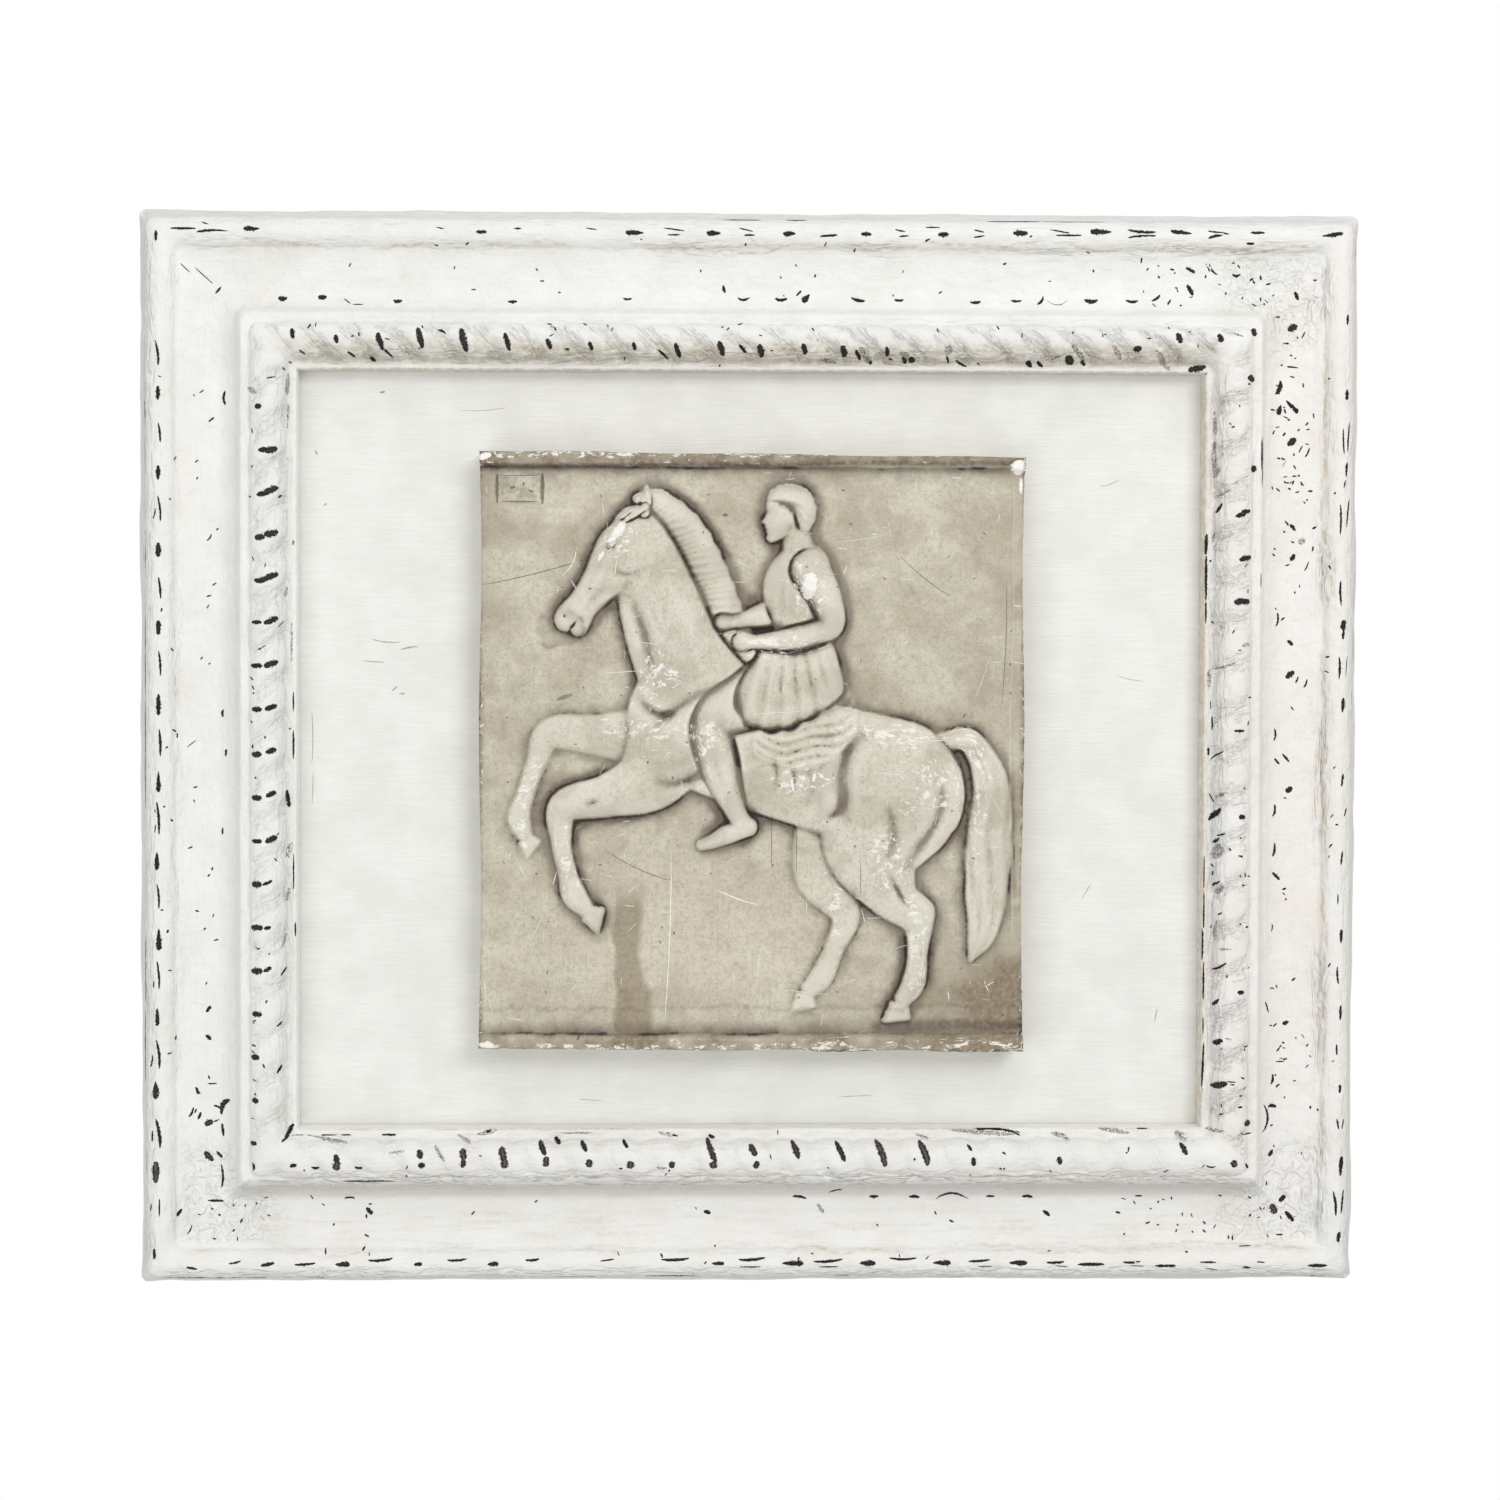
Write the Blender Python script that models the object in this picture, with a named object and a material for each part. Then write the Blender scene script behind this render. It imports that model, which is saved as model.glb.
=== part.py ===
"""A plaster relief plaque of a horse and rider, fixed to a board in a wide mitred picture frame.

The front faces -Y and the flat back lies in the plane y = 0. The origin is on the flat back of the
upper rail, at the middle of its length. Sizes are in metres, and +Z is up.
"""

import math

import bmesh
import bpy
import numpy as np
from mathutils import Matrix

# Frame
FRAME_WIDTH = 0.689
FRAME_HEIGHT = 0.606
FIT_GAP = 0.0003  # clearance between two pieces that touch

# Members of the moulding, from the outer edge inwards: how wide each one is
OUTER_SIDE_WIDTH = 0.0060  # the outer side leans in from its foot to the bead
BEAD_WIDTH = 0.0165
COVE_WIDTH = 0.0340
STEP_WIDTH = 0.0040
UPPER_FILLET_WIDTH = 0.0055
TORUS_WIDTH = 0.0200
SIGHT_FILLET_WIDTH = 0.0055
LIP_WIDTH = SIGHT_FILLET_WIDTH + TORUS_WIDTH + UPPER_FILLET_WIDTH  # the raised part next to the opening
RAIL_WIDTH = OUTER_SIDE_WIDTH + BEAD_WIDTH + COVE_WIDTH + STEP_WIDTH + LIP_WIDTH

# How far each member stands off the wall
OUTER_FOOT_RISE = 0.0040
OUTER_SIDE_RISE = 0.0175
BEAD_CREST = 0.0255
BEAD_FOOT = 0.0200
COVE_FLOOR = 0.0165
COVE_END = 0.0215
COVE_LOW = 2 / 3  # share of the cove's width at which its floor lies
UPPER_FILLET_RISE = 0.0310
TORUS_CREST = 0.0375
TORUS_FOOT = 0.0275
SIGHT_FILLET_RISE = 0.0270

BEAD_SIDES = 7
COVE_SIDES = 6
TORUS_SIDES = 8

# Scoops between the slanting ribs carved across the torus
RIB_PITCH = 0.0238
RIB_SLANT = math.radians(-28)
SCOOP_RADIUS = 0.0085
SCOOP_DEPTH = 0.0013
SCOOP_SIDES = 10
RIB_END_MARGIN = 0.014  # plain length left at each end of the torus

# Rebate behind the sight edge, and the board in it
REBATE_WIDTH = 0.0095
REBATE_HEIGHT = 0.0140
BOARD_THICKNESS = 0.0050
BOARD_EDGE_CLEARANCE = 0.0010

SHARP_ANGLE = math.radians(35)

# Where the frame hangs: the mount lies this far below the upper edge
MOUNT_DROP = 0.0400

# Plaster slab
SLAB_WIDTH = 0.3020
SLAB_HEIGHT = 0.3325
SLAB_THICKNESS = 0.0200  # back to the ground of the relief
TOP_DROP = 0.0028  # how far the upper edge falls towards the right
BOTTOM_DROP = 0.0020
BAND_HEIGHT = 0.0095  # plain band above and below the figures
BAND_RISE = 0.0034
BAND_SLOPE = 0.35  # share of the band's height over which it rises
EDGE_WEAR = 0.0022  # how far in the worn arris reaches
EDGE_LOSS = 0.0012
EDGE_WAVE = 0.0007  # unevenness of the slab's outline
UPPER_EDGE_WAVE = (9.0, 1.0, 0.5)  # waves over half the width, where they start, share of the unevenness
LOWER_EDGE_WAVE = (13.0, 0.6)
LOWER_WAVE_CENTRE = 0.35  # the lower edge is uneven about here, in shares of half the width
LOWER_WAVE_SPREAD = 0.5
SIDE_EDGE_WAVE = (11.0, 2.0)
STAMP_CENTRE = (-0.1216, 0.3036)  # sunk label panel, from the middle of the slab and its lower edge
STAMP_SIZE = (0.0250, 0.0147)
STAMP_BORDER = 0.0011
STAMP_RISE = 0.0007
FACE_PITCH = 0.0016  # spacing of the slab's face before it is thinned
SLAB_KEEP = 0.074  # share of its triangles that the slab keeps

# Horse and rider: drawn in shares of this height, so that the group keeps its proportions
GROUP_HEIGHT = 0.3325
RELIEF_UNIT = 0.001  # the crowns below are in millimetres
EDGE_SHARE = 0.42  # share of a form's crown that its cut edge stands up straight
CROWN_POWER = 0.62  # roundness of a crown: 0.5 is an ellipse, 1 a parabola
CUT_WIDTH = 0.0045  # width of a cut edge, in shares of the group's height
REACH = 0.024  # how far outside a form its distance is worked out
FAR = 9.0
SPAN_STEPS = 6

# Limbs as (across from the slab's middle, height, radius, crown) along their middle line
BARREL = [
    (0.232, 0.432, 0.120, 9.2), (0.110, 0.474, 0.106, 8.4), (-0.015, 0.520, 0.112, 8.8),
    (-0.105, 0.552, 0.106, 8.6),
]
NECK = [
    (-0.075, 0.600, 0.104, 8.2), (-0.122, 0.690, 0.088, 7.8), (-0.152, 0.775, 0.075, 7.4),
    (-0.172, 0.840, 0.058, 7.0), (-0.192, 0.868, 0.042, 6.6),
]
MANE = [
    (0.012, 0.640, 0.016, 7.8), (-0.032, 0.705, 0.027, 8.2), (-0.066, 0.785, 0.030, 8.2),
    (-0.108, 0.864, 0.029, 8.0), (-0.158, 0.914, 0.020, 7.6), (-0.190, 0.918, 0.010, 7.2),
]
TAIL = [
    (0.318, 0.512, 0.016, 4.4), (0.366, 0.512, 0.020, 5.2), (0.400, 0.445, 0.030, 5.6),
    (0.396, 0.350, 0.038, 5.4), (0.392, 0.270, 0.036, 5.0), (0.386, 0.200, 0.026, 4.4),
    (0.366, 0.148, 0.005, 3.2),
]
NEAR_FORE = [
    (-0.130, 0.520, 0.080, 8.6), (-0.172, 0.456, 0.057, 8.2), (-0.240, 0.427, 0.037, 7.2),
    (-0.312, 0.408, 0.029, 6.8), (-0.318, 0.350, 0.018, 5.4), (-0.306, 0.296, 0.0165, 5.2),
    (-0.296, 0.262, 0.021, 5.8), (-0.277, 0.238, 0.0155, 5.0),
]
FAR_FORE = [
    (-0.160, 0.520, 0.060, 4.8), (-0.250, 0.526, 0.036, 4.4), (-0.336, 0.530, 0.0275, 4.6),
    (-0.362, 0.480, 0.0175, 3.8), (-0.380, 0.425, 0.016, 3.6), (-0.389, 0.391, 0.020, 4.0),
    (-0.380, 0.364, 0.015, 3.6),
]
NEAR_HIND = [
    (0.240, 0.425, 0.116, 9.2), (0.200, 0.345, 0.085, 8.6), (0.228, 0.268, 0.046, 7.0),
    (0.274, 0.216, 0.0265, 6.2), (0.277, 0.160, 0.018, 5.2), (0.271, 0.112, 0.0205, 5.8),
    (0.255, 0.086, 0.016, 5.0),
]
HOCK = [(0.268, 0.252, 0.016, 6.0), (0.290, 0.232, 0.015, 6.2), (0.288, 0.205, 0.014, 5.6)]
FAR_HIND = [
    (0.150, 0.360, 0.080, 5.0), (0.118, 0.290, 0.045, 4.6), (0.156, 0.226, 0.0255, 4.6),
    (0.138, 0.168, 0.0172, 3.8), (0.118, 0.122, 0.0198, 4.1), (0.098, 0.100, 0.0155, 3.6),
]
TORSO = [
    (0.070, 0.650, 0.055, 7.4), (0.080, 0.705, 0.046, 7.0), (0.074, 0.765, 0.058, 8.0),
    (0.082, 0.797, 0.049, 7.6),
]
THROAT = [(0.080, 0.815, 0.030, 6.0), (0.070, 0.862, 0.0235, 5.8)]
THIGH = [
    (0.066, 0.628, 0.060, 10.2), (0.000, 0.588, 0.051, 10.8), (-0.066, 0.547, 0.038, 11.0),
    (-0.056, 0.478, 0.0345, 10.4), (-0.030, 0.406, 0.020, 8.6), (-0.018, 0.381, 0.0185, 8.2),
]
FOOT = [
    (-0.008, 0.374, 0.017, 7.2), (-0.040, 0.361, 0.0165, 7.0), (-0.066, 0.348, 0.0115, 6.2),
    (-0.084, 0.342, 0.0085, 5.4),
]
NEAR_ARM = [
    (0.094, 0.800, 0.035, 10.0), (0.121, 0.748, 0.0285, 10.0), (0.126, 0.704, 0.0235, 9.8),
    (0.068, 0.686, 0.0225, 10.0), (0.008, 0.681, 0.014, 9.4), (-0.018, 0.682, 0.018, 10.0),
]
FAR_ARM = [(0.050, 0.735, 0.026, 6.4), (-0.020, 0.716, 0.0145, 6.4), (-0.050, 0.713, 0.0165, 6.8)]

# Closed outlines, each in a frame of its own: place, turn in degrees and size follow
HORSE_HEAD = [
    (-0.02, -0.060), (0.10, -0.150), (0.26, -0.190), (0.40, -0.170), (0.56, -0.125), (0.74, -0.105),
    (0.88, -0.118), (0.965, -0.092), (1.00, -0.030), (0.985, 0.030), (0.968, 0.050), (0.970, 0.095),
    (0.93, 0.140), (0.85, 0.140), (0.76, 0.125), (0.62, 0.150), (0.48, 0.205), (0.36, 0.260),
    (0.22, 0.275), (0.08, 0.215), (-0.02, 0.100),
]
EAR = [
    (0.02, -0.035), (-0.04, -0.085), (-0.13, -0.125), (-0.225, -0.158), (-0.245, -0.150), (-0.21, -0.080),
    (-0.13, -0.020), (-0.03, 0.010),
]
HORSE_HEAD_PLACE = ((-0.178, 0.886), 233.0, 0.232)
HOOF = [
    (-0.28, 0.16), (0.12, 0.10), (0.52, -0.06), (0.62, -0.36), (0.50, -0.70), (-0.20, -0.76),
    (-0.84, -0.72), (-0.58, -0.28),
]
NEAR_FORE_HOOF_PLACE = ((-0.272, 0.228), 72.0, 0.034)
FAR_FORE_HOOF_PLACE = ((-0.377, 0.352), 48.0, 0.031)
NEAR_HIND_HOOF_PLACE = ((0.246, 0.074), 2.0, 0.036)
FAR_HIND_HOOF_PLACE = ((0.088, 0.090), 4.0, 0.033)
RIDER_HEAD = [
    (0.02, 0.50), (-0.24, 0.43), (-0.36, 0.26), (-0.385, 0.12), (-0.378, 0.05), (-0.415, -0.06),
    (-0.450, -0.140), (-0.405, -0.185), (-0.402, -0.235), (-0.378, -0.265), (-0.388, -0.305),
    (-0.358, -0.345), (-0.37, -0.41), (-0.31, -0.480), (-0.18, -0.470), (0.00, -0.390), (0.10, -0.300),
    (0.26, -0.300), (0.42, -0.10), (0.46, 0.14), (0.32, 0.40),
]
HAIR = [
    (-0.36, 0.26), (-0.25, 0.45), (0.02, 0.53), (0.34, 0.42), (0.49, 0.14), (0.47, -0.12),
    (0.33, -0.33), (0.20, -0.31), (0.12, -0.12), (0.05, 0.04), (-0.06, 0.14), (-0.20, 0.19),
]
RIDER_HEAD_PLACE = ((0.058, 0.893), 0.0, 0.096)
SKIRT = [
    (0.020, 0.676), (0.075, 0.666), (0.128, 0.682), (0.146, 0.640), (0.150, 0.592), (0.105, 0.556),
    (0.045, 0.532), (-0.014, 0.545), (-0.030, 0.600), (0.000, 0.652),
]
SADDLE_CLOTH = [
    (0.140, 0.620), (0.168, 0.590), (0.176, 0.545), (0.150, 0.500), (0.095, 0.470), (0.045, 0.478),
    (0.000, 0.500), (0.020, 0.560), (0.090, 0.590),
]

# Crown of each outlined form in millimetres, and how far in its edge is rounded
FAR_HOOF_CROWN = (4.0, 0.010)
NEAR_HOOF_CROWN = (5.8, 0.010)
HORSE_HEAD_CROWN = (7.2, 0.036)
EAR_CROWN = (8.0, 0.008)
FACE_CROWN = (7.8, 0.028)
HAIR_CROWN = (8.8, 0.030)
SKIRT_CROWN = (11.0, 0.035)

# How softly forms grow together
BODY_BLEND = 0.010
HEAD_BLEND = 0.006
HOOF_BLEND = 0.003
THROAT_BLEND = 0.004
ANKLE_BLEND = 0.006
CROWN_BLEND = 0.9  # in millimetres

# Hair and cloth: rises in millimetres, and how many radians of a wave to each share or radian
TAIL_STRAND_RISE = 0.35
TAIL_STRANDS = 7.5
TAIL_CURL = (2.2, 9.0)
LOCK_RISE = 0.40
LOCKS = 75.0
LOCK_SLANT = 3.5
CLOTH_RISE = 1.0
CLOTH_FOLD_RISE = 0.5
CLOTH_FOLDS = 340.0
CLOTH_FOLD_CENTRE = (0.075, 0.640)
CLOTH_FOLD_STRETCH = 1.15
CLOTH_FOLD_WAVE = (0.006, 60.0, 2.0)
CLOTH_HEM = 0.008
PLEAT_RISE = 0.5
PLEATS = 46.0
PLEAT_APEX = (0.075, 0.800)
PLEAT_BEND = (1.5, 20.0)
PLEAT_TOP = 0.690  # the pleats grow from this height down
PLEAT_GROWTH = 0.050
PLEAT_LEAST = 0.15
HEM_SCALLOP = 0.0018

# Soft cuts between the horse's muscles: points along the cut, half width, depth in millimetres
MUSCLE_CUTS = [
    ([(0.000, 0.610), (-0.070, 0.600), (-0.140, 0.560), (-0.185, 0.520)], 0.011, 0.9),
    ([(-0.020, 0.520), (-0.070, 0.470), (-0.130, 0.445), (-0.180, 0.455)], 0.010, 0.8),
    ([(-0.205, 0.600), (-0.165, 0.565), (-0.120, 0.560)], 0.009, 0.8),
    ([(-0.205, 0.765), (-0.180, 0.690), (-0.165, 0.620)], 0.010, 0.9),
    ([(0.205, 0.545), (0.158, 0.490), (0.150, 0.420), (0.165, 0.370)], 0.013, 1.2),
    ([(0.120, 0.385), (0.145, 0.400), (0.160, 0.440)], 0.009, 0.9),
    ([(0.310, 0.480), (0.315, 0.400), (0.275, 0.330), (0.250, 0.290)], 0.010, 0.9),
    ([(0.225, 0.300), (0.245, 0.262), (0.262, 0.235)], 0.005, 0.8),
]

# Colours, roughness
WHITE_PAINT = ((0.86, 0.85, 0.81), 0.62)
BOARD_PAINT = ((0.87, 0.87, 0.84), 0.66)
PLASTER = ((0.60, 0.56, 0.47), 0.74)


def clear_scene():
    for obj in list(bpy.data.objects):
        bpy.data.objects.remove(obj)


def new_collection(name):
    collection = bpy.data.collections.new(name)
    bpy.context.scene.collection.children.link(collection)
    return collection


def new_material(name, look):
    colour, roughness = look
    material = bpy.data.materials.new(name)
    material.use_nodes = True
    shader = material.node_tree.nodes["Principled BSDF"]
    shader.inputs["Base Color"].default_value = (*colour, 1.0)
    shader.inputs["Roughness"].default_value = roughness
    shader.inputs["Metallic"].default_value = 0.0
    return material


def object_from(bm, name, collection, material=None):
    bmesh.ops.recalc_face_normals(bm, faces=bm.faces)
    mesh = bpy.data.meshes.new(name)
    bm.to_mesh(mesh)
    bm.free()
    obj = bpy.data.objects.new(name, mesh)
    collection.objects.link(obj)
    if material:
        mesh.materials.append(material)
    return obj


def half_ellipse(start, end, crest, foot_start, foot_end, sides):
    """Points over a rounded member, from one foot up to its crest and down to the other foot."""
    middle, half = (start + end) / 2, (end - start) / 2
    points = []
    for i in range(sides + 1):
        angle = math.pi * (1 - i / sides)
        foot = foot_start if angle > math.pi / 2 else foot_end
        points.append((middle + half * math.cos(angle), foot + (crest - foot) * math.sin(angle)))
    return points


def hollow(start, end, rise_start, floor, rise_end, sides):
    """Points across a cove that falls from one edge to its floor and rises to the other edge."""
    low = start + (end - start) * COVE_LOW
    points = []
    for i in range(1, sides):
        place = start + (end - start) * i / sides
        edge, rise = (start, rise_start) if place < low else (end, rise_end)
        points.append((place, floor + (rise - floor) * ((place - low) / (edge - low)) ** 2))
    return points


def rail_profile():
    """The moulding's section as (distance in from the outer edge, distance out from the wall)."""
    bead = OUTER_SIDE_WIDTH
    cove = bead + BEAD_WIDTH
    step = cove + COVE_WIDTH
    fillet = step + STEP_WIDTH
    torus = fillet + UPPER_FILLET_WIDTH
    sight = torus + TORUS_WIDTH
    points = [(0.0, 0.0), (0.0, OUTER_FOOT_RISE)]
    points += half_ellipse(bead, cove, BEAD_CREST, OUTER_SIDE_RISE, BEAD_FOOT, BEAD_SIDES)
    points += hollow(cove, step, BEAD_FOOT, COVE_FLOOR, COVE_END, COVE_SIDES)
    points += [(step, COVE_END), (fillet, UPPER_FILLET_RISE)]
    points += half_ellipse(torus, sight, TORUS_CREST, UPPER_FILLET_RISE, TORUS_FOOT, TORUS_SIDES)
    points += [(sight, SIGHT_FILLET_RISE), (RAIL_WIDTH, SIGHT_FILLET_RISE), (RAIL_WIDTH, REBATE_HEIGHT)]
    points += [(RAIL_WIDTH - REBATE_WIDTH, REBATE_HEIGHT), (RAIL_WIDTH - REBATE_WIDTH, 0.0)]
    return points


def rail_mesh(length):
    """A rail along X with its outer edge at z = 0 and its sight edge below, mitred at both ends."""
    bm = bmesh.new()
    profile = rail_profile()
    mitre_gap = FIT_GAP / math.sqrt(2)
    start = [bm.verts.new((-length / 2 + mitre_gap + inward, -out, -inward)) for inward, out in profile]
    section = bm.faces.new(start)
    swept = bmesh.ops.extrude_face_region(bm, geom=[section], use_keep_orig=True)["geom"]
    for vert in (item for item in swept if isinstance(item, bmesh.types.BMVert)):
        vert.co.x = -vert.co.x
    return bm


def scoop_cutters(length, name, collection):
    """Slanting round cutters over the torus, one between each two ribs, as one object."""
    bm = bmesh.new()
    crest = RAIL_WIDTH - SIGHT_FILLET_WIDTH - TORUS_WIDTH / 2
    plain = length - 2 * crest - 2 * RIB_END_MARGIN
    count = int(plain // RIB_PITCH)
    for i in range(count + 1):
        made = bmesh.ops.create_cone(
            bm,
            cap_ends=True,
            segments=SCOOP_SIDES,
            radius1=SCOOP_RADIUS,
            radius2=SCOOP_RADIUS,
            depth=2 * TORUS_WIDTH,
        )["verts"]
        bmesh.ops.rotate(bm, verts=made, cent=(0, 0, 0), matrix=Matrix.Rotation(RIB_SLANT, 3, "Y"))
        place = ((i - count / 2) * RIB_PITCH, -(TORUS_CREST + SCOOP_RADIUS - SCOOP_DEPTH), -crest)
        bmesh.ops.translate(bm, verts=made, vec=place)
    cutter = object_from(bm, name, collection)
    cutter.hide_render = True
    cutter.display_type = "WIRE"
    return cutter


def add_rail(name, length, distance, quarter_turns, pieces, cutters, material, centre):
    """One rail, turned to its side of the frame with its outer edge this far from the frame's middle."""
    rail = object_from(rail_mesh(length), name, pieces, material)
    cutter = scoop_cutters(length, name + "_scoops", cutters)
    cut = rail.modifiers.new("torus scoops", "BOOLEAN")
    cut.operation = "DIFFERENCE"
    cut.solver = "EXACT"
    cut.object = cutter
    turn = quarter_turns * math.pi / 2
    for obj in (rail, cutter):
        obj.parent = centre
        obj.rotation_euler = (0, turn, 0)
        obj.location = (math.sin(turn) * distance, 0, math.cos(turn) * distance)
    rail.data.set_sharp_from_angle(angle=SHARP_ANGLE)
    return rail


def add_board(pieces, material, centre):
    """The board stands in the rebate, its face just behind the sight edge's lip."""
    opening = (FRAME_WIDTH - 2 * RAIL_WIDTH, FRAME_HEIGHT - 2 * RAIL_WIDTH)
    margin = 2 * (REBATE_WIDTH - BOARD_EDGE_CLEARANCE)
    bm = bmesh.new()
    bmesh.ops.create_cube(bm, size=1.0)
    bmesh.ops.scale(bm, verts=bm.verts, vec=(opening[0] + margin, BOARD_THICKNESS, opening[1] + margin))
    board = object_from(bm, "backing_board", pieces, material)
    board.parent = centre
    board.location = (0, -(REBATE_HEIGHT - FIT_GAP - BOARD_THICKNESS / 2), 0)
    return board


def smooth_curve(points, closed=False):
    """Catmull-Rom curve through the points, SPAN_STEPS samples to each span."""
    p = np.array(points, float)
    ends = (p[-1:], p[:2]) if closed else (2 * p[:1] - p[1:2], 2 * p[-1:] - p[-2:-1])
    p = np.vstack([ends[0], p, ends[1]])
    t = np.linspace(0, 1, SPAN_STEPS, endpoint=False)[:, None]
    spans = [
        0.5 * (2 * b + (c - a) * t + (2 * a - 5 * b + 4 * c - d) * t**2 + (3 * b - a - 3 * c + d) * t**3)
        for a, b, c, d in zip(p[:-3], p[1:-2], p[2:-1], p[3:])
    ]
    return np.vstack([*spans, p[-2:-1]])


def near(x, z, curve, margin):
    low, high = curve[:, :2].min(0) - margin, curve[:, :2].max(0) + margin
    return (x > low[0]) & (x < high[0]) & (z > low[1]) & (z < high[1])


def spread(mask, values, empty):
    full = np.full(mask.shape, empty)
    full[mask] = values
    return full


def limb(x, z, points):
    """Distance to a limb's skin (below 0 inside), its crown, and the shares along and across it."""
    curve = smooth_curve(points)
    mask = near(x, z, curve, curve[:, 2].max() + REACH)
    gx, gz = x[mask], z[mask]
    skin = np.full(gx.shape, FAR)
    crown, along, across = np.zeros((3, *gx.shape))
    start = 0.0
    for (ax, az, ar, at), (bx, bz, br, bt) in zip(curve[:-1], curve[1:]):
        dx, dz = bx - ax, bz - az
        length = math.hypot(dx, dz)
        t = np.clip(((gx - ax) * dx + (gz - az) * dz) / length**2, 0, 1)
        px, pz = gx - ax - t * dx, gz - az - t * dz
        radius = ar + t * (br - ar)
        distance = np.sqrt(px * px + pz * pz)
        gap = distance - radius
        closest = gap < skin
        skin[closest] = gap[closest]
        along[closest] = (start + t * length)[closest]
        across[closest] = ((px * dz - pz * dx) / (length * radius))[closest]
        dome = np.clip(1 - (distance / radius) ** 2, 0, 1) ** CROWN_POWER
        rise = (at + t * (bt - at)) * (EDGE_SHARE + (1 - EDGE_SHARE) * dome)
        np.maximum(crown, rise * np.clip(1 - gap / REACH, 0, 1), out=crown)
        start += length
    shares = [spread(mask, share, 0.0) for share in (along / start, across)]
    return (spread(mask, skin, FAR), spread(mask, crown, 0.0), *shares)


def outline(x, z, points, top, roundness):
    """Distance to a closed smooth outline and its crown: a rounded edge and a level top."""
    curve = smooth_curve(points, closed=True)
    mask = near(x, z, curve, REACH)
    gx, gz = x[mask], z[mask]
    distance = np.full(gx.shape, FAR)
    inside = np.zeros(gx.shape, bool)
    for (ax, az), (bx, bz) in zip(curve[:-1], curve[1:]):
        dx, dz = bx - ax, bz - az
        t = np.clip(((gx - ax) * dx + (gz - az) * dz) / (dx * dx + dz * dz), 0, 1)
        distance = np.minimum(distance, np.hypot(gx - ax - t * dx, gz - az - t * dz))
        if dz:
            inside ^= ((az > gz) != (bz > gz)) & (gx < ax + (gz - az) * dx / dz)
    skin = np.where(inside, -distance, distance)
    depth = np.clip(-skin / roundness, 0, 1)
    dome = (1 - (1 - depth) ** 2) ** CROWN_POWER
    crown = top * (EDGE_SHARE + (1 - EDGE_SHARE) * dome) * np.clip(1 - skin / REACH, 0, 1)
    return spread(mask, skin, FAR), spread(mask, crown, 0.0)


def placed(points, place):
    """Points drawn in a form's own frame, turned, sized and moved to their place."""
    (across, height), turn, size = place
    c, s = math.cos(math.radians(turn)), math.sin(math.radians(turn))
    return [(across + size * (a * c - b * s), height + size * (a * s + b * c)) for a, b in points]


def soft_min(a, b, softness):
    share = np.clip(0.5 + 0.5 * (b - a) / softness, 0, 1)
    return b + (a - b) * share - softness * share * (1 - share)


def join(forms, softness):
    """Forms grown together, with a soft hollow where they meet."""
    skin, crown = forms[0][:2]
    for form in forms[1:]:
        skin = soft_min(skin, form[0], softness)
        crown = -soft_min(-crown, -form[1], CROWN_BLEND)
    return skin, crown


def cover(skin):
    """1 inside a form and 0 outside it, across the width of its cut edge."""
    t = np.clip(0.5 - skin / CUT_WIDTH, 0, 1)
    return t * t * (3 - 2 * t)


def lay(ground, form):
    """A form laid over what is there already, with an edge of its own."""
    share = cover(form[0])
    return ground * (1 - share) + form[1] * share


def soft_cut(x, z, points, width, depth):
    """A soft cut along a curve, dying out towards both ends."""
    curve = smooth_curve(points)
    distance = np.full(x.shape, FAR)
    share = np.zeros(x.shape)
    count = len(curve) - 1
    for i, ((ax, az), (bx, bz)) in enumerate(zip(curve[:-1], curve[1:])):
        dx, dz = bx - ax, bz - az
        t = np.clip(((x - ax) * dx + (z - az) * dz) / (dx * dx + dz * dz), 0, 1)
        gap = np.hypot(x - ax - t * dx, z - az - t * dz)
        closest = gap < distance
        distance[closest] = gap[closest]
        share[closest] = ((i + t) / count)[closest]
    return -depth * np.sin(np.pi * share) * np.exp(-((distance / width) ** 2))


def horse(x, z, ground):
    """The horse: far legs and tail low down, then the body with its near legs, mane and ear."""
    for points, place in ((FAR_FORE, FAR_FORE_HOOF_PLACE), (FAR_HIND, FAR_HIND_HOOF_PLACE)):
        hoof = outline(x, z, placed(HOOF, place), *FAR_HOOF_CROWN)
        ground = lay(ground, join([limb(x, z, points), hoof], HOOF_BLEND))
    skin, crown, along, across = limb(x, z, TAIL)
    curl, turns = TAIL_CURL
    strands = TAIL_STRAND_RISE * np.sin(TAIL_STRANDS * across + curl * np.sin(turns * along))
    ground = lay(ground, (skin, crown + strands))
    forms = [limb(x, z, points) for points in (BARREL, NECK, NEAR_FORE, NEAR_HIND, HOCK)]
    for place in (NEAR_FORE_HOOF_PLACE, NEAR_HIND_HOOF_PLACE):
        forms.append(outline(x, z, placed(HOOF, place), *NEAR_HOOF_CROWN))
    head = outline(x, z, placed(HORSE_HEAD, HORSE_HEAD_PLACE), *HORSE_HEAD_CROWN)
    body = join([join(forms, BODY_BLEND), head], HEAD_BLEND)
    ground = lay(ground, body)
    inside = cover(body[0])
    for points, width, depth in MUSCLE_CUTS:
        ground = ground + inside * soft_cut(x, z, points, width, depth)
    skin, crown, along, across = limb(x, z, MANE)
    locks = LOCK_RISE * np.sin(LOCKS * along + LOCK_SLANT * across) * cover(skin)
    ground = lay(ground, (skin, crown + locks))
    return lay(ground, outline(x, z, placed(EAR, HORSE_HEAD_PLACE), *EAR_CROWN))


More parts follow.
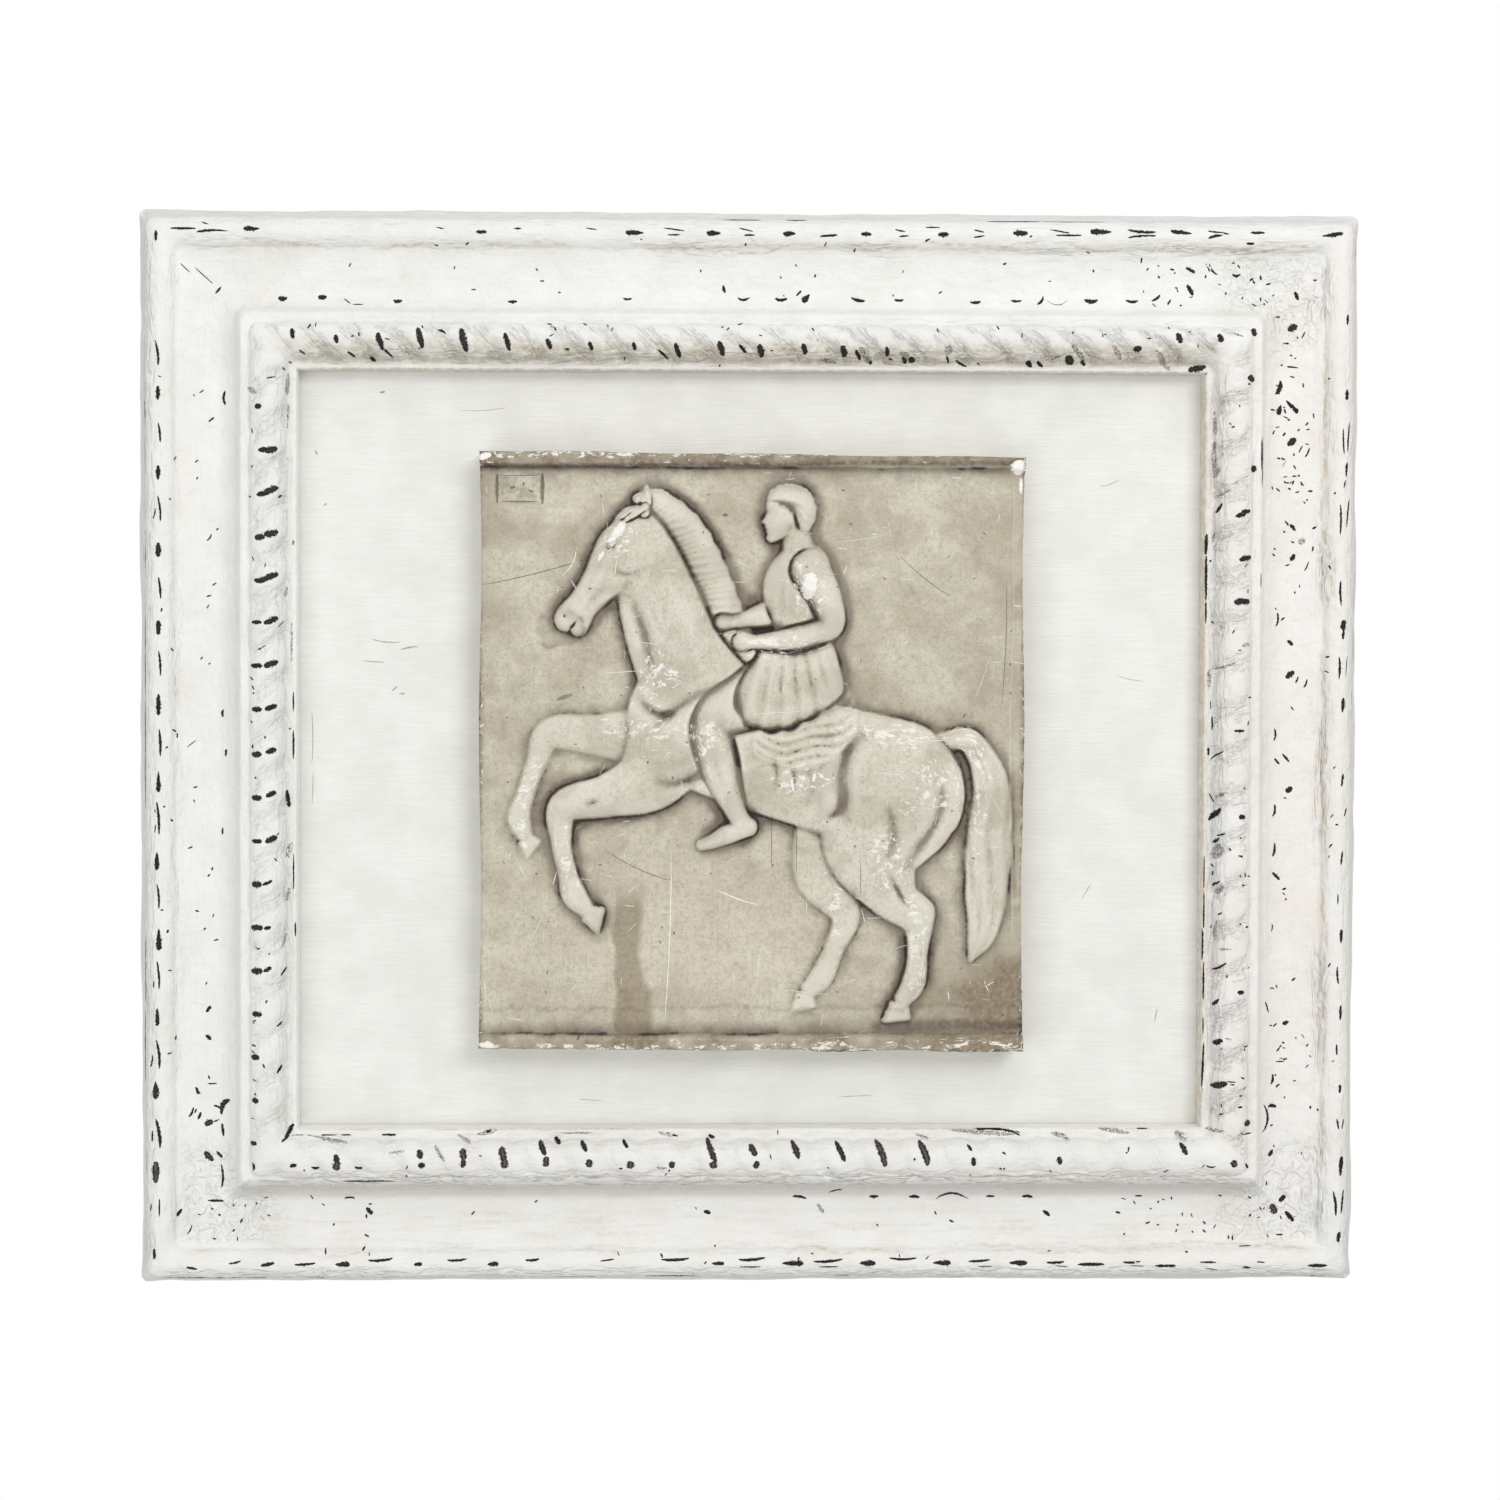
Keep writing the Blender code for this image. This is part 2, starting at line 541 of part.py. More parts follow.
def cloth_folds(x, z, skin):
    """Curved folds of the saddle cloth, rings about the rider's seat that die out at its hem."""
    swing, waves, start = CLOTH_FOLD_WAVE
    across, down = x - CLOTH_FOLD_CENTRE[0], CLOTH_FOLD_STRETCH * (z - CLOTH_FOLD_CENTRE[1])
    ring = np.hypot(across, down) + swing * np.sin(waves * x + start)
    return CLOTH_FOLD_RISE * np.sin(CLOTH_FOLDS * ring) * np.clip(-skin / CLOTH_HEM, 0, 1)


def rider(x, z, ground):
    """The rider: far arm, saddle cloth, trunk and head, leg, pleated skirt and near arm."""
    ground = lay(ground, limb(x, z, FAR_ARM))
    skin = outline(x, z, SADDLE_CLOTH, CLOTH_RISE, CLOTH_HEM)[0]
    ground = ground + cover(skin) * (CLOTH_RISE + cloth_folds(x, z, skin))
    head = outline(x, z, placed(RIDER_HEAD, RIDER_HEAD_PLACE), *FACE_CROWN)
    ground = lay(ground, join([limb(x, z, TORSO), limb(x, z, THROAT), head], THROAT_BLEND))
    ground = lay(ground, outline(x, z, placed(HAIR, RIDER_HEAD_PLACE), *HAIR_CROWN))
    ground = lay(ground, join([limb(x, z, THIGH), limb(x, z, FOOT)], ANKLE_BLEND))
    skin, crown = outline(x, z, SKIRT, *SKIRT_CROWN)
    angle = np.arctan2(x - PLEAT_APEX[0], PLEAT_APEX[1] - z)
    bend, turns = PLEAT_BEND
    growth = np.clip((PLEAT_TOP - z) / PLEAT_GROWTH, PLEAT_LEAST, 1)
    pleats = PLEAT_RISE * np.sin(PLEATS * angle + bend * np.sin(turns * z)) * growth
    ground = lay(ground, (skin + HEM_SCALLOP * np.sin(PLEATS * angle), crown + pleats))
    return lay(ground, limb(x, z, NEAR_ARM))


def slab_edges(across):
    """Heights of the slab's uneven upper and lower edges; across runs from -1 to 1 over its width."""
    share = (across + 1) / 2
    waves, start, strength = UPPER_EDGE_WAVE
    upper = SLAB_HEIGHT - TOP_DROP * share + strength * EDGE_WAVE * np.sin(waves * across + start)
    waves, start = LOWER_EDGE_WAVE
    spell = np.exp(-(((across - LOWER_WAVE_CENTRE) / LOWER_WAVE_SPREAD) ** 2))
    lower = BOTTOM_DROP * (0.5 - share) + EDGE_WAVE * spell * np.sin(waves * across + start)
    return upper, lower


def slab_height(x, z, upper, lower, side):
    """How far the slab's face stands off its back; side is the way in from the nearer upright edge."""
    group_x, group_z = x / GROUP_HEIGHT, z / GROUP_HEIGHT
    height = rider(group_x, group_z, horse(group_x, group_z, np.zeros(x.shape))) * RELIEF_UNIT
    band = np.minimum(upper - z, z - lower)
    slope = np.clip((BAND_HEIGHT - band) / (BAND_SLOPE * BAND_HEIGHT), 0, 1)
    height = np.maximum(height, BAND_RISE * slope * slope * (3 - 2 * slope))
    stamp_x = np.abs(x - STAMP_CENTRE[0]) - STAMP_SIZE[0] / 2
    stamp_z = np.abs(z - STAMP_CENTRE[1]) - STAMP_SIZE[1] / 2
    height = height + STAMP_RISE * np.exp(-((np.maximum(stamp_x, stamp_z) / STAMP_BORDER) ** 2))
    edge = np.clip(1 - np.minimum(band, side) / EDGE_WEAR, 0, 1)
    return SLAB_THICKNESS + height - EDGE_LOSS * edge**2


def add_slab(pieces, material, centre):
    """The slab: a fine grid raised by the relief, with its outline carried straight back and closed."""
    columns, rows = round(SLAB_WIDTH / FACE_PITCH), round(SLAB_HEIGHT / FACE_PITCH)
    bm = bmesh.new()
    bmesh.ops.create_grid(bm, x_segments=columns, y_segments=rows, size=1.0)
    flat = np.array([vert.co[:2] for vert in bm.verts], float)
    across, share = flat[:, 0], (flat[:, 1] + 1) / 2
    upper, lower = slab_edges(across)
    waves, start = SIDE_EDGE_WAVE
    x = across * (SLAB_WIDTH / 2 + EDGE_WAVE * np.sin(waves * share + start))
    z = lower + share * (upper - lower)
    side = (1 - np.abs(across)) * SLAB_WIDTH / 2
    height = np.round(slab_height(x, z, upper, lower, side), 6)
    for vert, place in zip(bm.verts, np.column_stack([x, -height, z - SLAB_HEIGHT / 2])):
        vert.co = place
    rim = [edge for edge in bm.edges if edge.is_boundary]
    walls = bmesh.ops.extrude_edge_only(bm, edges=rim)["geom"]
    for vert in (item for item in walls if isinstance(item, bmesh.types.BMVert)):
        vert.co.y = 0.0
    bmesh.ops.contextual_create(bm, geom=[edge for edge in bm.edges if edge.is_boundary])
    slab = object_from(bm, "plaster_plaque", pieces, material)
    thin = slab.modifiers.new("fewer faces", "DECIMATE")
    thin.decimate_type = "COLLAPSE"
    thin.ratio = SLAB_KEEP
    slab.parent = centre
    slab.location = (0, -REBATE_HEIGHT, 0)
    slab.data.shade_smooth()
    return slab


def build():
    clear_scene()
    pieces = new_collection("plaster relief plaque")
    cutters = new_collection("cutters")
    paint = new_material("frame paint", WHITE_PAINT)
    centre = bpy.data.objects.new("frame_centre", None)
    centre.location = (0, 0, MOUNT_DROP - FRAME_HEIGHT / 2)
    pieces.objects.link(centre)
    sides = (
        ("frame_rail_top", FRAME_WIDTH, FRAME_HEIGHT / 2, 0),
        ("frame_rail_right", FRAME_HEIGHT, FRAME_WIDTH / 2, 1),
        ("frame_rail_bottom", FRAME_WIDTH, FRAME_HEIGHT / 2, 2),
        ("frame_rail_left", FRAME_HEIGHT, FRAME_WIDTH / 2, 3),
    )
    for name, length, distance, quarter_turns in sides:
        add_rail(name, length, distance, quarter_turns, pieces, cutters, paint, centre)
    add_board(pieces, new_material("board paint", BOARD_PAINT), centre)
    add_slab(pieces, new_material("aged plaster", PLASTER), centre)


build()
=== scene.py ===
"""The looks of a framed plaster relief: a horse and rider on a white board in a wide worn frame.

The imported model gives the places. The frame's middle lies CENTRE_Z below the origin, the front
faces -Y, and sizes are in metres unless a name or comment says otherwise.
"""

import math

import bpy
import numpy as np
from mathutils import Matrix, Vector


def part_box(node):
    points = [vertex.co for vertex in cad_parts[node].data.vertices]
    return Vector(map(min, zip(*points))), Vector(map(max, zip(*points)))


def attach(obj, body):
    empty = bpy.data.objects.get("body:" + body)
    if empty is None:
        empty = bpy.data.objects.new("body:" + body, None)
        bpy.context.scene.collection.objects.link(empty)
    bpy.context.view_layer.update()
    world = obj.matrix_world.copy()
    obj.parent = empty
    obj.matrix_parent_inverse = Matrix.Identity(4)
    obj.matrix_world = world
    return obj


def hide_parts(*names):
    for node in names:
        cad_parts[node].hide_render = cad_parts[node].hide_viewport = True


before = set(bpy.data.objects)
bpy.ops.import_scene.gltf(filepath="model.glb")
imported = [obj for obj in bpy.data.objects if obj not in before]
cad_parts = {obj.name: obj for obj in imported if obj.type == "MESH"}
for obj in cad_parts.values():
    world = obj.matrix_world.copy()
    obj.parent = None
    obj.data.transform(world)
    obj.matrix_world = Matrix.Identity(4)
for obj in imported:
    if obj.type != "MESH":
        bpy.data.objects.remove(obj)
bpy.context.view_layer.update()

MM = 0.001
CENTRE_Z = -0.263

# Frame, as in the solids: width of each member of the moulding and how far it stands off the wall
FRAME_WIDTH = 0.689
FRAME_HEIGHT = 0.606
OUTER_SIDE_WIDTH = 0.0060
BEAD_WIDTH = 0.0165
COVE_WIDTH = 0.0340
STEP_WIDTH = 0.0040
UPPER_FILLET_WIDTH = 0.0055
TORUS_WIDTH = 0.0200
RAIL_WIDTH = 0.0915
OUTER_FOOT_RISE = 0.0040
OUTER_SIDE_RISE = 0.0175
BEAD_CREST = 0.0255
BEAD_FOOT = 0.0200
COVE_FLOOR = 0.0165
COVE_END = 0.0215
COVE_LOW = 2 / 3
UPPER_FILLET_RISE = 0.0310
TORUS_CREST = 0.0375
TORUS_FOOT = 0.0275
SIGHT_FILLET_RISE = 0.0270
REBATE_WIDTH = 0.0095
REBATE_HEIGHT = 0.0140
BOARD_EDGE_CLEARANCE = 0.0010
ARRIS_SOFTNESS = 0.0006  # paint has rounded every arris by about this much

# Paint laid thick: rises of creases, ridges and unevenness
EDGE_WANDER = 0.00060
TIP_LOSS = 0.0015  # how far the tip of a mitre is worn back
BEAD_WRINKLE = 0.00060
LIP_RISE = 0.00090
CREASE_RISE = 0.00110
RIDGE_RISE = 0.00050
COVE_STROKE = 0.00018
RIB_DEPTH = 0.00190
TORUS_STRAND = 0.00100
TORUS_CREASE = 0.00050
FILLET_RISE = 0.00090
MITRE_FILL = 0.00030
SCROLL_RISE = 0.00060
PAINT_UNEVENNESS = 0.00016
CORNER_SOFTNESS = 0.0070  # paint has rounded the members where two rails meet by about this much

# How finely the pieces are made, and small margins
MITRE_OVERLAP = 0.0001
FRONT_MARGIN = 0.0005  # above the outer foot, where the front begins
SIGHT_MARGIN = 0.0008  # below the sight fillet, where the marks end
BACK_MARGIN = 0.0030  # off the wall, free of marks
REBATE_MARGIN = 0.0020  # before the rebate's wall, free of marks
BOX_MARGIN = 0.0001  # between the relief and the front of its solid
RAIL_STEP = 0.0010
PROFILE_POINTS = 134
MOST_TRIANGLES = 190000  # of the slab
BOARD_STEP = 0.0030
BOARD_WAVE = 0.00018

# Camera: place, turns in degrees, focal length in millimetres and shift in shares of the picture
CAMERA_PLACE = (-0.054, -1.5, -0.187)
CAMERA_TURN = (90 - 1.27, -0.16, -1.23)
LENS_LENGTH = 63.43
LENS_SHIFT = (0.0253, -0.0513)

# Studio: brightness of the surroundings, lamps as (name, place, size, power, colour), and the floor
AMBIENT = 0.56
LAMPS = [
    ("wide lamp above", (1.0, -2.0, 0.72), (1.1, 0.8), 18.5, (1.0, 0.99, 0.97)),
    ("side fill", (-1.2, -2.0, -0.8), (1.6, 1.6), 11.5, (1.0, 1.0, 0.99)),
    ("soft lamp overhead", (-0.1, -1.1, 1.5), (1.8, 1.0), 6.0, (1, 1, 1)),
]
FLOOR_RADIUS = 2.2
FLOOR_MIDDLE = -0.6
FLOOR_HEIGHT = -1.75

# Each rail: its side, pitch and phase of the torus ribs and the way they lean, seed of its noise, how
# much its bead, the foot of its bead and its torus are wrinkled, how worn its two corners are, how
# strong the tan painted shade at the foot of its bead is, how pink its paint is, and the number of
# small worn specks
RAILS = {
    "frame_rail_top": dict(
        side="top", pitch=0.0234, phase=0.0045, lean=0.85, seed=11, bead=0.35, foot=1.0, torus=1.0,
        worn=(0.2, 1), tan=0.9, pink=0.10, specks=66,
    ),
    "frame_rail_bottom": dict(
        side="bottom", pitch=0.0235, phase=0.0020, lean=-0.45, seed=23, bead=1.3, foot=0.35, torus=0.25,
        worn=(1, 1), tan=0.5, pink=0.25, specks=46,
    ),
    "frame_rail_left": dict(
        side="left", pitch=0.0241, phase=-0.0010, lean=0.55, seed=37, bead=0.9, foot=0.5, torus=0.6,
        worn=(1, 0.2), tan=0.25, pink=0.10, specks=72,
    ),
    "frame_rail_right": dict(
        side="right", pitch=0.0244, phase=0.0120, lean=-0.30, seed=41, bead=0.6, foot=1.3, torus=1.0,
        worn=(1, 1), tan=1.0, pink=0.75, specks=80,
    ),
}

# Small worn specks, in millimetres: how far they reach along a rail from its middle, the bands that
# they lie in, measured from the outer edge, and more of them in the worn ornament of the cove as
# (rail, middle along it, reach, count)
SPECK_REACH = {"top": 260, "bottom": 260, "left": 220, "right": 220}
SPECK_BANDS = [(15, 24), (30, 50), (66, 72), (72, 90)]
CORNER_SPECK_BANDS = [(27, 53)]
CORNER_SPECKS = [
    ("right", 205, 60, 34), ("top", 262, 48, 26), ("right", 120, 50, 16), ("right", -215, 60, 24),
    ("bottom", 258, 50, 22), ("bottom", -262, 50, 18),
]

# What the mesh carries as shares on the rails' backs, and as the place at corners away from all marks
PLAIN_SHARE = 0.3
NO_MARK = 9.0

# Stretch and rise of the paint's folds along the leaning ribs, along the rail and near worn corners
FOLDS = [((300, 80, 1), 0.50), ((0.045, 0.22, 1), 0.70), ((0.12, 0.12, 0.12), 0.60)]
PER_METRE = (1000, 1000, 1000)

# Colours of the frame's paint, some laid on as painted shade, and of the wood where it is worn through
PAINT_WHITES = ((0.825, 0.826, 0.80, 1), (0.872, 0.875, 0.855, 1))
PAINT_STREAK = (0.70, 0.68, 0.63, 1)
PAINT_PINK = (0.86, 0.78, 0.72, 1)
PAINT_GREY_SHADE = (0.60, 0.595, 0.575, 1)
PAINT_TAN_AND_SHADE = (0.56, 0.48, 0.36, 1)
PAINT_DUST_AND_SHADE = (0.55, 0.505, 0.42, 1)
FOLD_SHADE = (0.55, 0.50, 0.42, 1)
RUBBED_PAINT = (0.20, 0.18, 0.16, 1)
DARK_WOOD = (0.013, 0.011, 0.010, 1)
BROWN_WOOD = (0.22, 0.19, 0.155, 1)

# Colours of the board and the floor
BOARD_WHITES = ((0.81, 0.815, 0.775, 1), (0.875, 0.88, 0.845, 1))
BOARD_STREAK = (0.70, 0.71, 0.69, 1)
BOARD_CRACK = (0.20, 0.18, 0.155, 1)
FLOOR_TONES = ((0.80, 0.80, 0.79, 1), (0.86, 0.86, 0.85, 1))

# Colours of the plaster, from the cast itself to what has settled on it and what has chipped off, with
# painted shade and painted highlight on its forms
GROUND_TONES = ((0.50, 0.458, 0.355, 1), (0.69, 0.65, 0.53, 1))
FIGURE_TONES = ((0.60, 0.562, 0.455, 1), (0.735, 0.705, 0.60, 1))
PALE_GROUND = (0.72, 0.66, 0.535, 1)
SCUFF = (0.74, 0.70, 0.61, 1)
DRIP = (0.34, 0.30, 0.22, 1)
MOTTLE = (0.36, 0.31, 0.22, 1)
DARK_GRAIN = (0.27, 0.235, 0.17, 1)
PALE_GRAIN = (0.72, 0.69, 0.60, 1)
HAIR_CRACK = (0.13, 0.105, 0.08, 1)
RUBBED_EDGE_AND_HIGHLIGHT = (0.74, 0.71, 0.63, 1)
CREST_HIGHLIGHT = (0.79, 0.765, 0.675, 1)
SOOT_FILM_AND_SHADE = (0.165, 0.132, 0.104, 1)
BROWN_STAIN = (0.235, 0.180, 0.115, 1)
GRIME_AND_SHADOW = (0.060, 0.046, 0.034, 1)
THICK_SOOT = (0.055, 0.042, 0.036, 1)
SPECKLE = (0.16, 0.13, 0.09, 1)
WHITE_FLAKE = (0.90, 0.885, 0.83, 1)
DARK_MARK = (0.055, 0.042, 0.032, 1)
FRESH_CHIP = (0.92, 0.905, 0.855, 1)

# Plaster slab, as in the solid
SLAB_WIDTH = 0.3020
SLAB_HEIGHT = 0.3325
SLAB_THICKNESS = 0.0200  # back to the ground of the relief
TOP_DROP = 0.0028
BOTTOM_DROP = 0.0020
BAND_HEIGHT = 0.0095
BAND_RISE = 0.0034
BAND_SLOPE = 0.35
EDGE_WEAR = 0.0022
EDGE_LOSS = 0.0012
EDGE_WAVE = 0.0007
UPPER_EDGE_WAVE = (9.0, 1.0, 0.5)
LOWER_EDGE_WAVE = (13.0, 0.6)
LOWER_WAVE_CENTRE = 0.35
LOWER_WAVE_SPREAD = 0.5
SIDE_EDGE_WAVE = (11.0, 2.0)
PANEL_CENTRE = (-0.1291, 0.3117)
PANEL_SIZE = (0.0250, 0.0147)
PANEL_BORDER = 0.0011
PANEL_RISE = 0.0007
SEAM_PLACE = 0.1445  # a raised seam that runs up beside the slab's right side
SEAM_ENDS = (0.050, 0.070, 0.312, 0.318)
SEAM_RISE = 0.0007
SEAM_WIDTH = 0.0007
SEAM_WAVER = 0.0005
PIT_DEPTH = 0.00022
BAND_WAVER = 0.00040
GROUND_WAVER = 0.00012
SIDE_UNEVENNESS = 0.0016  # in shares of the distance from the slab's middle
NARROW_HOLLOW = 0.0010
WIDE_HOLLOW = 0.0045
SIDE_LOOKS = {"relief": (0.42, 0.50, 0.0, 0.25), "stains": (0.22, 0.04, 0.25, 0.3)}  # shares on its sides
FINE_SCRATCHES = 170
FINE_SPECKS = 60

# Horse and rider, in shares of the slab's height; crowns and cuts are in millimetres
EDGE_SHARE = 0.22
CROWN_POWER = 0.58
CUT_WIDTH = 0.0065
MODELLING = 3.3  # how strongly the muscles are worked, against the rises below
HEAD_MODELLING = 1.5
FAR_SHARE = 0.72  # the far legs lie this much lower than in the solid
REACH = 0.024
FAR = 9.0
BODY_BLEND = 0.010
HEAD_BLEND = 0.006
HOOF_BLEND = 0.003
THROAT_BLEND = 0.004
ANKLE_BLEND = 0.006
CROWN_BLEND = 0.9
CARVING_SOFTNESS = 0.55  # worn plaster has softened every cut by about this many millimetres

# Limbs as (across from the slab's middle, height, radius, crown) along their middle line
BARREL = [
    (0.232, 0.432, 0.120, 9.2), (0.110, 0.474, 0.106, 8.4), (-0.015, 0.520, 0.112, 8.8),
    (-0.105, 0.552, 0.106, 8.6),
]
NECK = [
    (-0.075, 0.600, 0.104, 8.2), (-0.122, 0.690, 0.088, 7.8), (-0.152, 0.775, 0.075, 7.4),
    (-0.172, 0.840, 0.058, 7.0), (-0.192, 0.868, 0.042, 6.6),
]
MANE = [
    (0.012, 0.640, 0.016, 7.8), (-0.032, 0.705, 0.027, 8.2), (-0.066, 0.785, 0.030, 8.2),
    (-0.108, 0.864, 0.029, 8.0), (-0.158, 0.914, 0.020, 7.6), (-0.190, 0.918, 0.010, 7.2),
]
TAIL = [
    (0.318, 0.512, 0.016, 4.4), (0.366, 0.512, 0.020, 5.2), (0.400, 0.445, 0.030, 5.6),
    (0.396, 0.350, 0.038, 5.4), (0.392, 0.270, 0.036, 5.0), (0.386, 0.200, 0.026, 4.4),
    (0.366, 0.148, 0.005, 3.2),
]
NEAR_FORE = [
    (-0.130, 0.520, 0.080, 8.6), (-0.172, 0.456, 0.057, 8.2), (-0.240, 0.427, 0.037, 7.2),
    (-0.312, 0.408, 0.029, 6.8), (-0.318, 0.350, 0.018, 5.4), (-0.306, 0.296, 0.0165, 5.2),
    (-0.296, 0.262, 0.021, 5.8), (-0.277, 0.238, 0.0155, 5.0),
]
FAR_FORE = [
    (-0.160, 0.520, 0.060, 4.8), (-0.250, 0.526, 0.036, 4.4), (-0.336, 0.530, 0.0275, 4.6),
    (-0.362, 0.480, 0.0175, 3.8), (-0.380, 0.425, 0.016, 3.6), (-0.389, 0.391, 0.020, 4.0),
    (-0.380, 0.364, 0.015, 3.6),
]
NEAR_HIND = [
    (0.240, 0.425, 0.116, 9.2), (0.200, 0.345, 0.085, 8.6), (0.228, 0.268, 0.046, 7.0),
    (0.274, 0.216, 0.0265, 6.2), (0.277, 0.160, 0.018, 5.2), (0.271, 0.112, 0.0205, 5.8),
    (0.255, 0.086, 0.016, 5.0),
]
HOCK = [(0.268, 0.252, 0.016, 6.0), (0.290, 0.232, 0.015, 6.2), (0.288, 0.205, 0.014, 5.6)]
FAR_HIND = [
    (0.150, 0.360, 0.080, 5.0), (0.118, 0.290, 0.045, 4.6), (0.156, 0.226, 0.0255, 4.6),
    (0.138, 0.168, 0.0172, 3.8), (0.118, 0.122, 0.0198, 4.1), (0.098, 0.100, 0.0155, 3.6),
]
TORSO = [
    (0.070, 0.650, 0.055, 7.4), (0.080, 0.705, 0.046, 7.0), (0.074, 0.765, 0.058, 8.0),
    (0.082, 0.797, 0.049, 7.6),
]
THROAT = [(0.080, 0.815, 0.030, 6.0), (0.070, 0.862, 0.0235, 5.8)]
THIGH = [
    (0.066, 0.628, 0.060, 10.2), (0.000, 0.588, 0.051, 10.8), (-0.066, 0.547, 0.038, 11.0),
    (-0.056, 0.478, 0.0345, 10.4), (-0.030, 0.406, 0.020, 8.6), (-0.018, 0.381, 0.0185, 8.2),
]
FOOT = [
    (-0.008, 0.374, 0.017, 7.2), (-0.040, 0.361, 0.0165, 7.0), (-0.066, 0.348, 0.0115, 6.2),
    (-0.084, 0.342, 0.0085, 5.4),
]
NEAR_ARM = [
    (0.094, 0.800, 0.035, 10.0), (0.121, 0.748, 0.0285, 10.0), (0.126, 0.704, 0.0235, 9.8),
    (0.068, 0.686, 0.0225, 10.0), (0.008, 0.681, 0.014, 9.4), (-0.018, 0.682, 0.018, 10.0),
]
FAR_ARM = [(0.050, 0.735, 0.026, 6.4), (-0.020, 0.716, 0.0145, 6.4), (-0.050, 0.713, 0.0165, 6.8)]
FORELOCKS = [
    [(-0.04, -0.070, 0.008, 7.6), (0.03, -0.112, 0.008, 7.8), (0.10, -0.150, 0.004, 7.2)],
    [(-0.06, -0.050, 0.007, 7.8), (0.02, -0.080, 0.007, 7.9), (0.11, -0.112, 0.003, 7.3)],
]

# Closed outlines, each in a frame of its own: place, turn in degrees and size follow
HORSE_HEAD = [
    (-0.02, -0.060), (0.10, -0.150), (0.26, -0.190), (0.40, -0.170), (0.56, -0.125), (0.74, -0.105),
    (0.88, -0.118), (0.965, -0.092), (1.00, -0.030), (0.985, 0.030), (0.968, 0.050), (0.970, 0.095),
    (0.93, 0.140), (0.85, 0.140), (0.76, 0.125), (0.62, 0.150), (0.48, 0.205), (0.36, 0.260),
    (0.22, 0.275), (0.08, 0.215), (-0.02, 0.100),
]
EAR = [
    (0.02, -0.035), (-0.03, -0.085), (-0.10, -0.120), (-0.175, -0.142), (-0.190, -0.128), (-0.165, -0.070),
    (-0.10, -0.020), (-0.02, 0.012),
]
HORSE_HEAD_PLACE = ((-0.178, 0.886), 233.0, 0.232)
HOOF = [
    (-0.34, 0.22), (0.10, 0.18), (0.46, 0.02), (0.56, -0.34), (0.52, -0.68), (-0.10, -0.76),
    (-0.72, -0.76), (-0.66, -0.40), (-0.50, -0.06),
]
NEAR_FORE_HOOF_PLACE = ((-0.272, 0.228), 72.0, 0.034)
FAR_FORE_HOOF_PLACE = ((-0.377, 0.352), 48.0, 0.031)
NEAR_HIND_HOOF_PLACE = ((0.246, 0.074), 2.0, 0.036)
FAR_HIND_HOOF_PLACE = ((0.088, 0.090), 4.0, 0.033)
RIDER_HEAD = [
    (0.02, 0.50), (-0.24, 0.43), (-0.36, 0.26), (-0.385, 0.12), (-0.378, 0.05), (-0.415, -0.06),
    (-0.450, -0.140), (-0.405, -0.185), (-0.402, -0.235), (-0.378, -0.265), (-0.388, -0.305),
    (-0.358, -0.345), (-0.37, -0.41), (-0.31, -0.480), (-0.18, -0.470), (0.00, -0.390), (0.10, -0.300),
    (0.26, -0.300), (0.42, -0.10), (0.46, 0.14), (0.32, 0.40),
]
HAIR = [
    (-0.36, 0.26), (-0.25, 0.45), (0.02, 0.53), (0.34, 0.42), (0.49, 0.14), (0.47, -0.12),
    (0.33, -0.33), (0.20, -0.31), (0.12, -0.12), (0.05, 0.04), (-0.06, 0.14), (-0.20, 0.19),
]
RIDER_HEAD_PLACE = ((0.058, 0.893), 0.0, 0.096)
SKIRT = [
    (0.020, 0.676), (0.075, 0.666), (0.128, 0.682), (0.146, 0.640), (0.150, 0.592), (0.105, 0.556),
    (0.045, 0.532), (-0.014, 0.545), (-0.030, 0.600), (0.000, 0.652),
]
SADDLE_CLOTH = [
    (0.140, 0.620), (0.168, 0.590), (0.176, 0.545), (0.150, 0.500), (0.095, 0.470), (0.045, 0.478),
    (0.000, 0.500), (0.020, 0.560), (0.090, 0.590),
]

# Cuts and rolls: points along them, half width, rise (below 0 for a cut)
HORSE_CUTS = [
    ([(0.000, 0.610), (-0.070, 0.600), (-0.140, 0.560), (-0.185, 0.520)], 0.011, -0.9),
    ([(-0.020, 0.520), (-0.070, 0.470), (-0.130, 0.445), (-0.180, 0.455)], 0.010, -0.8),
    ([(-0.205, 0.600), (-0.165, 0.565), (-0.120, 0.560)], 0.009, -0.8),
    ([(-0.205, 0.765), (-0.180, 0.690), (-0.165, 0.620)], 0.010, -0.9),
    ([(-0.150, 0.800), (-0.110, 0.720), (-0.080, 0.650)], 0.022, 0.7),
    ([(0.205, 0.545), (0.158, 0.490), (0.150, 0.420), (0.165, 0.370)], 0.013, -1.2),
    ([(0.120, 0.385), (0.145, 0.400), (0.160, 0.440)], 0.009, -0.9),
    ([(0.310, 0.480), (0.315, 0.400), (0.275, 0.330), (0.250, 0.290)], 0.010, -0.9),
    ([(0.225, 0.420), (0.235, 0.360), (0.220, 0.310)], 0.012, -0.7),
    ([(0.225, 0.300), (0.245, 0.262), (0.262, 0.235)], 0.005, -0.8),
    ([(0.262, 0.200), (0.264, 0.160), (0.262, 0.125)], 0.0035, 0.6),
    ([(0.285, 0.200), (0.288, 0.160), (0.281, 0.125)], 0.0030, 0.6),
    ([(-0.250, 0.420), (-0.285, 0.410)], 0.006, -0.5),
    ([(-0.308, 0.385), (-0.307, 0.345), (-0.297, 0.300)], 0.0032, 0.6),
    ([(-0.328, 0.385), (-0.328, 0.345), (-0.316, 0.295)], 0.0030, 0.5),
    ([(0.030, 0.500), (0.040, 0.460), (0.028, 0.415)], 0.006, -0.4),
    ([(0.060, 0.490), (0.070, 0.450), (0.058, 0.409)], 0.006, -0.4),
    ([(0.090, 0.480), (0.100, 0.440), (0.088, 0.403)], 0.006, -0.35),
]
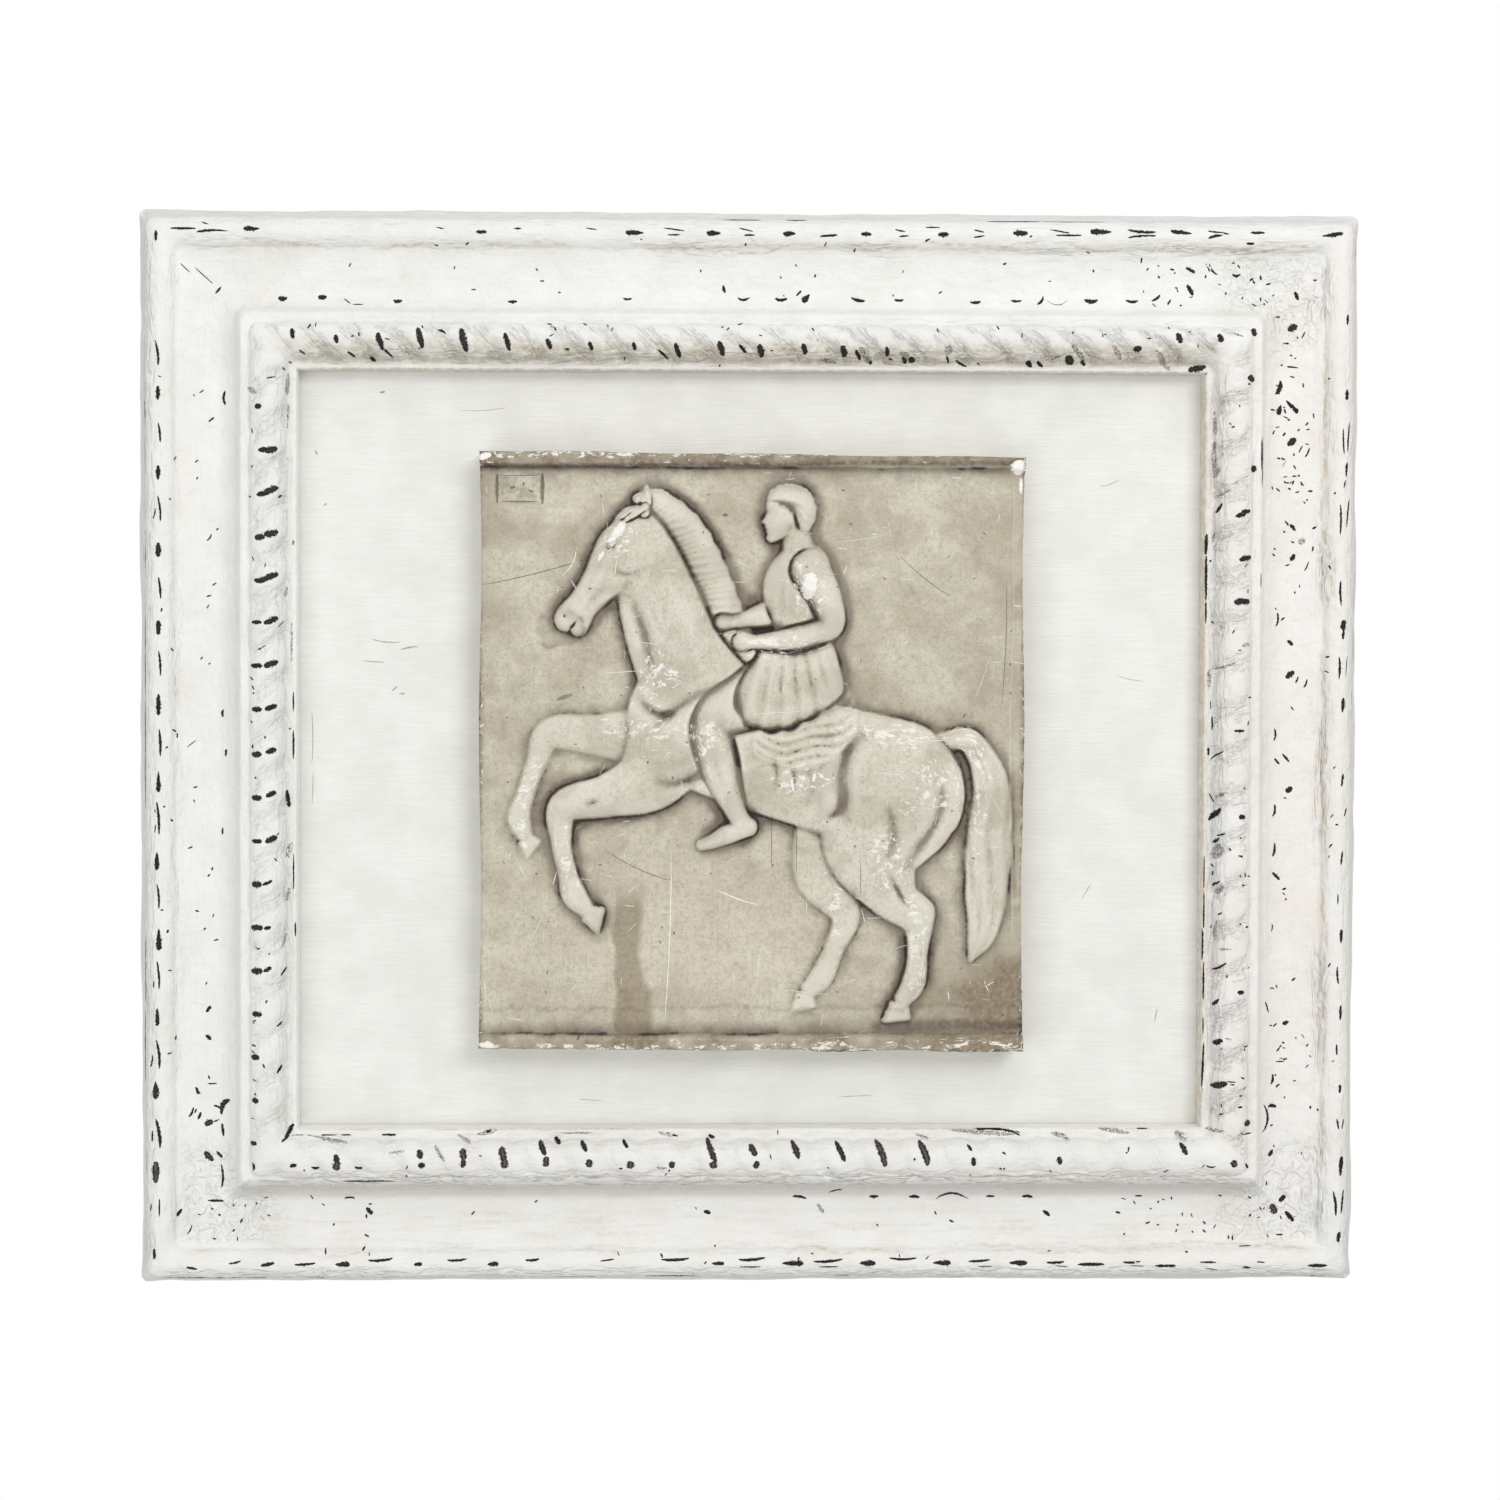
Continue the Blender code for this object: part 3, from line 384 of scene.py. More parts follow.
HORSE_SWELLS = [
    ((-0.120, 0.540), (0.055, 0.040), 30, 0.9), ((0.255, 0.460), (0.060, 0.050), -20, 1.0),
    ((0.035, 0.470), (0.080, 0.045), -15, 0.6), ((-0.314, 0.410), (0.018, 0.016), 0, 0.7),
    ((0.275, 0.218), (0.015, 0.015), 0, 0.5), ((0.270, 0.112), (0.013, 0.012), 0, 0.5),
    ((0.130, 0.520), (0.030, 0.030), 0, -0.5),
]
HORSE_HEAD_CUTS = [
    ([(0.86, 0.045), (0.93, 0.040), (0.985, 0.036)], 0.012, -1.5),
    ([(0.30, 0.210), (0.40, 0.130), (0.42, 0.060), (0.36, -0.005)], 0.022, -0.9),
    ([(0.40, -0.030), (0.55, -0.020), (0.70, -0.010)], 0.022, 0.7),
    ([(0.50, 0.060), (0.66, 0.050), (0.80, 0.040)], 0.026, -0.6),
    ([(0.18, -0.105), (0.25, -0.135), (0.33, -0.120)], 0.014, 0.9),
    ([(0.46, 0.190), (0.62, 0.120), (0.78, 0.095)], 0.012, 0.5),
    ([(0.86, -0.080), (0.90, -0.060), (0.93, -0.025)], 0.016, 0.8),
]
HORSE_HEAD_SWELLS = [
    ((0.285, -0.085), (0.040, 0.024), -12, 0.9), ((0.905, -0.050), (0.026, 0.016), 50, -1.6),
    ((0.215, -0.075), (0.020, 0.020), 0, -0.5), ((0.22, 0.11), (0.11, 0.10), 0, 0.8),
    ((0.95, 0.095), (0.030, 0.030), 0, 0.4),
]
EAR_CUT = ([(-0.02, -0.035), (-0.08, -0.070), (-0.155, -0.112)], 0.018, -1.4)
TUNIC_CUTS = [
    ([(0.040, 0.822), (0.062, 0.806), (0.092, 0.812)], 0.0032, 0.6),
    ([(0.042, 0.800), (0.038, 0.750), (0.040, 0.702)], 0.0034, 0.45),
    ([(0.054, 0.796), (0.056, 0.750), (0.052, 0.700)], 0.0034, 0.5),
    ([(0.068, 0.792), (0.075, 0.748), (0.068, 0.700)], 0.0036, 0.5),
    ([(0.082, 0.780), (0.094, 0.745), (0.086, 0.702)], 0.0036, 0.45),
    ([(0.020, 0.694), (0.070, 0.686), (0.128, 0.698)], 0.0030, -0.8),
    ([(0.018, 0.684), (0.070, 0.675), (0.130, 0.687)], 0.0046, 0.9),
]
FACE_CUTS = [
    ([(-0.34, 0.115), (-0.26, 0.135), (-0.16, 0.095)], 0.030, 0.7),
    ([(-0.325, 0.035), (-0.25, 0.062), (-0.17, 0.030)], 0.016, -0.55),
    ([(-0.325, 0.030), (-0.25, 0.000), (-0.17, 0.026)], 0.014, -0.45),
    ([(-0.40, -0.268), (-0.32, -0.272), (-0.26, -0.262)], 0.014, -0.7),
    ([(-0.40, -0.150), (-0.335, -0.130), (-0.325, -0.190)], 0.016, -0.5),
    ([(-0.10, -0.385), (0.04, -0.300), (0.12, -0.180)], 0.030, 0.5),
]
FACE_SWELLS = [
    ((-0.25, 0.030), (0.055, 0.030), 0, 0.55), ((-0.17, -0.12), (0.11, 0.09), 0, 0.5),
    ((-0.30, -0.41), (0.07, 0.06), 0, 0.5), ((-0.33, 0.02), (0.03, 0.07), 0, -0.6),
    ((0.06, -0.06), (0.055, 0.10), -10, 1.5), ((0.05, -0.05), (0.025, 0.055), -10, -1.4),
]
HEAD_BAND = ([(-0.40, 0.22), (-0.10, 0.27), (0.22, 0.20), (0.52, 0.02)], 0.035, 1.0)
NAPE_ROLL = ([(0.48, -0.02), (0.44, -0.20), (0.30, -0.31), (0.17, -0.27)], 0.055, 0.8)
LEG_CUTS = [
    ([(-0.084, 0.520), (-0.072, 0.462), (-0.045, 0.402)], 0.0045, 0.5),
    ([(-0.064, 0.515), (-0.060, 0.470), (-0.038, 0.412)], 0.0050, -0.45),
    ([(-0.080, 0.566), (-0.088, 0.545), (-0.080, 0.526)], 0.0050, 0.5),
    ([(-0.022, 0.384), (-0.036, 0.364), (-0.034, 0.348)], 0.0030, 0.5),
    ([(-0.048, 0.374), (-0.056, 0.356), (-0.052, 0.340)], 0.0028, 0.45),
    ([(-0.076, 0.344), (-0.092, 0.338)], 0.0018, -0.7),
    ([(-0.078, 0.350), (-0.094, 0.344)], 0.0016, -0.6),
]
LEG_SWELLS = [
    ((-0.066, 0.545), (0.018, 0.018), 0, 0.5), ((-0.044, 0.478), (0.014, 0.034), 12, 0.7),
    ((-0.024, 0.374), (0.007, 0.006), 0, 0.6),
]
ARM_CUTS = [
    ([(0.075, 0.770), (0.095, 0.745), (0.118, 0.740)], 0.006, -0.5),
    ([(0.105, 0.760), (0.118, 0.730), (0.118, 0.705)], 0.006, -0.5),
    ([(0.100, 0.694), (0.060, 0.684), (0.025, 0.681)], 0.005, -0.4),
    ([(-0.014, 0.6930), (-0.025, 0.6920), (-0.036, 0.6900)], 0.0022, -0.9),
    ([(-0.014, 0.6855), (-0.025, 0.6845), (-0.036, 0.6825)], 0.0022, -0.9),
    ([(-0.014, 0.6780), (-0.025, 0.6770), (-0.036, 0.6750)], 0.0022, -0.9),
    ([(0.070, 0.822), (0.088, 0.772), (0.128, 0.768)], 0.0035, 0.7),
]

# Fine cracks and specks in the board's paint, in millimetres from its middle: (x, z, length, width,
# tilt in degrees, how far the ends bend, taper, strength)
BOARD_MARKS = [
    (-207, 200, 3, 1.2, 10, 0, 0, 1), (-244, 166, 3, 0.8, -70, 0, 0, 1), (-239, 137, 2, 1, 30, 0, 0, 0.8),
    (-205, 60, 16, 0.7, -6, 0.8, 0, 0.9), (-192, 57, 10, 0.8, 10, -0.5, 0, 1),
    (-212, 49, 12, 0.6, -4, 0, 0, 0.9),
    (-200, 34, 4, 1, 40, 0, 0, 0.8), (-196, 31, 3, 1.2, 0, 0, 0, 0.8), (-246, 6, 30, 0.5, 90, 0.6, 0, 0.9),
    (-246, -22, 18, 0.5, 88, 0, 0, 0.8), (-190, 215, 34, 0.5, -8, 1.5, 0, 0.8),
    (-150, 190, 26, 0.5, 4, 0.8, 0, 0.7),
    (202, 150, 12, 0.5, 20, 0.6, 0, 0.8), (214, 40, 16, 0.5, -12, 0.7, 0, 0.7),
    (190, -80, 10, 0.6, 60, 0, 0, 0.8),
    (60, -196, 20, 0.5, 3, 0, 0, 0.7), (-90, -198, 14, 0.5, -4, 0, 0, 0.7),
    (230, -150, 8, 0.7, 80, 0, 0, 0.8),
]

# Worn parts of the figures, flecked white, in millimetres from the slab's middle: (x, z, reach across,
# reach up)
WORN_AREAS = [
    (-78, 116, 20, 16), (-52, 42, 16, 26), (-60, 12, 30, 8), (-24, 2, 12, 16), (26, -16, 26, 12),
    (76, 8, 34, 10), (96, -20, 20, 18), (74, -60, 14, 26), (92, -104, 10, 40), (46, -94, 9, 30),
    (-112, -8, 30, 9), (-104, -66, 12, 34), (-128, -34, 9, 26), (30, 90, 16, 20), (8, 58, 30, 8),
    (122, -20, 12, 50), (-30, -32, 16, 12),
]

# Where soot lies thickest in the hollows, in the same way
SOOTY_AREAS = [
    (-98, 62, 14, 30), (-22, -40, 46, 12), (2, 56, 20, 14), (30, 62, 14, 30), (24, 6, 26, 14),
    (104, 22, 30, 12), (-100, -20, 30, 10), (56, -70, 16, 30), (-34, 118, 16, 24), (112, -60, 14, 40),
]

# Chips, scratches, drips and specks on the plaster, in millimetres from its middle: (x, z, length,
# width, tilt in degrees, how far the ends bend, taper, kind); the kind is 1 for a white chip, 0.5 to
# 0.95 for a pale scratch and 0.2 to 0.3 for a dark line or speck
PLASTER_MARKS = [
    # label panel: dark sides and speckled inside
    (-141.6, 145.5, 16, 1.9, 90, 0, 0, 0.2), (-116.6, 145.5, 17, 2.2, 90, 0, 0, 0.2),
    (-129, 152.6, 24, 0.5, 0, 0, 0, 0.2), (-129, 138.2, 24, 0.5, 0, 0, 0, 0.2),
    (-133, 146, 3, 1.4, 20, 0, 0, 0.2), (-127, 148, 2, 1, 80, 0, 0, 0.2),
    (-123, 144, 3, 1.2, -30, 0, 0, 0.2),
    # white chips: shoulder, forehead, chest, flank and the slab's corners
    (31, 92, 15, 9, 80, 0, 0.1, 1), (37, 84, 4, 2, 40, 0, 0, 1), (-75, 121, 15, 5, 52, 1, 0.3, 1),
    (-84, 108, 6, 2.4, 60, 0, 0, 1), (-52, 46, 8, 2, 35, 1, 0, 1), (-27, 0, 5, 2.4, 70, 0, 0, 1),
    (22, -18, 7, 1.8, 100, 0, 0, 1), (34, -14, 5, 2, 80, 0, 0, 1), (147, 158, 8, 8, 90, 0, 0, 1),
    (149, 148, 9, 2, 90, 0, 0, 1), (-148, 163, 7, 4, 20, 0, 0, 1), (-147, -163, 8, 4, 0, 0, 0, 1),
    # scratches
    (-45.5, -102, 96, 0.7, 88, 1, 0, 0.9), (-8, -82, 26, 0.8, -20, 1, 0, 0.95),
    (-72, 44, 30, 0.5, 4, 0, 0, 0.8), (-58, 60, 22, 0.5, -8, 0, 0, 0.75), (14, 22, 34, 0.5, 3, 0, 0, 0.8),
    (92, 6, 38, 0.6, 2, 0, 0, 0.85), (80, -12, 26, 0.6, -5, 0, 0, 0.85), (104, -30, 22, 0.5, 8, 0, 0, 0.8),
    (128, 40, 26, 0.4, 70, 0.6, 0, 0.7), (136, -30, 20, 0.4, -60, 0, 0, 0.75),
    (-100, 104, 18, 0.6, 62, 2, 0, 0.9), (-88, 92, 10, 0.5, -20, 1, 0, 0.85),
    (-124, 60, 18, 0.4, 20, 0, 0, 0.7),
    (60, 118, 40, 0.4, 8, 1, 0, 0.7), (4, -120, 20, 0.5, 85, 0, 0, 0.8),
    (-96, -128, 26, 0.4, 12, 0, 0, 0.7), (30, -134, 30, 0.5, -6, 0, 0, 0.7),
    (-120, -100, 22, 0.4, 65, 0, 0, 0.7),
    # dark drips, specks and stains
    (11, -50, 30, 0.5, 90, 0, 0, 0.25), (24.7, -54, 26, 0.5, 90, 0, 0, 0.25),
    (60, -70, 18, 0.5, 90, 0, 0, 0.25),
    (-15.3, 131, 3, 1.4, 0, 0, 0, 0.2), (-90, 90, 2, 1.2, 0, 0, 0, 0.2), (-104, 30, 9, 2.2, 20, 0, 0, 0.3),
    (-96, -159, 3, 1.4, 60, 0, 0, 0.2), (50, 145, 2, 1, 0, 0, 0, 0.2), (118, 20, 3, 0.8, 60, 0, 0, 0.2),
    (-122, 98, 60, 0.6, 14, 1, 0, 0.25), (141, 60, 70, 0.5, 88, 1, 0, 0.25),
    (-62, -66, 44, 0.5, -24, 2, 0, 0.25),
    (96, 96, 34, 0.5, -38, 1, 0, 0.25),
]

# Places where the paint is worn through, in millimetres from the frame's middle on its front plane:
# (x, z, length, width, tilt in degrees, how far the ends bend, taper), where what is left out is 0
WORN_MARKS = [
    # upper rail, bead
    (-278, 289, 9, 2.4, 0, 0, -.5), (-316, 289, 14, 1.3), (-300, 288, 17, 1.3, 2, -.7, -.3),
    (-304, 292, 4, .8, -16), (-174, 290, 4.5, .7, -12), (-151, 288, 6, 1.8), (-90, 290, 6, .8, -8),
    (-66, 288, 10, 2.8, 0, 0, -.3), (-44, 290, 12, .9, -8), (-44, 287, 7, .9),
    (-22, 288, 8, 2.7, 0, 0, -.4), (-4, 290, 8, .8, -14), (-2, 287, 6, 1.1),
    (20, 288, 7, 2.7, 0, 0, -.3), (42, 287, 10, 1.4, 4), (63, 288, 6, 2.2), (82, 290, 6, .9, -12),
    (84, 287, 6, .9, 4), (100, 292, 8, .8), (106, 288, 6, 2.7), (126, 290, 6, .9, -12),
    (126, 287, 6, .9, 10), (149, 289, 8, 3.2), (172, 290, 13, .9, -10), (176, 288, 14, 1.2),
    (194, 290, 12, 2.9, 0, 0, -.4), (217, 290, 16, 1.6, -4, .7), (217, 288, 16, 1.3, 4, -.7),
    (239, 290, 12, 2.2, -6, 0, -.3), (260, 290, 12, 1.2, -8), (258, 288, 8, 1.6, 12, -.4),
    (282, 290, 8, 1.5), (324, 289, 12, 2.2, 8, .3, .4),
    # upper rail, outer edge
    (-6, 296, 20, .8), (24, 296, 12, .8), (146, 296, 30, .8), (180, 296, 36, .5),
    # upper rail, cove dots
    (246, 270, 6, 1.9, -28), (256, 271, 6, .8, -60), (258, 270, 8, 1.2, -52, 1.1),
    (272, 267, 4.5, 1.6, 0, .8),
    # upper rail, cove crescents
    (-262, 251, 5, 2.7, 0, .6), (-240, 252, 5, 3, 0, .6), (-226, 250, 5, .7, -36), (-220, 248, 6, .7),
    (-198, 250, 5, 2.1, 0, .6), (-134, 250, 5, 1.8, 0, .4), (-306, 264, 13, .6, -42),
    (-298, 256, 5, 1.4, 50), (-316, 268, 7, .6, -44), (-70, 252, 5, 1.4, 0, .5),
    (-16, 258, 4.5, 1.7, -76), (-5, 252, 7, 1.6, 0, 1.3), (16, 252, 7, 2, 0, .8),
    (30, 253, 6, 3.1, 48, 0, -.5), (26, 256, 4, 1.3, 48), (59, 252, 8, 2, -14, .8),
    (82, 252, 5, 1.7, 0, .5), (125, 251, 6, 1.9, 4, .6), (148, 252, 6, 1.6, 0, .5),
    (162, 252, 6, 1.5, 50, .8), (190, 252, 8, 2.4, 0, 1.1), (213, 252, 7, 1.7, 0, .7),
    (227, 254, 6, 1.6, 36, .5), (246, 259, 7, 2.4, -62), (234, 252, 4, 1.1, 60),
    (171, 250, 12, .4, 0, 2.9),
    # upper rail, torus
    (-254, 230, 6, 2.7, -80), (-230, 227, 5, 2.7, -80), (-206, 226, 10, 3.2, -74),
    (-184, 228, 12, 3.5, -76), (-160, 227, 13, 3.8, -76), (-136, 226, 10, 3.1, -74),
    (-172, 232, 5, 1.3, -24, -.6), (-249, 220, 4, 1.1, -36), (-222, 219, 5, 1.3, -32),
    (-211, 217, 4, 1.7, -36), (-202, 220, 8, 1.3, -42), (-90, 224, 5, 2.6, -72),
    (-66, 224, 4.5, 2.3, -76), (-42, 222, 8, 2.9, -68), (-18, 223, 8, 3.4, -68), (4, 222, 7, 3.7, -72),
    (28, 223, 6, 2.9, -72), (50, 222, 6, 3.6, -68), (74, 222, 5, 2.6, -76), (-50, 220, 7, 1.4, -38),
    (-6, 223, 6, 2, -48), (58, 220, 6, 2.2, -60), (64, 218, 6, 2.7, -50), (84, 218, 4.5, 2.8, -60),
    (88, 218, 4.5, 2.8, -16), (116, 216, 7, 1.4, -28), (108, 218, 4, 1.2, -60), (213, 224, 4.5, 3.5),
    (236, 230, 6, 3.5, -70), (259, 230, 5, 3.3, -70), (279, 234, 4.5, 3.5, -70),
    (154, 216, 4.5, 2.9, -44), (160, 216, 4.5, 2, -40), (176, 218, 6, 3.7, -36),
    (184, 217, 4.5, 2.2, -50), (248, 214, 10, 3.7, 12),
    # upper rail, sight edge
    (-223, 210, 5, .7), (-38, 211, 10, .8), (-20, 210, 6, .5), (100, 210, 8, .6), (49, 210, 10, .5),
    (198, 210, 23, 1.2), (252, 210, 4.5, 1.2, 44),
    # left rail, bead
    (-331, 285, 6, 1.7, 90), (-330, 198, 8, 2.4, 90), (-330, 220, 14, 1.4, -84, -.6),
    (-330, 154, 8, 2.4, 90), (-330, 111, 8, 3.2, 90), (-329, 176, 11, 1.3, -84, -.3),
    (-329, 134, 14, 1.3, -84, -.5), (-329, 90, 12, 1.3, -84, -.4), (-332, 131, 6, .8, 76, .3),
    (-330, 68, 8, 2.9, 90), (-330, 25, 12, 2.6, 90), (-330, -18, 12, 2.3, 90, 0, -.5),
    (-329, 48, 14, 1.3, -86, -.4), (-329, 4, 15, 1.5, -88, -.4), (-330, -38, 18, 1.5, -86, -.5),
    (-332, -33, 4.5, .7, 88), (-332, -44, 4.5, .7, 84), (-331, -62, 10, 2.5, 90, 0, -.5),
    (-330, -106, 12, 2.7, 90, 0, -.5), (-331, -149, 10, 2.3, 90, 0, -.4),
    (-332, -190, 10, 3.3, 90, 0, -.6), (-330, -82, 14, 1.3, -86, -.5), (-330, -126, 16, 1.3, -86, -.5),
    (-330, -170, 16, 1.5, -84, -.7), (-333, -131, 4, .9, 84), (-334, -174, 7, 1.1, 80, .4),
    (-332, -236, 12, 4.3, 90), (-333, -282, 6, 1.8, 90), (-330, -214, 16, 2, -82, -.8),
    (-330, -256, 10, .9, 90), (-334, -216, 6, 1.2, 88), (-335, -256, 4.5, .8, 80),
    # left rail, outer edge
    (-339, 191, 23, .6, 90), (-339, 164, 23, .3, 90), (-338, 110, 24, .5, 90), (-339, 52, 45, .7, 90),
    (-339, -2, 60, 1, 90), (-339, -124, 40, .7, 90), (-340, -166, 42, .8, 90), (-338, -232, 18, .6, 90),
    # left rail, cove
    (-295, 196, 8, 1.7, 90, -1), (-302, 184, 4, 1.1, 40), (-303, 118, 4.5, .9, 56, .4),
    (-313, 3, 6, .5, 38), (-296, 20, 4.5, 1.5, 90, -.5), (-294, -2, 4, 1.4, 84, -.3),
    (-296, -46, 4, 1.2, 90), (-304, -146, 4, 2, 58), (-304, -162, 4, 2.1, -42), (-302, -188, 5, .6, -6),
    (-310, -192, 4, 1.4, -60, .5), (-296, -200, 10, 3.1, 62, -1.8, .3), (-299, -201, 4.5, 1.4, -20),
    (-310, -192, 5, 1.7, -64), (-313, -204, 6, 1.4, 64, .6), (-309, -206, 4.5, 1.4, 68),
    (-304, -210, 5, 3.5, 30), (-300, -209, 4.5, .9, 24), (-296, -214, 7, 1.7, -82),
    (-304, -229, 7, 3.4, -48), (-298, -228, 5, 1.7, -48), (-296, -240, 13, 1.4, -88, -.9),
    (-300, -254, 9, 1.5), (-320, -260, 5, 1.8, 56), (-314, -270, 6, .8, 64, .6), (-302, -188, 5, .8),
    # left rail, torus
    (-273, 190, 4, 3, 10), (-266, 206, 5, .8, 8), (-270, 166, 6, 2.9, 4), (-266, 166, 7, 3.7, 14),
    (-270, 142, 8, 3, 12), (-266, 144, 8, 3.7, 20), (-272, 118, 6, 3.5, 6), (-266, 120, 8, 3.9, 14),
    (-272, 94, 7, 3.2), (-267, 96, 10, 3.7, 20), (-274, 71, 6, 2.4), (-266, 72, 8, 3.4, 24),
    (-274, 47, 7, 2.9), (-266, 48, 8, 3.6, 22), (-274, 23, 6, 3.1), (-266, 24, 7, 2.9, 20),
    (-274, -2, 6, 3.5), (-266, 0, 6, 3.1, 20), (-274, -26, 6, 3.3), (-266, -24, 6, 2.9, 24),
    (-274, -50, 6, 2.6), (-266, -49, 7, 3.3, 26), (-274, -74, 6, 3.6), (-268, -73, 6, 1.9, 24),
    (-274, -98, 7, 3.5), (-268, -98, 4, 2.1, 12), (-274, -122, 7, 3.6), (-268, -121, 5, 2.3, 28),
    (-274, -146, 6, 3.1), (-275, -170, 5, 3.4), (-275, -194, 4, 3.1), (-262, -152, 4, 1.1, 44),
    (-262, -177, 5, 1.4, 62), (-260, -123, 5, .9, 60), (-276, -218, 4, 2.9, -4),
    (-276, -231, 4.5, 1.7, -80, -.8),
    # left rail, sight edge
    (-255, 27, 11, .9, 90), (-255, 3, 16, 1.1, 90), (-258, -27, 10, 2.3, -84, 0, .4),
    (-258, 181, 4.5, .9, 90), (-255, -68, 20, .8, 90), (-254, -100, 8, .9, 90),
    (-257, -212, 8, 2.3, 62), (-259, -216, 4.5, 1.5, 38),
    # lower rail, torus
    (-183, -230, 4, 2.9), (-160, -229, 5, 3.3, 80), (-137, -229, 6, 4.3, 80), (-114, -228, 6, 4, 84),
    (-184, -224, 5, 3.3, -72), (-160, -224, 6, 4.1, -76), (-138, -224, 8, 4.1, -76),
    (-116, -221, 8, 3.2, -64), (-230, -226, 4.5, 3, -70), (-230, -230, 6, 4.3, 80),
    (-230, -228, 8, 2.7, -80), (-254, -230, 4, 2.1, 10), (-242, -232, 4.5, 1.7, -4, .6),
    (-218, -232, 4.5, 1.5, -4, .6), (-108, -218, 4.5, 2.4, -40), (-90, -229, 4.5, 4.1, 80),
    (-67, -230, 4.5, 4.2, 80), (-44, -230, 4, 3.6, 80), (-21, -230, 4.5, 4.1, 80),
    (3, -230, 4.5, 3.4, 80), (-93, -220, 6, 2.8, -60), (-70, -219, 4.5, 2, -50),
    (-22, -223, 14, 3.4, -68), (1, -222, 7, 3.6, -60), (25, -222, 10, 3.4, -68, -.5),
    (50, -223, 12, 3, -64, -.3), (73, -224, 15, 3.9, -70, -.9), (97, -224, 14, 4.1, -70, -.9),
    (122, -221, 4, 1.6, -52), (124, -229, 4, 2.7, -80), (-22, -216, 4, 1.9, -20),
    (-44, -215, 7, 1.3, -18), (96, -216, 4.5, .9, -20), (172, -228, 4.5, 3.1, -80),
    (242, -222, 7, 3.1, -62), (242, -216, 4.5, 2.2, -24), (270, -230, 4.5, 3.8, -50),
    (278, -232, 4, 1.7, -60), (257, -232, 5, 1.2, -4, .8), (124, -228, 4, 2.8, -80),
    # lower rail, sight edge
    (-124, -211, 37, .9), (-196, -211, 30, .5), (-239, -215, 17, .8), (-202, -215, 8, 1.5),
    (-226, -215, 6, .9), (-146, -213, 8, 1.8, 10), (-83, -211, 46, 1.1), (8, -210, 74, .8),
    (55, -210, 8, .6), (131, -212, 18, 1.6, 4), (126, -214, 6, 1.3), (137, -212, 28, 1.7, -8),
    (148, -214, 8, 1.2, -30), (176, -210, 22, .5), (192, -210, 8, .6), (246, -211, 12, .9),
    (205, -213, 9, .9, -20), (174, -215, 9, 1.2, -16), (244, -209, 9, 1.4), (220, -212, 6, .8),
    # lower rail, cove
    (28, -252, 8, 1.6, -10, -.6), (48, -248, 8, .9, 14, -.5), (70, -252, 5, 1.9),
    (93, -252, 6, 1.9, -4, -.3), (114, -250, 18, 1.4, 0, -3.8), (136, -252, 5, 1.3),
    (-24, -261, 4, 2.4, -20), (157, -252, 6, 1.9, -4, -.5), (220, -252, 4, 1.1), (168, -262, 5, 2, -38),
    (280, -280, 7, .6, 4), (-225, -252, 6, 1.2, 0, -.6), (-214, -260, 5, 2.6, -48),
    # lower rail, bead
    (-312, -290, 6, 1.5, -10), (-288, -287, 7, 1.1, 14, .3), (-270, -288, 8, 2.1, 12),
    (-249, -288, 12, 1.4, 4, .3), (-228, -288, 8, 2.9, 0, 0, .4), (-207, -286, 14, 1.5, 4, .8),
    (-186, -288, 4.5, 2.3, 4, 0, .3), (-164, -286, 11, 1.4, 4, .6), (-144, -288, 6, 2.6, 4, 0, .3),
    (-122, -286, 8, 1.4, 4, .5), (-80, -286, 8, .9, 8), (-42, -286, 16, 1.6, 2, .6),
    (-18, -288, 7, 2, 0, 0, .3), (1, -286, 15, 1.7, 4, .6), (24, -288, 12, 2.7, 0, 0, .4),
    (44, -287, 16, 1.6, 4, .6), (66, -288, 9, 2.8, 0, 0, .4), (86, -286, 16, 1.3, 0, .8),
    (108, -288, 10, 2.8, 0, 0, .4), (129, -287, 12, 1.4, 4, .3), (0, -290, 12, .8), (44, -290, 11, .8),
    (151, -288, 10, 2.8, 0, 0, .3), (172, -288, 10, 1.5, 2, .3), (192, -289, 15, 2),
    (215, -288, 10, 1.4, 2, .3), (234, -290, 12, 1.7), (258, -288, 9, 1.1), (280, -291, 4.5, 1.2, -4),
    (288, -288, 4.5, .8, -4), (320, -290, 11, 1.9), (132, -290, 8, .6), (175, -290, 8, .6, -8),
    (218, -290, 8, .6, -4), (260, -292, 7, .6, -8),
    # lower rail, outer edge
    (-300, -298, 60, 1.2), (-213, -240, 29, .8), (-44, -296, 30, .9), (-98, -298, 24, .9),
    (52, -296, 10, .8), (318, -299, 20, .6), (118, -300, 10, .5),
    # right rail, bead
    (333, 242, 6, 1.5, 86), (333, 200, 6, 1.9, 88), (333, 158, 8, 1.4, 86, 0, .3),
    (332, 150, 4.5, .9, 80), (331, 174, 14, 1, -88, .2), (334, 176, 16, 1.1, 86, -.2),
    (330, 130, 18, 1.1, 90, .4), (334, 134, 16, 1, 84, -.2), (332, 71, 6, 3.2, 88),
    (332, 66, 6, 1.6, 84), (332, 26, 8, 2.1, 86, 0, .3), (332, -16, 7, 1.5, 82),
    (330, 89, 14, 1.3, -88, .4), (330, 47, 12, 1.4, 90, .4), (334, 48, 12, .5, 86),
    (334, -34, 5, .9, 76), (332, -60, 8, 1.2, 84), (332, -104, 8, 1.9, 88, 0, .4),
    (332, -147, 8, 1.5, 88), (332, -190, 5, 1.6, 88), (330, -83, 6, .8, 90),
    (330, -126, 10, 1.2, -86, .3), (330, -168, 6, 1.1, -88), (333, -234, 11, 2.5, 86, 0, .4),
    (332, -274, 6, 2.3, 80), (331, -210, 6, 1.1, -80), (334, -210, 6, .9, 78),
    (330, -255, 14, 1.5, -84, -.5), (334, -254, 14, 1.2, 84),
    # right rail, outer edge
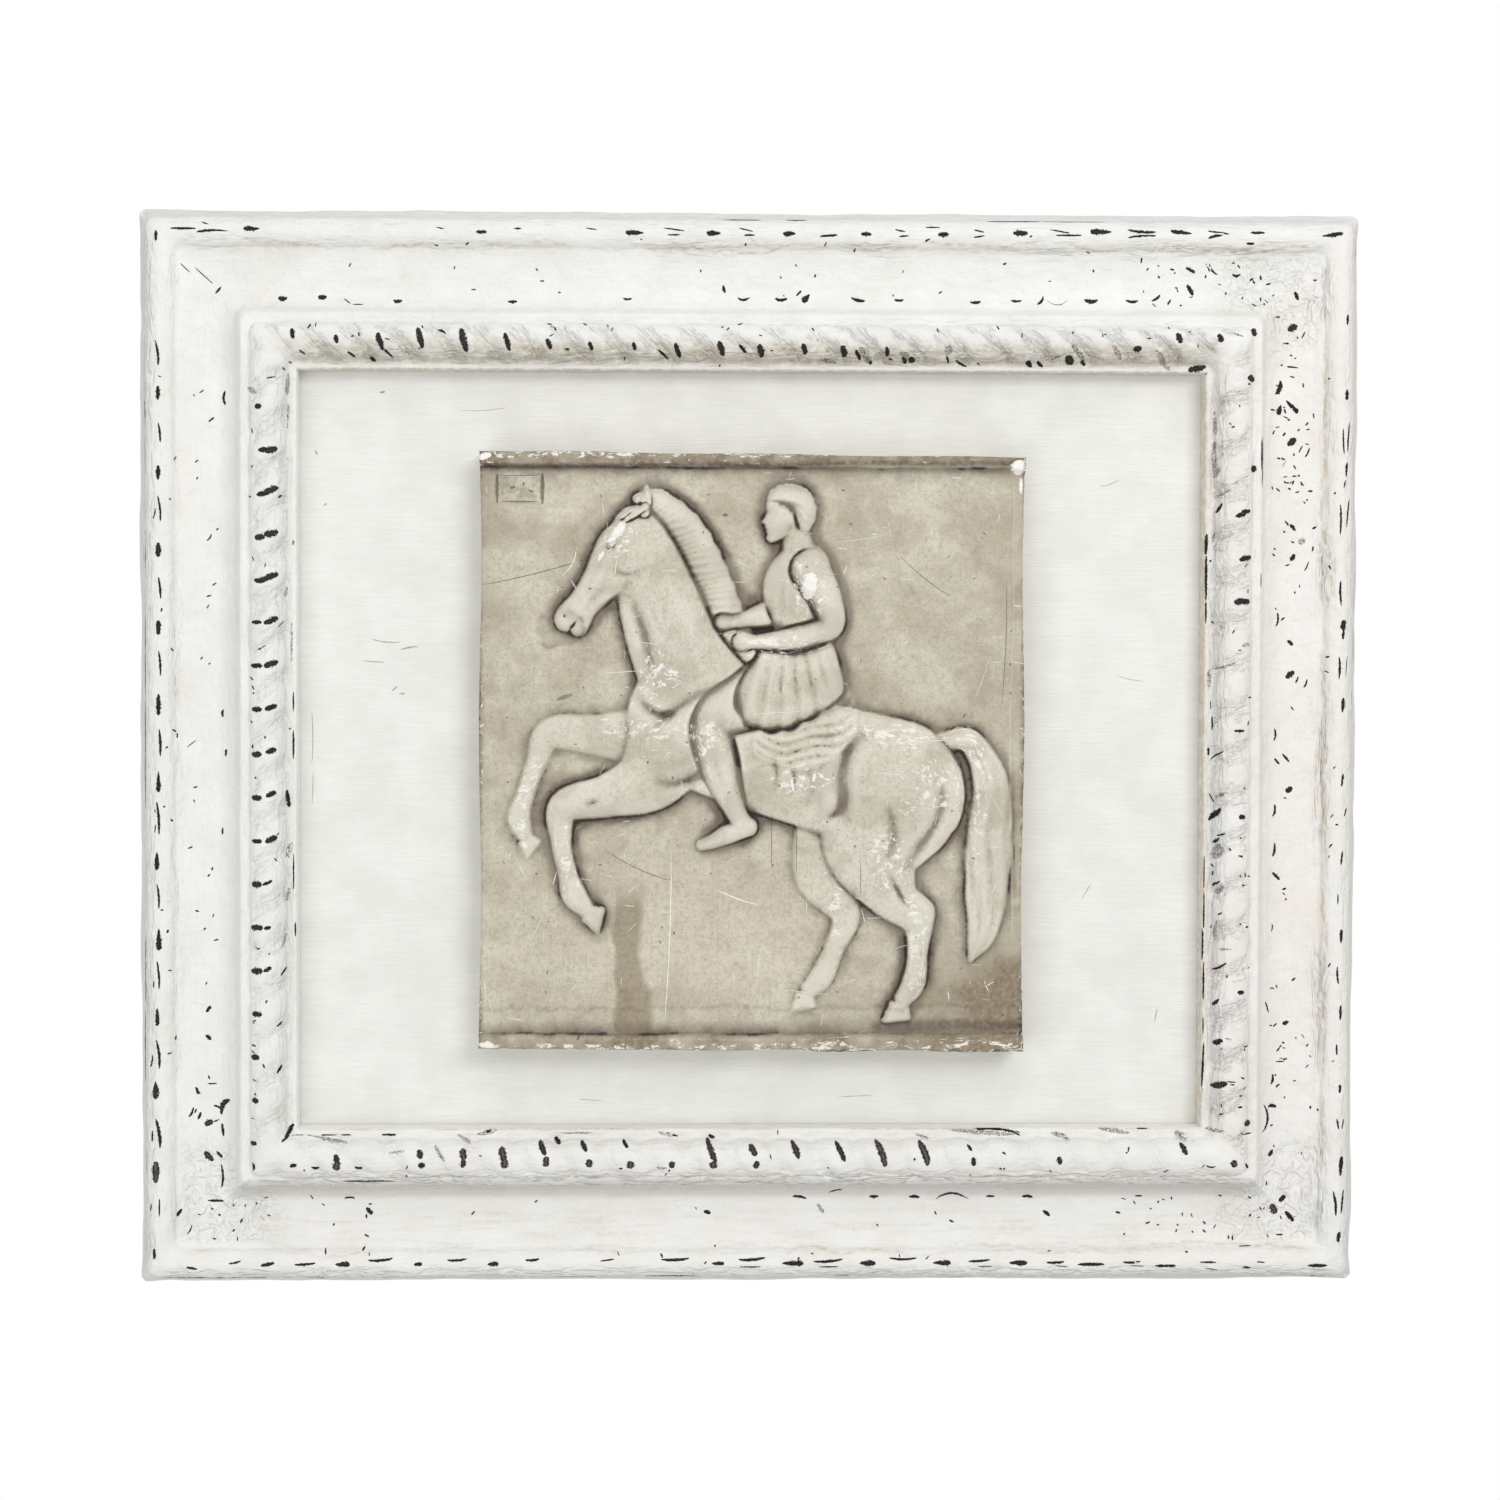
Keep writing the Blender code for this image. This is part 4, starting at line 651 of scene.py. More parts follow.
    (342, 90, 23, .4, 90), (341, 59, 20, .5, 90), (340, 30, 8, .5, 90), (341, 282, 12, .4, 90),
    # right rail, cove
    (306, 256, 5, 1.9, -68), (304, 238, 6, 3.7, 28), (310, 234, 4, .8, 64), (304, 216, 6, .9, -6),
    (297, 204, 8, 2.9, 70, 1.1), (304, 194, 10, 2.3, -46, 0, .5), (297, 192, 6, 2.7, 72, 0, -.5),
    (304, 174, 6, 3.6, 38), (309, 170, 4.5, .8, 62, -.2), (313, 168, 6, .9, 66, .4), (302, 151, 6, .7),
    (302, 128, 4.5, 1.1, -48), (305, 126, 4.5, 2, -52), (305, 109, 4.5, 2.3, 58),
    (313, 104, 6, .8, 66, .4), (297, 74, 8, 1.3, 84, .9), (304, 61, 4, 2.2, -40), (304, 43, 6, 3.2, 40),
    (308, 40, 4, 1, 68), (313, 38, 5, 1.1, 70, .4), (296, 9, 7, 1.3, 88, .8), (297, -6, 4.5, 1.4, -48),
    (302, -4, 6, 1.3, -50), (304, -22, 4.5, 3, 38), (296, -34, 7, 1.4, 80, .9),
    (296, -56, 8, 1.5, 82, .8), (297, -71, 6, 1.9, -44), (295, -100, 4.5, .8, 84, .5),
    (292, -145, 7, 1, -72), (303, -154, 4, 2.1, 24), (300, -176, 5, .8), (296, -186, 6, 1.6, 82, .7),
    (295, -201, 4, 1.8, 20), (293, -208, 16, 1.5, 88, 3.1), (296, -201, 4.5, 2, -20),
    (295, -228, 4.5, 2.2, 60), (302, -254, 5, 2.8, 40), (297, -260, 6, 4.2, -58),
    (306, -264, 7, 2.5, -50), (300, -274, 4, .8, 4),
    # right rail, torus
    (277, 208, 5, 3.9, -10), (279, 158, 4, 3.7, 90), (271, 132, 6, 2.6, 12), (274, 134, 6, 2.8, 10),
    (274, 108, 8, 3, 14), (260, 136, 6, 1.4, 62), (271, 84, 7, 3.6, 10), (274, 84, 6, 3.2),
    (271, 12, 6, 1.6), (273, -36, 4, 2.8), (260, -2, 8, .9, 42), (259, -35, 9, 2.4, 52),
    (260, -50, 5, 1.5, 60), (262, -46, 4.5, 1.1, 20), (273, -134, 4, 2.5), (261, -162, 5, 2.9, 38),
    (262, -186, 8, 3.7, 22), (260, -74, 5, 1.2, 50), (262, -120, 8, 1.3, 40), (260, -140, 5, 1.4, 58),
    (265, -110, 5, .9, 4), (268, -184, 5, .8, -4), (278, -208, 4.5, 3.5), (278, -214, 6, .8, 4),
    # right rail, sight edge
    (254, 116, 12, 1.9, 88), (254, 98, 27, 1.4, 90), (285, 162, 28, 1.2, 90), (284, 96, 6, .5, 90),
    (254, 98, 28, 1.4, 90), (254, 80, 17, 1, 90), (258, 16, 8, 1.1, 90), (257, 26, 5, .6, 90),
    (256, 0, 4.5, 1.4, 90), (284, 96, 8, .6, 90), (258, -26, 6, .8, -60), (254, -69, 21, .7, 90),
    (254, -90, 25, .9, 90), (253, -108, 18, 1.9, 90), (254, -129, 22, 1, 90), (254, -154, 10, .8, 90),
    (254, -176, 25, 1.2, 88), (254, -188, 5, .6, 90), (284, 166, 17, 1.1, 90),
    # here and there on all four rails
    (-113, 225, 6, 2.8, -68), (198, 210, 12, .9), (-156, 209, 11, .8), (-260, -297, 14, .9),
    (-244, -297, 12, .9), (278, 284, 4.5, 1.4), (251, 184, 8, .9, 90), (-258, -79, 6, .9, 90),
    (250, -162, 9, .9, 90), (-131, 290, 4, 1.1), (249, 37, 6, .9, 90), (-24, -210, 6, 1.1),
    (-14, -210, 8, 1.1), (-2, -211, 5, 1), (4, -211, 4.5, .9), (16, -210, 8, 1.1), (35, -210, 9, 1.1),
    (54, -210, 6, .9),
]

# The same for places where the paint is only rubbed thin
FAINT_MARKS = [
    (180, 222, 12, 2.9, -48), (202, 222, 9, 2.9, -58), (228, 218, 14, 3.2, -46),
    (258, 184, 14, 1.8, 88), (258, 166, 16, 2.4, 88), (269, 232, 6, 1.3, -20), (230, 216, 5, 1.8, -40),
    (170, 220, 8, 1.3, 20), (258, 182, 10, 1.6, -84), (258, 163, 13, 2.6, 88), (259, 156, 6, 2.1, 70),
    (310, 118, 4, 3.7), (262, 144, 8, 1.4, 30), (258, 120, 6, 1.9, 80), (300, 162, 5, .5, 60),
    (268, 150, 4, .6, 30), (260, -55, 8, 3.3, 58), (262, -77, 6, 2.3, 56), (260, -100, 12, 1, 88),
    (266, -160, 4, 1, -10), (264, -110, 6, 1.2, 4), (261, -56, 8, 3.6, 60), (262, -24, 6, 1.9, 30),
    (264, 48, 10, 1.5, 20), (275, 60, 5, 2.1, 10), (256, 41, 10, 2.6, 88), (-256, 60, 22, 1.1, 90),
    (-259, 88, 6, 1.3, 80), (-261, 70, 5, 1.1, 50), (-258, -56, 8, 2.3, 76), (-258, 203, 12, 2, 88),
    (-258, 186, 12, 1.4, 88), (-277, 199, 6, 3.1, -30), (-257, -56, 10, 1.9, 76),
    (-258, -80, 8, 2.1, 80), (-260, -106, 8, 1.1, 78), (-148, -214, 10, 2.1, 10),
    (-236, -217, 24, 1.4, -10), (-252, -215, 9, .9), (-197, -223, 9, 1.5, 10),
    (-160, -217, 9, 1.8, -30), (-173, -224, 10, 2.1, -56), (-47, -215, 10, 1.6, -16),
    (-97, -214, 19, 1.1), (40, -259, 6, 2.2, -50), (96, -216, 8, 1.6, -20), (-50, -232, 6, 1.2),
    (130, -214, 36, 2.5, -4), (260, -212, 9, 2.2), (204, -213, 18, 2.5, -10), (174, -216, 11, 2.2, -20),
    (242, -216, 8, 4, -30), (108, 223, 4.5, 4.7, -40), (62, 220, 10, 4, -50), (84, 220, 7, 3.7, -30),
    (42, 217, 10, 2.2, -10),
]


def value_noise(x, y, seed):
    """Smooth noise from -1 to 1: random corner values of a unit lattice, blended by quintic shares."""
    table = np.random.default_rng(seed).uniform(-1, 1, (128, 128))
    column, row = np.floor(x).astype(int), np.floor(y).astype(int)
    sx, sy = x - column, y - row
    sx, sy = sx**3 * (sx * (6 * sx - 15) + 10), sy**3 * (sy * (6 * sy - 15) + 10)
    c0, c1, r0, r1 = column % 128, (column + 1) % 128, row % 128, (row + 1) % 128
    lower = table[c0, r0] * (1 - sx) + table[c1, r0] * sx
    upper = table[c0, r1] * (1 - sx) + table[c1, r1] * sx
    return lower * (1 - sy) + upper * sy


def layered_noise(x, y, seed, layers=3):
    """Value noise plus copies of itself at twice the frequency and half the strength each time."""
    return sum(value_noise(x * 2**i, y * 2**i, seed + i) / 2**i for i in range(layers))


def ridges(x, y, seed, layers=3):
    """Sharp crests from 0 to about 1 where layered noise passes through zero."""
    return np.clip(1 - 2.2 * np.abs(layered_noise(x, y, seed, layers)), 0, 1)


def bell(distance, width):
    """A bell curve: e to the power of minus the square of distance over width."""
    return np.exp(-((distance / width) ** 2))


def between(value, low, high):
    """A share that eases from 0 at the low value to 1 at the high one."""
    share = np.clip((value - low) / (high - low), 0, 1)
    return share * share * (3 - 2 * share)


def span(value, start, full, fading, end):
    """A share that eases in from start to full and out again from fading to end."""
    return between(value, start, full) * between(value, end, fading)


def oval(x, z, middle, reach):
    """A bell over an oval: it falls off with the distance from the middle, over the reach each way."""
    return bell(np.hypot((x - middle[0]) / reach[0], (z - middle[1]) / reach[1]), 1)


def blurred(field, reach):
    """The field smoothed by a bell curve over both directions; reach is in grid steps."""
    steps = np.arange(-math.ceil(2.5 * reach), math.ceil(2.5 * reach) + 1)
    weights = bell(steps, reach * math.sqrt(2))
    weights = weights / weights.sum()
    for axis in (0, 1):
        padding = [(0, 0), (0, 0)]
        padding[axis] = (len(steps) // 2,) * 2
        padded = np.pad(field, padding, mode="edge")
        size = field.shape[axis]
        field = sum(w * np.take(padded, range(i, i + size), axis) for i, w in enumerate(weights))
    return field


def mesh_object(name, points, faces, flat=0):
    """An object at the origin from an array of points and a list of faces, the last ones flat."""
    mesh = bpy.data.meshes.new(name)
    mesh.from_pydata(points.reshape(-1, 3).tolist(), [], faces)
    mesh.update()
    mesh.polygons.foreach_set("use_smooth", np.arange(len(faces)) < len(faces) - flat)
    if flat:
        edge_of_corner = np.empty(len(mesh.loops), np.int32)
        mesh.loops.foreach_get("edge_index", edge_of_corner)
        sharp = np.zeros(len(mesh.edges), bool)
        sharp[edge_of_corner[mesh.polygons[len(faces) - flat].loop_start :]] = True
        mesh.attributes.new("sharp_edge", "BOOLEAN", "EDGE").data.foreach_set("value", sharp)
    piece = bpy.data.objects.new(name, mesh)
    bpy.context.scene.collection.objects.link(piece)
    return piece


def grid_quads(rows, columns, closed=False):
    """Four-sided faces over a grid of points; a closed grid joins its last column to its first."""
    index = np.arange(rows * columns).reshape(rows, columns)
    right = np.roll(index, -1, 1) if closed else index[:, 1:]
    left = index if closed else index[:, :-1]
    quads = np.stack([left[:-1], right[:-1], right[1:], left[1:]], -1)
    return quads.reshape(-1, 4)


def half_ellipse(start, end, crest, foot_start, foot_end, count):
    """Points over a rounded member: half an ellipse from one foot over the crest to the other foot."""
    angle = np.linspace(math.pi, 0, count)
    foot = np.where(angle > math.pi / 2, foot_start, foot_end)
    middle, half = (start + end) / 2, (end - start) / 2
    return np.column_stack([middle + half * np.cos(angle), foot + (crest - foot) * np.sin(angle)])


def hollow(start, end, rise_start, floor, rise_end, count):
    """Points across a cove: two parabolas that meet level at its floor."""
    place = np.linspace(start, end, count)
    low = start + (end - start) * COVE_LOW
    edge = np.where(place < low, start, end)
    rise = np.where(place < low, rise_start, rise_end)
    return np.column_stack([place, floor + (rise - floor) * ((place - low) / (edge - low)) ** 2])


def straight(start, end, count):
    """Points along a straight member."""
    return np.linspace(start, end, count)


def moulding_profile():
    """The front of the moulding as (distance in from the outer edge, distance off the wall).

    Its members are joined into one fine line, eased by a bell curve so that no arris is sharp, and
    then sampled closely over the bead and torus and more widely over the plain parts.
    """
    bead = OUTER_SIDE_WIDTH
    cove = bead + BEAD_WIDTH
    step = cove + COVE_WIDTH
    fillet = step + STEP_WIDTH
    torus = fillet + UPPER_FILLET_WIDTH
    sight = torus + TORUS_WIDTH
    members = [
        straight((0.0, 0.0), (0.0, OUTER_FOOT_RISE), 20),
        straight((0.0, OUTER_FOOT_RISE), (bead, OUTER_SIDE_RISE), 60),
        half_ellipse(bead, cove, BEAD_CREST, OUTER_SIDE_RISE, BEAD_FOOT, 120),
        hollow(cove, step, BEAD_FOOT, COVE_FLOOR, COVE_END, 160),
        straight((step, COVE_END), (fillet, UPPER_FILLET_RISE), 50),
        straight((fillet, UPPER_FILLET_RISE), (torus, UPPER_FILLET_RISE), 25),
        half_ellipse(torus, sight, TORUS_CREST, UPPER_FILLET_RISE, TORUS_FOOT, 140),
        straight((sight, TORUS_FOOT), (sight, SIGHT_FILLET_RISE), 3),
        straight((sight, SIGHT_FILLET_RISE), (RAIL_WIDTH, SIGHT_FILLET_RISE), 25),
        straight((RAIL_WIDTH, SIGHT_FILLET_RISE), (RAIL_WIDTH, REBATE_HEIGHT), 60),
    ]
    line = np.vstack(members)
    arc = np.concatenate([[0], np.cumsum(np.hypot(*np.diff(line, axis=0).T))])
    even = np.linspace(0, arc[-1], 1400)
    fine = np.column_stack([np.interp(even, arc, line[:, i]) for i in (0, 1)])
    reach = ARRIS_SOFTNESS / (even[1] - even[0])
    eased = np.column_stack([blurred(fine[:, i : i + 1], reach)[:, 0] for i in (0, 1)])
    eased[0], eased[-1] = fine[0], fine[-1]
    closeness = 1 + 0.9 * ((fine[:, 0] > torus) & (fine[:, 0] < sight)) - 0.5 * (fine[:, 1] < 0.012)
    count = np.cumsum(closeness)
    samples = np.interp(np.linspace(count[0], count[-1], PROFILE_POINTS), count, np.arange(len(even)))
    profile = np.column_stack([np.interp(samples, np.arange(len(even)), eased[:, i]) for i in (0, 1)])
    return profile, np.interp(samples, np.arange(len(even)), even)


def paint_relief(along, profile, arc, rail):
    """How far thick paint and worn carving lift the moulding's skin, over (along, across) the rail.

    It adds crests of stretched noise: wrinkles outside the bead, a lip and long creases at its foot,
    strokes in the cove, a brushed ridge at the cove's end, and on the torus leaning scoops with
    leaning strands and cross creases between the smooth ribs. Fine noise covers it all. The places
    along the leaning ribs and the shares of strands and creases come with it, for the material.
    """
    u = along / MM
    v = np.broadcast_to(profile[:, 0] / MM, u.shape)
    s = np.broadcast_to(arc / MM, u.shape)
    seed, foot, torus = rail["seed"], rail["foot"], rail["torus"]
    warp = value_noise(u / 13, s / 9, seed) * 1.6
    spells = between(value_noise(u / 33, s / 25, seed + 1), -0.7, 0.5)
    uneven = 0.3 + 0.7 * spells
    on_side = span(v, 1, 5, 11, 14.5)
    wrinkle = ridges(u / 8 + 0.3 * warp, (s + warp) / 2.4, seed + 2, 2)
    lift = BEAD_WRINKLE * rail["bead"] * (wrinkle - 0.3) * on_side * spells
    lift += LIP_RISE * foot * span(v - paint_lip(u, seed), -0.5, 0.5, 1, 8) * uneven
    at_foot = bell(v - 22.8 - 0.8 * warp, 4.4) * uneven
    crease = ridges(u / 27, (s + 2.2 * warp) / 3.6, seed + 3, 2)
    lift += CREASE_RISE * foot * (crease - 0.3) * at_foot
    stroke = ridges(u / 21 + 0.2 * warp, (s + warp) / 4.2, seed + 4)
    lift += COVE_STROKE * (stroke - 0.3) * span(v, 24, 28, 54, 57)
    swing = 54.0 + 1.1 * layered_noise(u / 15, u * 0, seed + 5)
    strength = between(value_noise(u / 38, u * 0, seed + 6), -0.5, 0.3)
    lift += RIDGE_RISE * strength * (bell(v - swing, 0.9) - 0.6 * bell(v - swing - 1.8, 0.9))
    leaning = u - rail["lean"] * (v - 76) - rail["phase"] / MM
    between_ribs = 0.5 - 0.5 * np.cos(2 * math.pi * leaning / (rail["pitch"] / MM))
    on_torus = span(v, 65, 69, 85.5, 89)
    lift -= RIB_DEPTH * on_torus * between_ribs**2
    ragged = between(between_ribs + 0.5 * value_noise(u / 6, s / 5, seed + 7), 0.25, 0.75)
    strand = ridges((leaning + 0.8 * warp) / 3.0, s / 8.5 + 0.3 * warp, seed + 8, 2)
    lift += TORUS_STRAND * torus * (strand - 0.25) * on_torus * ragged
    cross = ridges(u / 7 + 0.3 * warp, (s + 0.6 * warp) / 2.1, seed + 9, 2)
    lift += TORUS_CREASE * torus * (cross - 0.3) * on_torus * (0.3 + 0.7 * ragged)
    inner = span(v, 79, 83, 88, 91)
    fold = ridges(u / 24, (s + warp) / 1.9, seed + 10, 2)
    lift += TORUS_CREASE * torus * (fold - 0.3) * inner
    lift += PAINT_UNEVENNESS * layered_noise(u / 11, s / 6, seed + 11, 3) * between(s, 0, 8)
    strands = torus * on_torus * (0.15 + 0.85 * ragged)
    creases = 0.8 * foot * at_foot + 0.7 * rail["bead"] * on_side + 0.10 * spells
    creases += torus * (0.6 * inner + 0.3 * span(v, 60, 65, 67, 70))
    if rail["side"] == "bottom":
        creases += 0.9 * span(v, 59, 61, 67, 70)
        ridge = ridges(u / 11 + 0.4 * warp, s / 3.1, seed + 15, 2)
        lift += FILLET_RISE * (ridge + 0.3) * span(v, 60, 62, 66, 69)
    return lift, leaning, np.stack([strands, creases], -1)


def paint_lip(u, seed):
    """Where a lip of thick paint wanders along the bead's foot, in millimetres from the outer edge."""
    slow = layered_noise(u / 34, u * 0, seed + 30, 3)
    return 22.5 + 2.6 * slow + 0.7 * value_noise(u / 6, u * 0, seed + 33)


def corner_scrolls(from_end, v):
    """Worn scrolls in the cove near a corner: crests where a warped spiral phase passes through zero.

    They depend only on the two distances from the outer edges, so both rails of a corner agree.
    """
    a, b = np.minimum(from_end, v), np.maximum(from_end, v)
    phase = np.hypot(a - 34, (b - 52) / 1.6) / 2.3 + 1.5 * np.arctan2(b - 52, a - 34)
    phase = phase + 1.4 * layered_noise(a / 9, b / 9, 63, 2)
    area = span(a, 25, 29, 50, 54) * between(b, 96, 74)
    return SCROLL_RISE * (np.clip(1.2 * np.cos(phase), -0.3, 1) - 0.2) * area


def mitred_height(profile, from_end):
    """How far the bare moulding stands off the wall, its members rounded where two rails meet.

    The front is read at the softly smaller one of the distances from the two outer edges.
    """
    across, rise = profile.T
    shared = np.maximum(soft_min(across, from_end, CORNER_SOFTNESS), 0)
    first = np.argmax(rise > OUTER_FOOT_RISE + FRONT_MARGIN)
    last = np.argmax(across > RAIL_WIDTH - 2 * ARRIS_SOFTNESS)
    height = np.broadcast_to(rise, from_end.shape).copy()
    height[:, first:last] = np.interp(shared[:, first:last], across[first:last], rise[first:last])
    return height


def rail_mesh(name, rail):
    """A mitred rail: the moulding's profile carried along a straight line, each place lifted by paint.

    A point is middle + along * run + inward * in + out * off the wall; every ring of the profile ends
    on the mitre, where along = half the length less the distance in from the outer edge.
    """
    profile, arc = moulding_profile()
    across = profile[:, 0]
    length = FRAME_HEIGHT if rail["side"] in ("left", "right") else FRAME_WIDTH
    half = length / 2 + MITRE_OVERLAP
    steps = round(length / RAIL_STEP)
    share = np.linspace(-1, 1, steps + 1)[:, None]
    along = share * (half - across)
    from_end = half - np.abs(along)
    from_mitre = (from_end - across) / MM
    lift, leaning, wrinkles = paint_relief(along, profile, arc, rail)
    over = np.broadcast_to(arc / MM, lift.shape)
    filled = MITRE_FILL * (ridges(from_mitre / 4, over / 6, 61, 2) - 0.3)
    lift = filled + (lift - filled) * between(from_mitre, 1.0, 12.0)
    wear = np.where(along < 0, *rail["worn"])
    lift = lift + wear * corner_scrolls(from_end / MM, across / MM)
    slope = np.gradient(profile, arc, axis=0)
    slope /= np.hypot(*slope.T)[:, None]
    held = between(arc / MM, 0, 1.5) * between(arc[-1] / MM - arc / MM, 0, 2)
    off_wall = mitred_height(profile, from_end) + slope[:, 0] * lift * held
    off_wall = np.minimum(off_wall, TORUS_CREST)
    wander = EDGE_WANDER * (1 + layered_noise(along / MM / 37, across * 0, rail["seed"] + 12, 2))
    inward = across - slope[:, 1] * lift * held
    inward = inward + wander * between(across / MM, 8, 0) * between(from_mitre, 2, 15)
    tip = np.clip(1 - from_mitre / 5, 0, 1) ** 2 * between(across / MM, 7, 0)
    inward = np.clip(inward + TIP_LOSS * tip, 0, RAIL_WIDTH)
    rebate = np.full((steps + 1, 2), RAIL_WIDTH - REBATE_WIDTH)
    inward = np.hstack([inward, rebate])
    off_wall = np.hstack([off_wall, np.broadcast_to([REBATE_HEIGHT, 0.0], rebate.shape)])
    along = np.clip(share * (half - inward), -length / 2, length / 2)
    rows, columns = along.shape
    quads = grid_quads(rows, columns, closed=True).reshape(rows - 1, columns, 4)
    ends = [np.arange(columns), np.arange(columns)[::-1] + (rows - 1) * columns]
    front, behind = (part.reshape(-1, 4).tolist() for part in (quads[:, :-3], quads[:, -3:]))
    faces = front + behind + [end.tolist() for end in ends]
    if rail["side"] in ("top", "left"):
        faces = [face[::-1] for face in faces]
    points = in_place(along, inward, off_wall, rail["side"])
    piece = mesh_object(name, points, faces, flat=len(behind) + 2)
    around = np.concatenate([arc, arc[-1] + np.array([REBATE_WIDTH, 2 * REBATE_WIDTH])])
    around = np.broadcast_to(around, along.shape)
    leaning = np.hstack([leaning * MM, np.zeros((rows, 2))])
    add_uv(piece, "along the rail", along, around)
    add_uv(piece, "across the ribs", leaning, around)
    tone = rail_tone(rail, along[:, :-2] / MM, inward[:, :-2] / MM, over, lift)
    # the tan share, painted shade included, fades towards the mitres
    tone[..., 1] *= 0.3 + 0.7 * between(from_mitre, -1, 18)
    add_shares(piece, "tone", with_plain_back(tone))
    brushed = between(from_mitre, 1, 14)
    worn_corner = between(from_end / MM, 92, 70) * span(inward[:, :-2] / MM, 24, 28, 54, 60) * wear
    strands, creases = wrinkles[..., 0] * brushed, wrinkles[..., 1] * brushed
    add_shares(piece, "wrinkles", with_plain_back(np.stack([strands, creases, worn_corner, brushed], -1)))
    return piece


def in_place(along, inward, off_wall, side):
    """Places of a rail's points: along X for the upper and lower rail, along Z for the upright ones."""
    x_edge, z_edge = FRAME_WIDTH / 2, FRAME_HEIGHT / 2
    x = {"left": inward - x_edge, "right": x_edge - inward}.get(side, along)
    z = {"top": z_edge - inward, "bottom": inward - z_edge}.get(side, along)
    return np.stack([x, -off_wall, z + CENTRE_Z], -1)


def vertex_places(mesh):
    """Places of all vertices as an array with one row each."""
    places = np.empty(len(mesh.vertices) * 3)
    mesh.vertices.foreach_get("co", places)
    return places.reshape(-1, 3)


def corner_vertices(mesh):
    """The vertex at each corner of each face."""
    corners = np.empty(len(mesh.loops), int)
    mesh.loops.foreach_get("vertex_index", corners)
    return corners


def add_uv(piece, name, across, up):
    """A UV map from two coordinates per vertex."""
    coordinates = np.stack([across, up], -1).reshape(-1, 2)
    layer = piece.data.uv_layers.new(name=name)
    layer.data.foreach_set("uv", coordinates[corner_vertices(piece.data)].ravel())


def with_plain_back(values):
    """A grid of shares with plain ones added for the two columns behind the front."""
    return np.pad(values, ((0, 0), (0, 2), (0, 0)), constant_values=PLAIN_SHARE)


def add_shares(piece, name, values):
    """Four shares from 0 to 1 for every vertex, which the material reads by their name."""
    attribute = piece.data.attributes.new(name, "FLOAT_COLOR", "POINT")
    attribute.data.foreach_set("color", np.clip(values, 0, 1).ravel())


def add_marks(piece, marks, deepest=1.0):
    """Worn marks on a piece: every face near a mark learns where its corners lie on that mark.

    The place is (along / half the length, across / half the width) about the mark's middle, turned by
    its tilt, and the form is its bend, taper, strength and width. A face near several marks takes the
    nearest one, and a face away from all of them gets 9. The back, faces with more than four corners
    and walls farther in from the frame's outer edge than the deepest place stay free of marks.
    """
    mesh = piece.data
    points, corners = vertex_places(mesh), corner_vertices(mesh)
    px, pz = points[:, 0] / MM, (points[:, 2] - CENTRE_Z) / MM
    inward = np.minimum(FRAME_WIDTH / 2 - np.abs(px) * MM, FRAME_HEIGHT / 2 - np.abs(pz) * MM)
    on_top = points[:, 1] < SIGHT_MARGIN - SIGHT_FILLET_RISE
    front = (points[:, 1] < -BACK_MARGIN) & ((inward < deepest) | on_top)
    sizes = np.empty(len(mesh.polygons), int)
    mesh.polygons.foreach_get("loop_total", sizes)
    face_of_corner = np.repeat(np.arange(len(sizes)), sizes)
    place = np.full((len(corners), 3), NO_MARK)
    form = np.zeros((len(corners), 4))
    nearest = np.full(len(sizes), np.inf)
    for x, z, length, width, tilt, bend, taper, strength in marks:
        radius = 0.62 * length + width + 2
        close = np.flatnonzero((np.abs(px - x) < radius) & (np.abs(pz - z) < radius) & front)
        if not len(close):
            continue
        c, s = math.cos(math.radians(tilt)), math.sin(math.radians(tilt))
        dx, dz = px[close] - x, pz[close] - z
        a = (dx * c + dz * s) / (length / 2)
        gap = np.abs(dz * c - dx * s - bend * a * a) - width / 2
        within = (np.abs(a) < 1.05 + 2.4 / length) & (gap < 1.3)
        inside = close[within]
        distance = np.full(len(px), np.inf)
        distance[inside] = np.maximum(gap, (np.abs(a) - 1) * length / 2)[within]
        touched = np.isin(corners, inside)
        faces = np.unique(face_of_corner[touched])
        score = np.full(len(sizes), np.inf)
        np.minimum.at(score, face_of_corner[touched], distance[corners[touched]])
        faces = faces[(score[faces] < nearest[faces]) & (sizes[faces] < 5)]
        nearest[faces] = score[faces]
        chosen = np.isin(face_of_corner, faces)
        cx, cz = px[corners[chosen]] - x, pz[corners[chosen]] - z
        place[chosen, 0] = (cx * c + cz * s) / (length / 2)
        place[chosen, 1] = (cz * c - cx * s) / (width / 2)
        form[chosen] = (2 * bend / width, taper, strength, width)
    attribute = mesh.attributes.new("mark place", "FLOAT_VECTOR", "CORNER")
    attribute.data.foreach_set("vector", place.ravel())
    attribute = mesh.attributes.new("mark form", "FLOAT_COLOR", "CORNER")
    attribute.data.foreach_set("color", form.ravel())


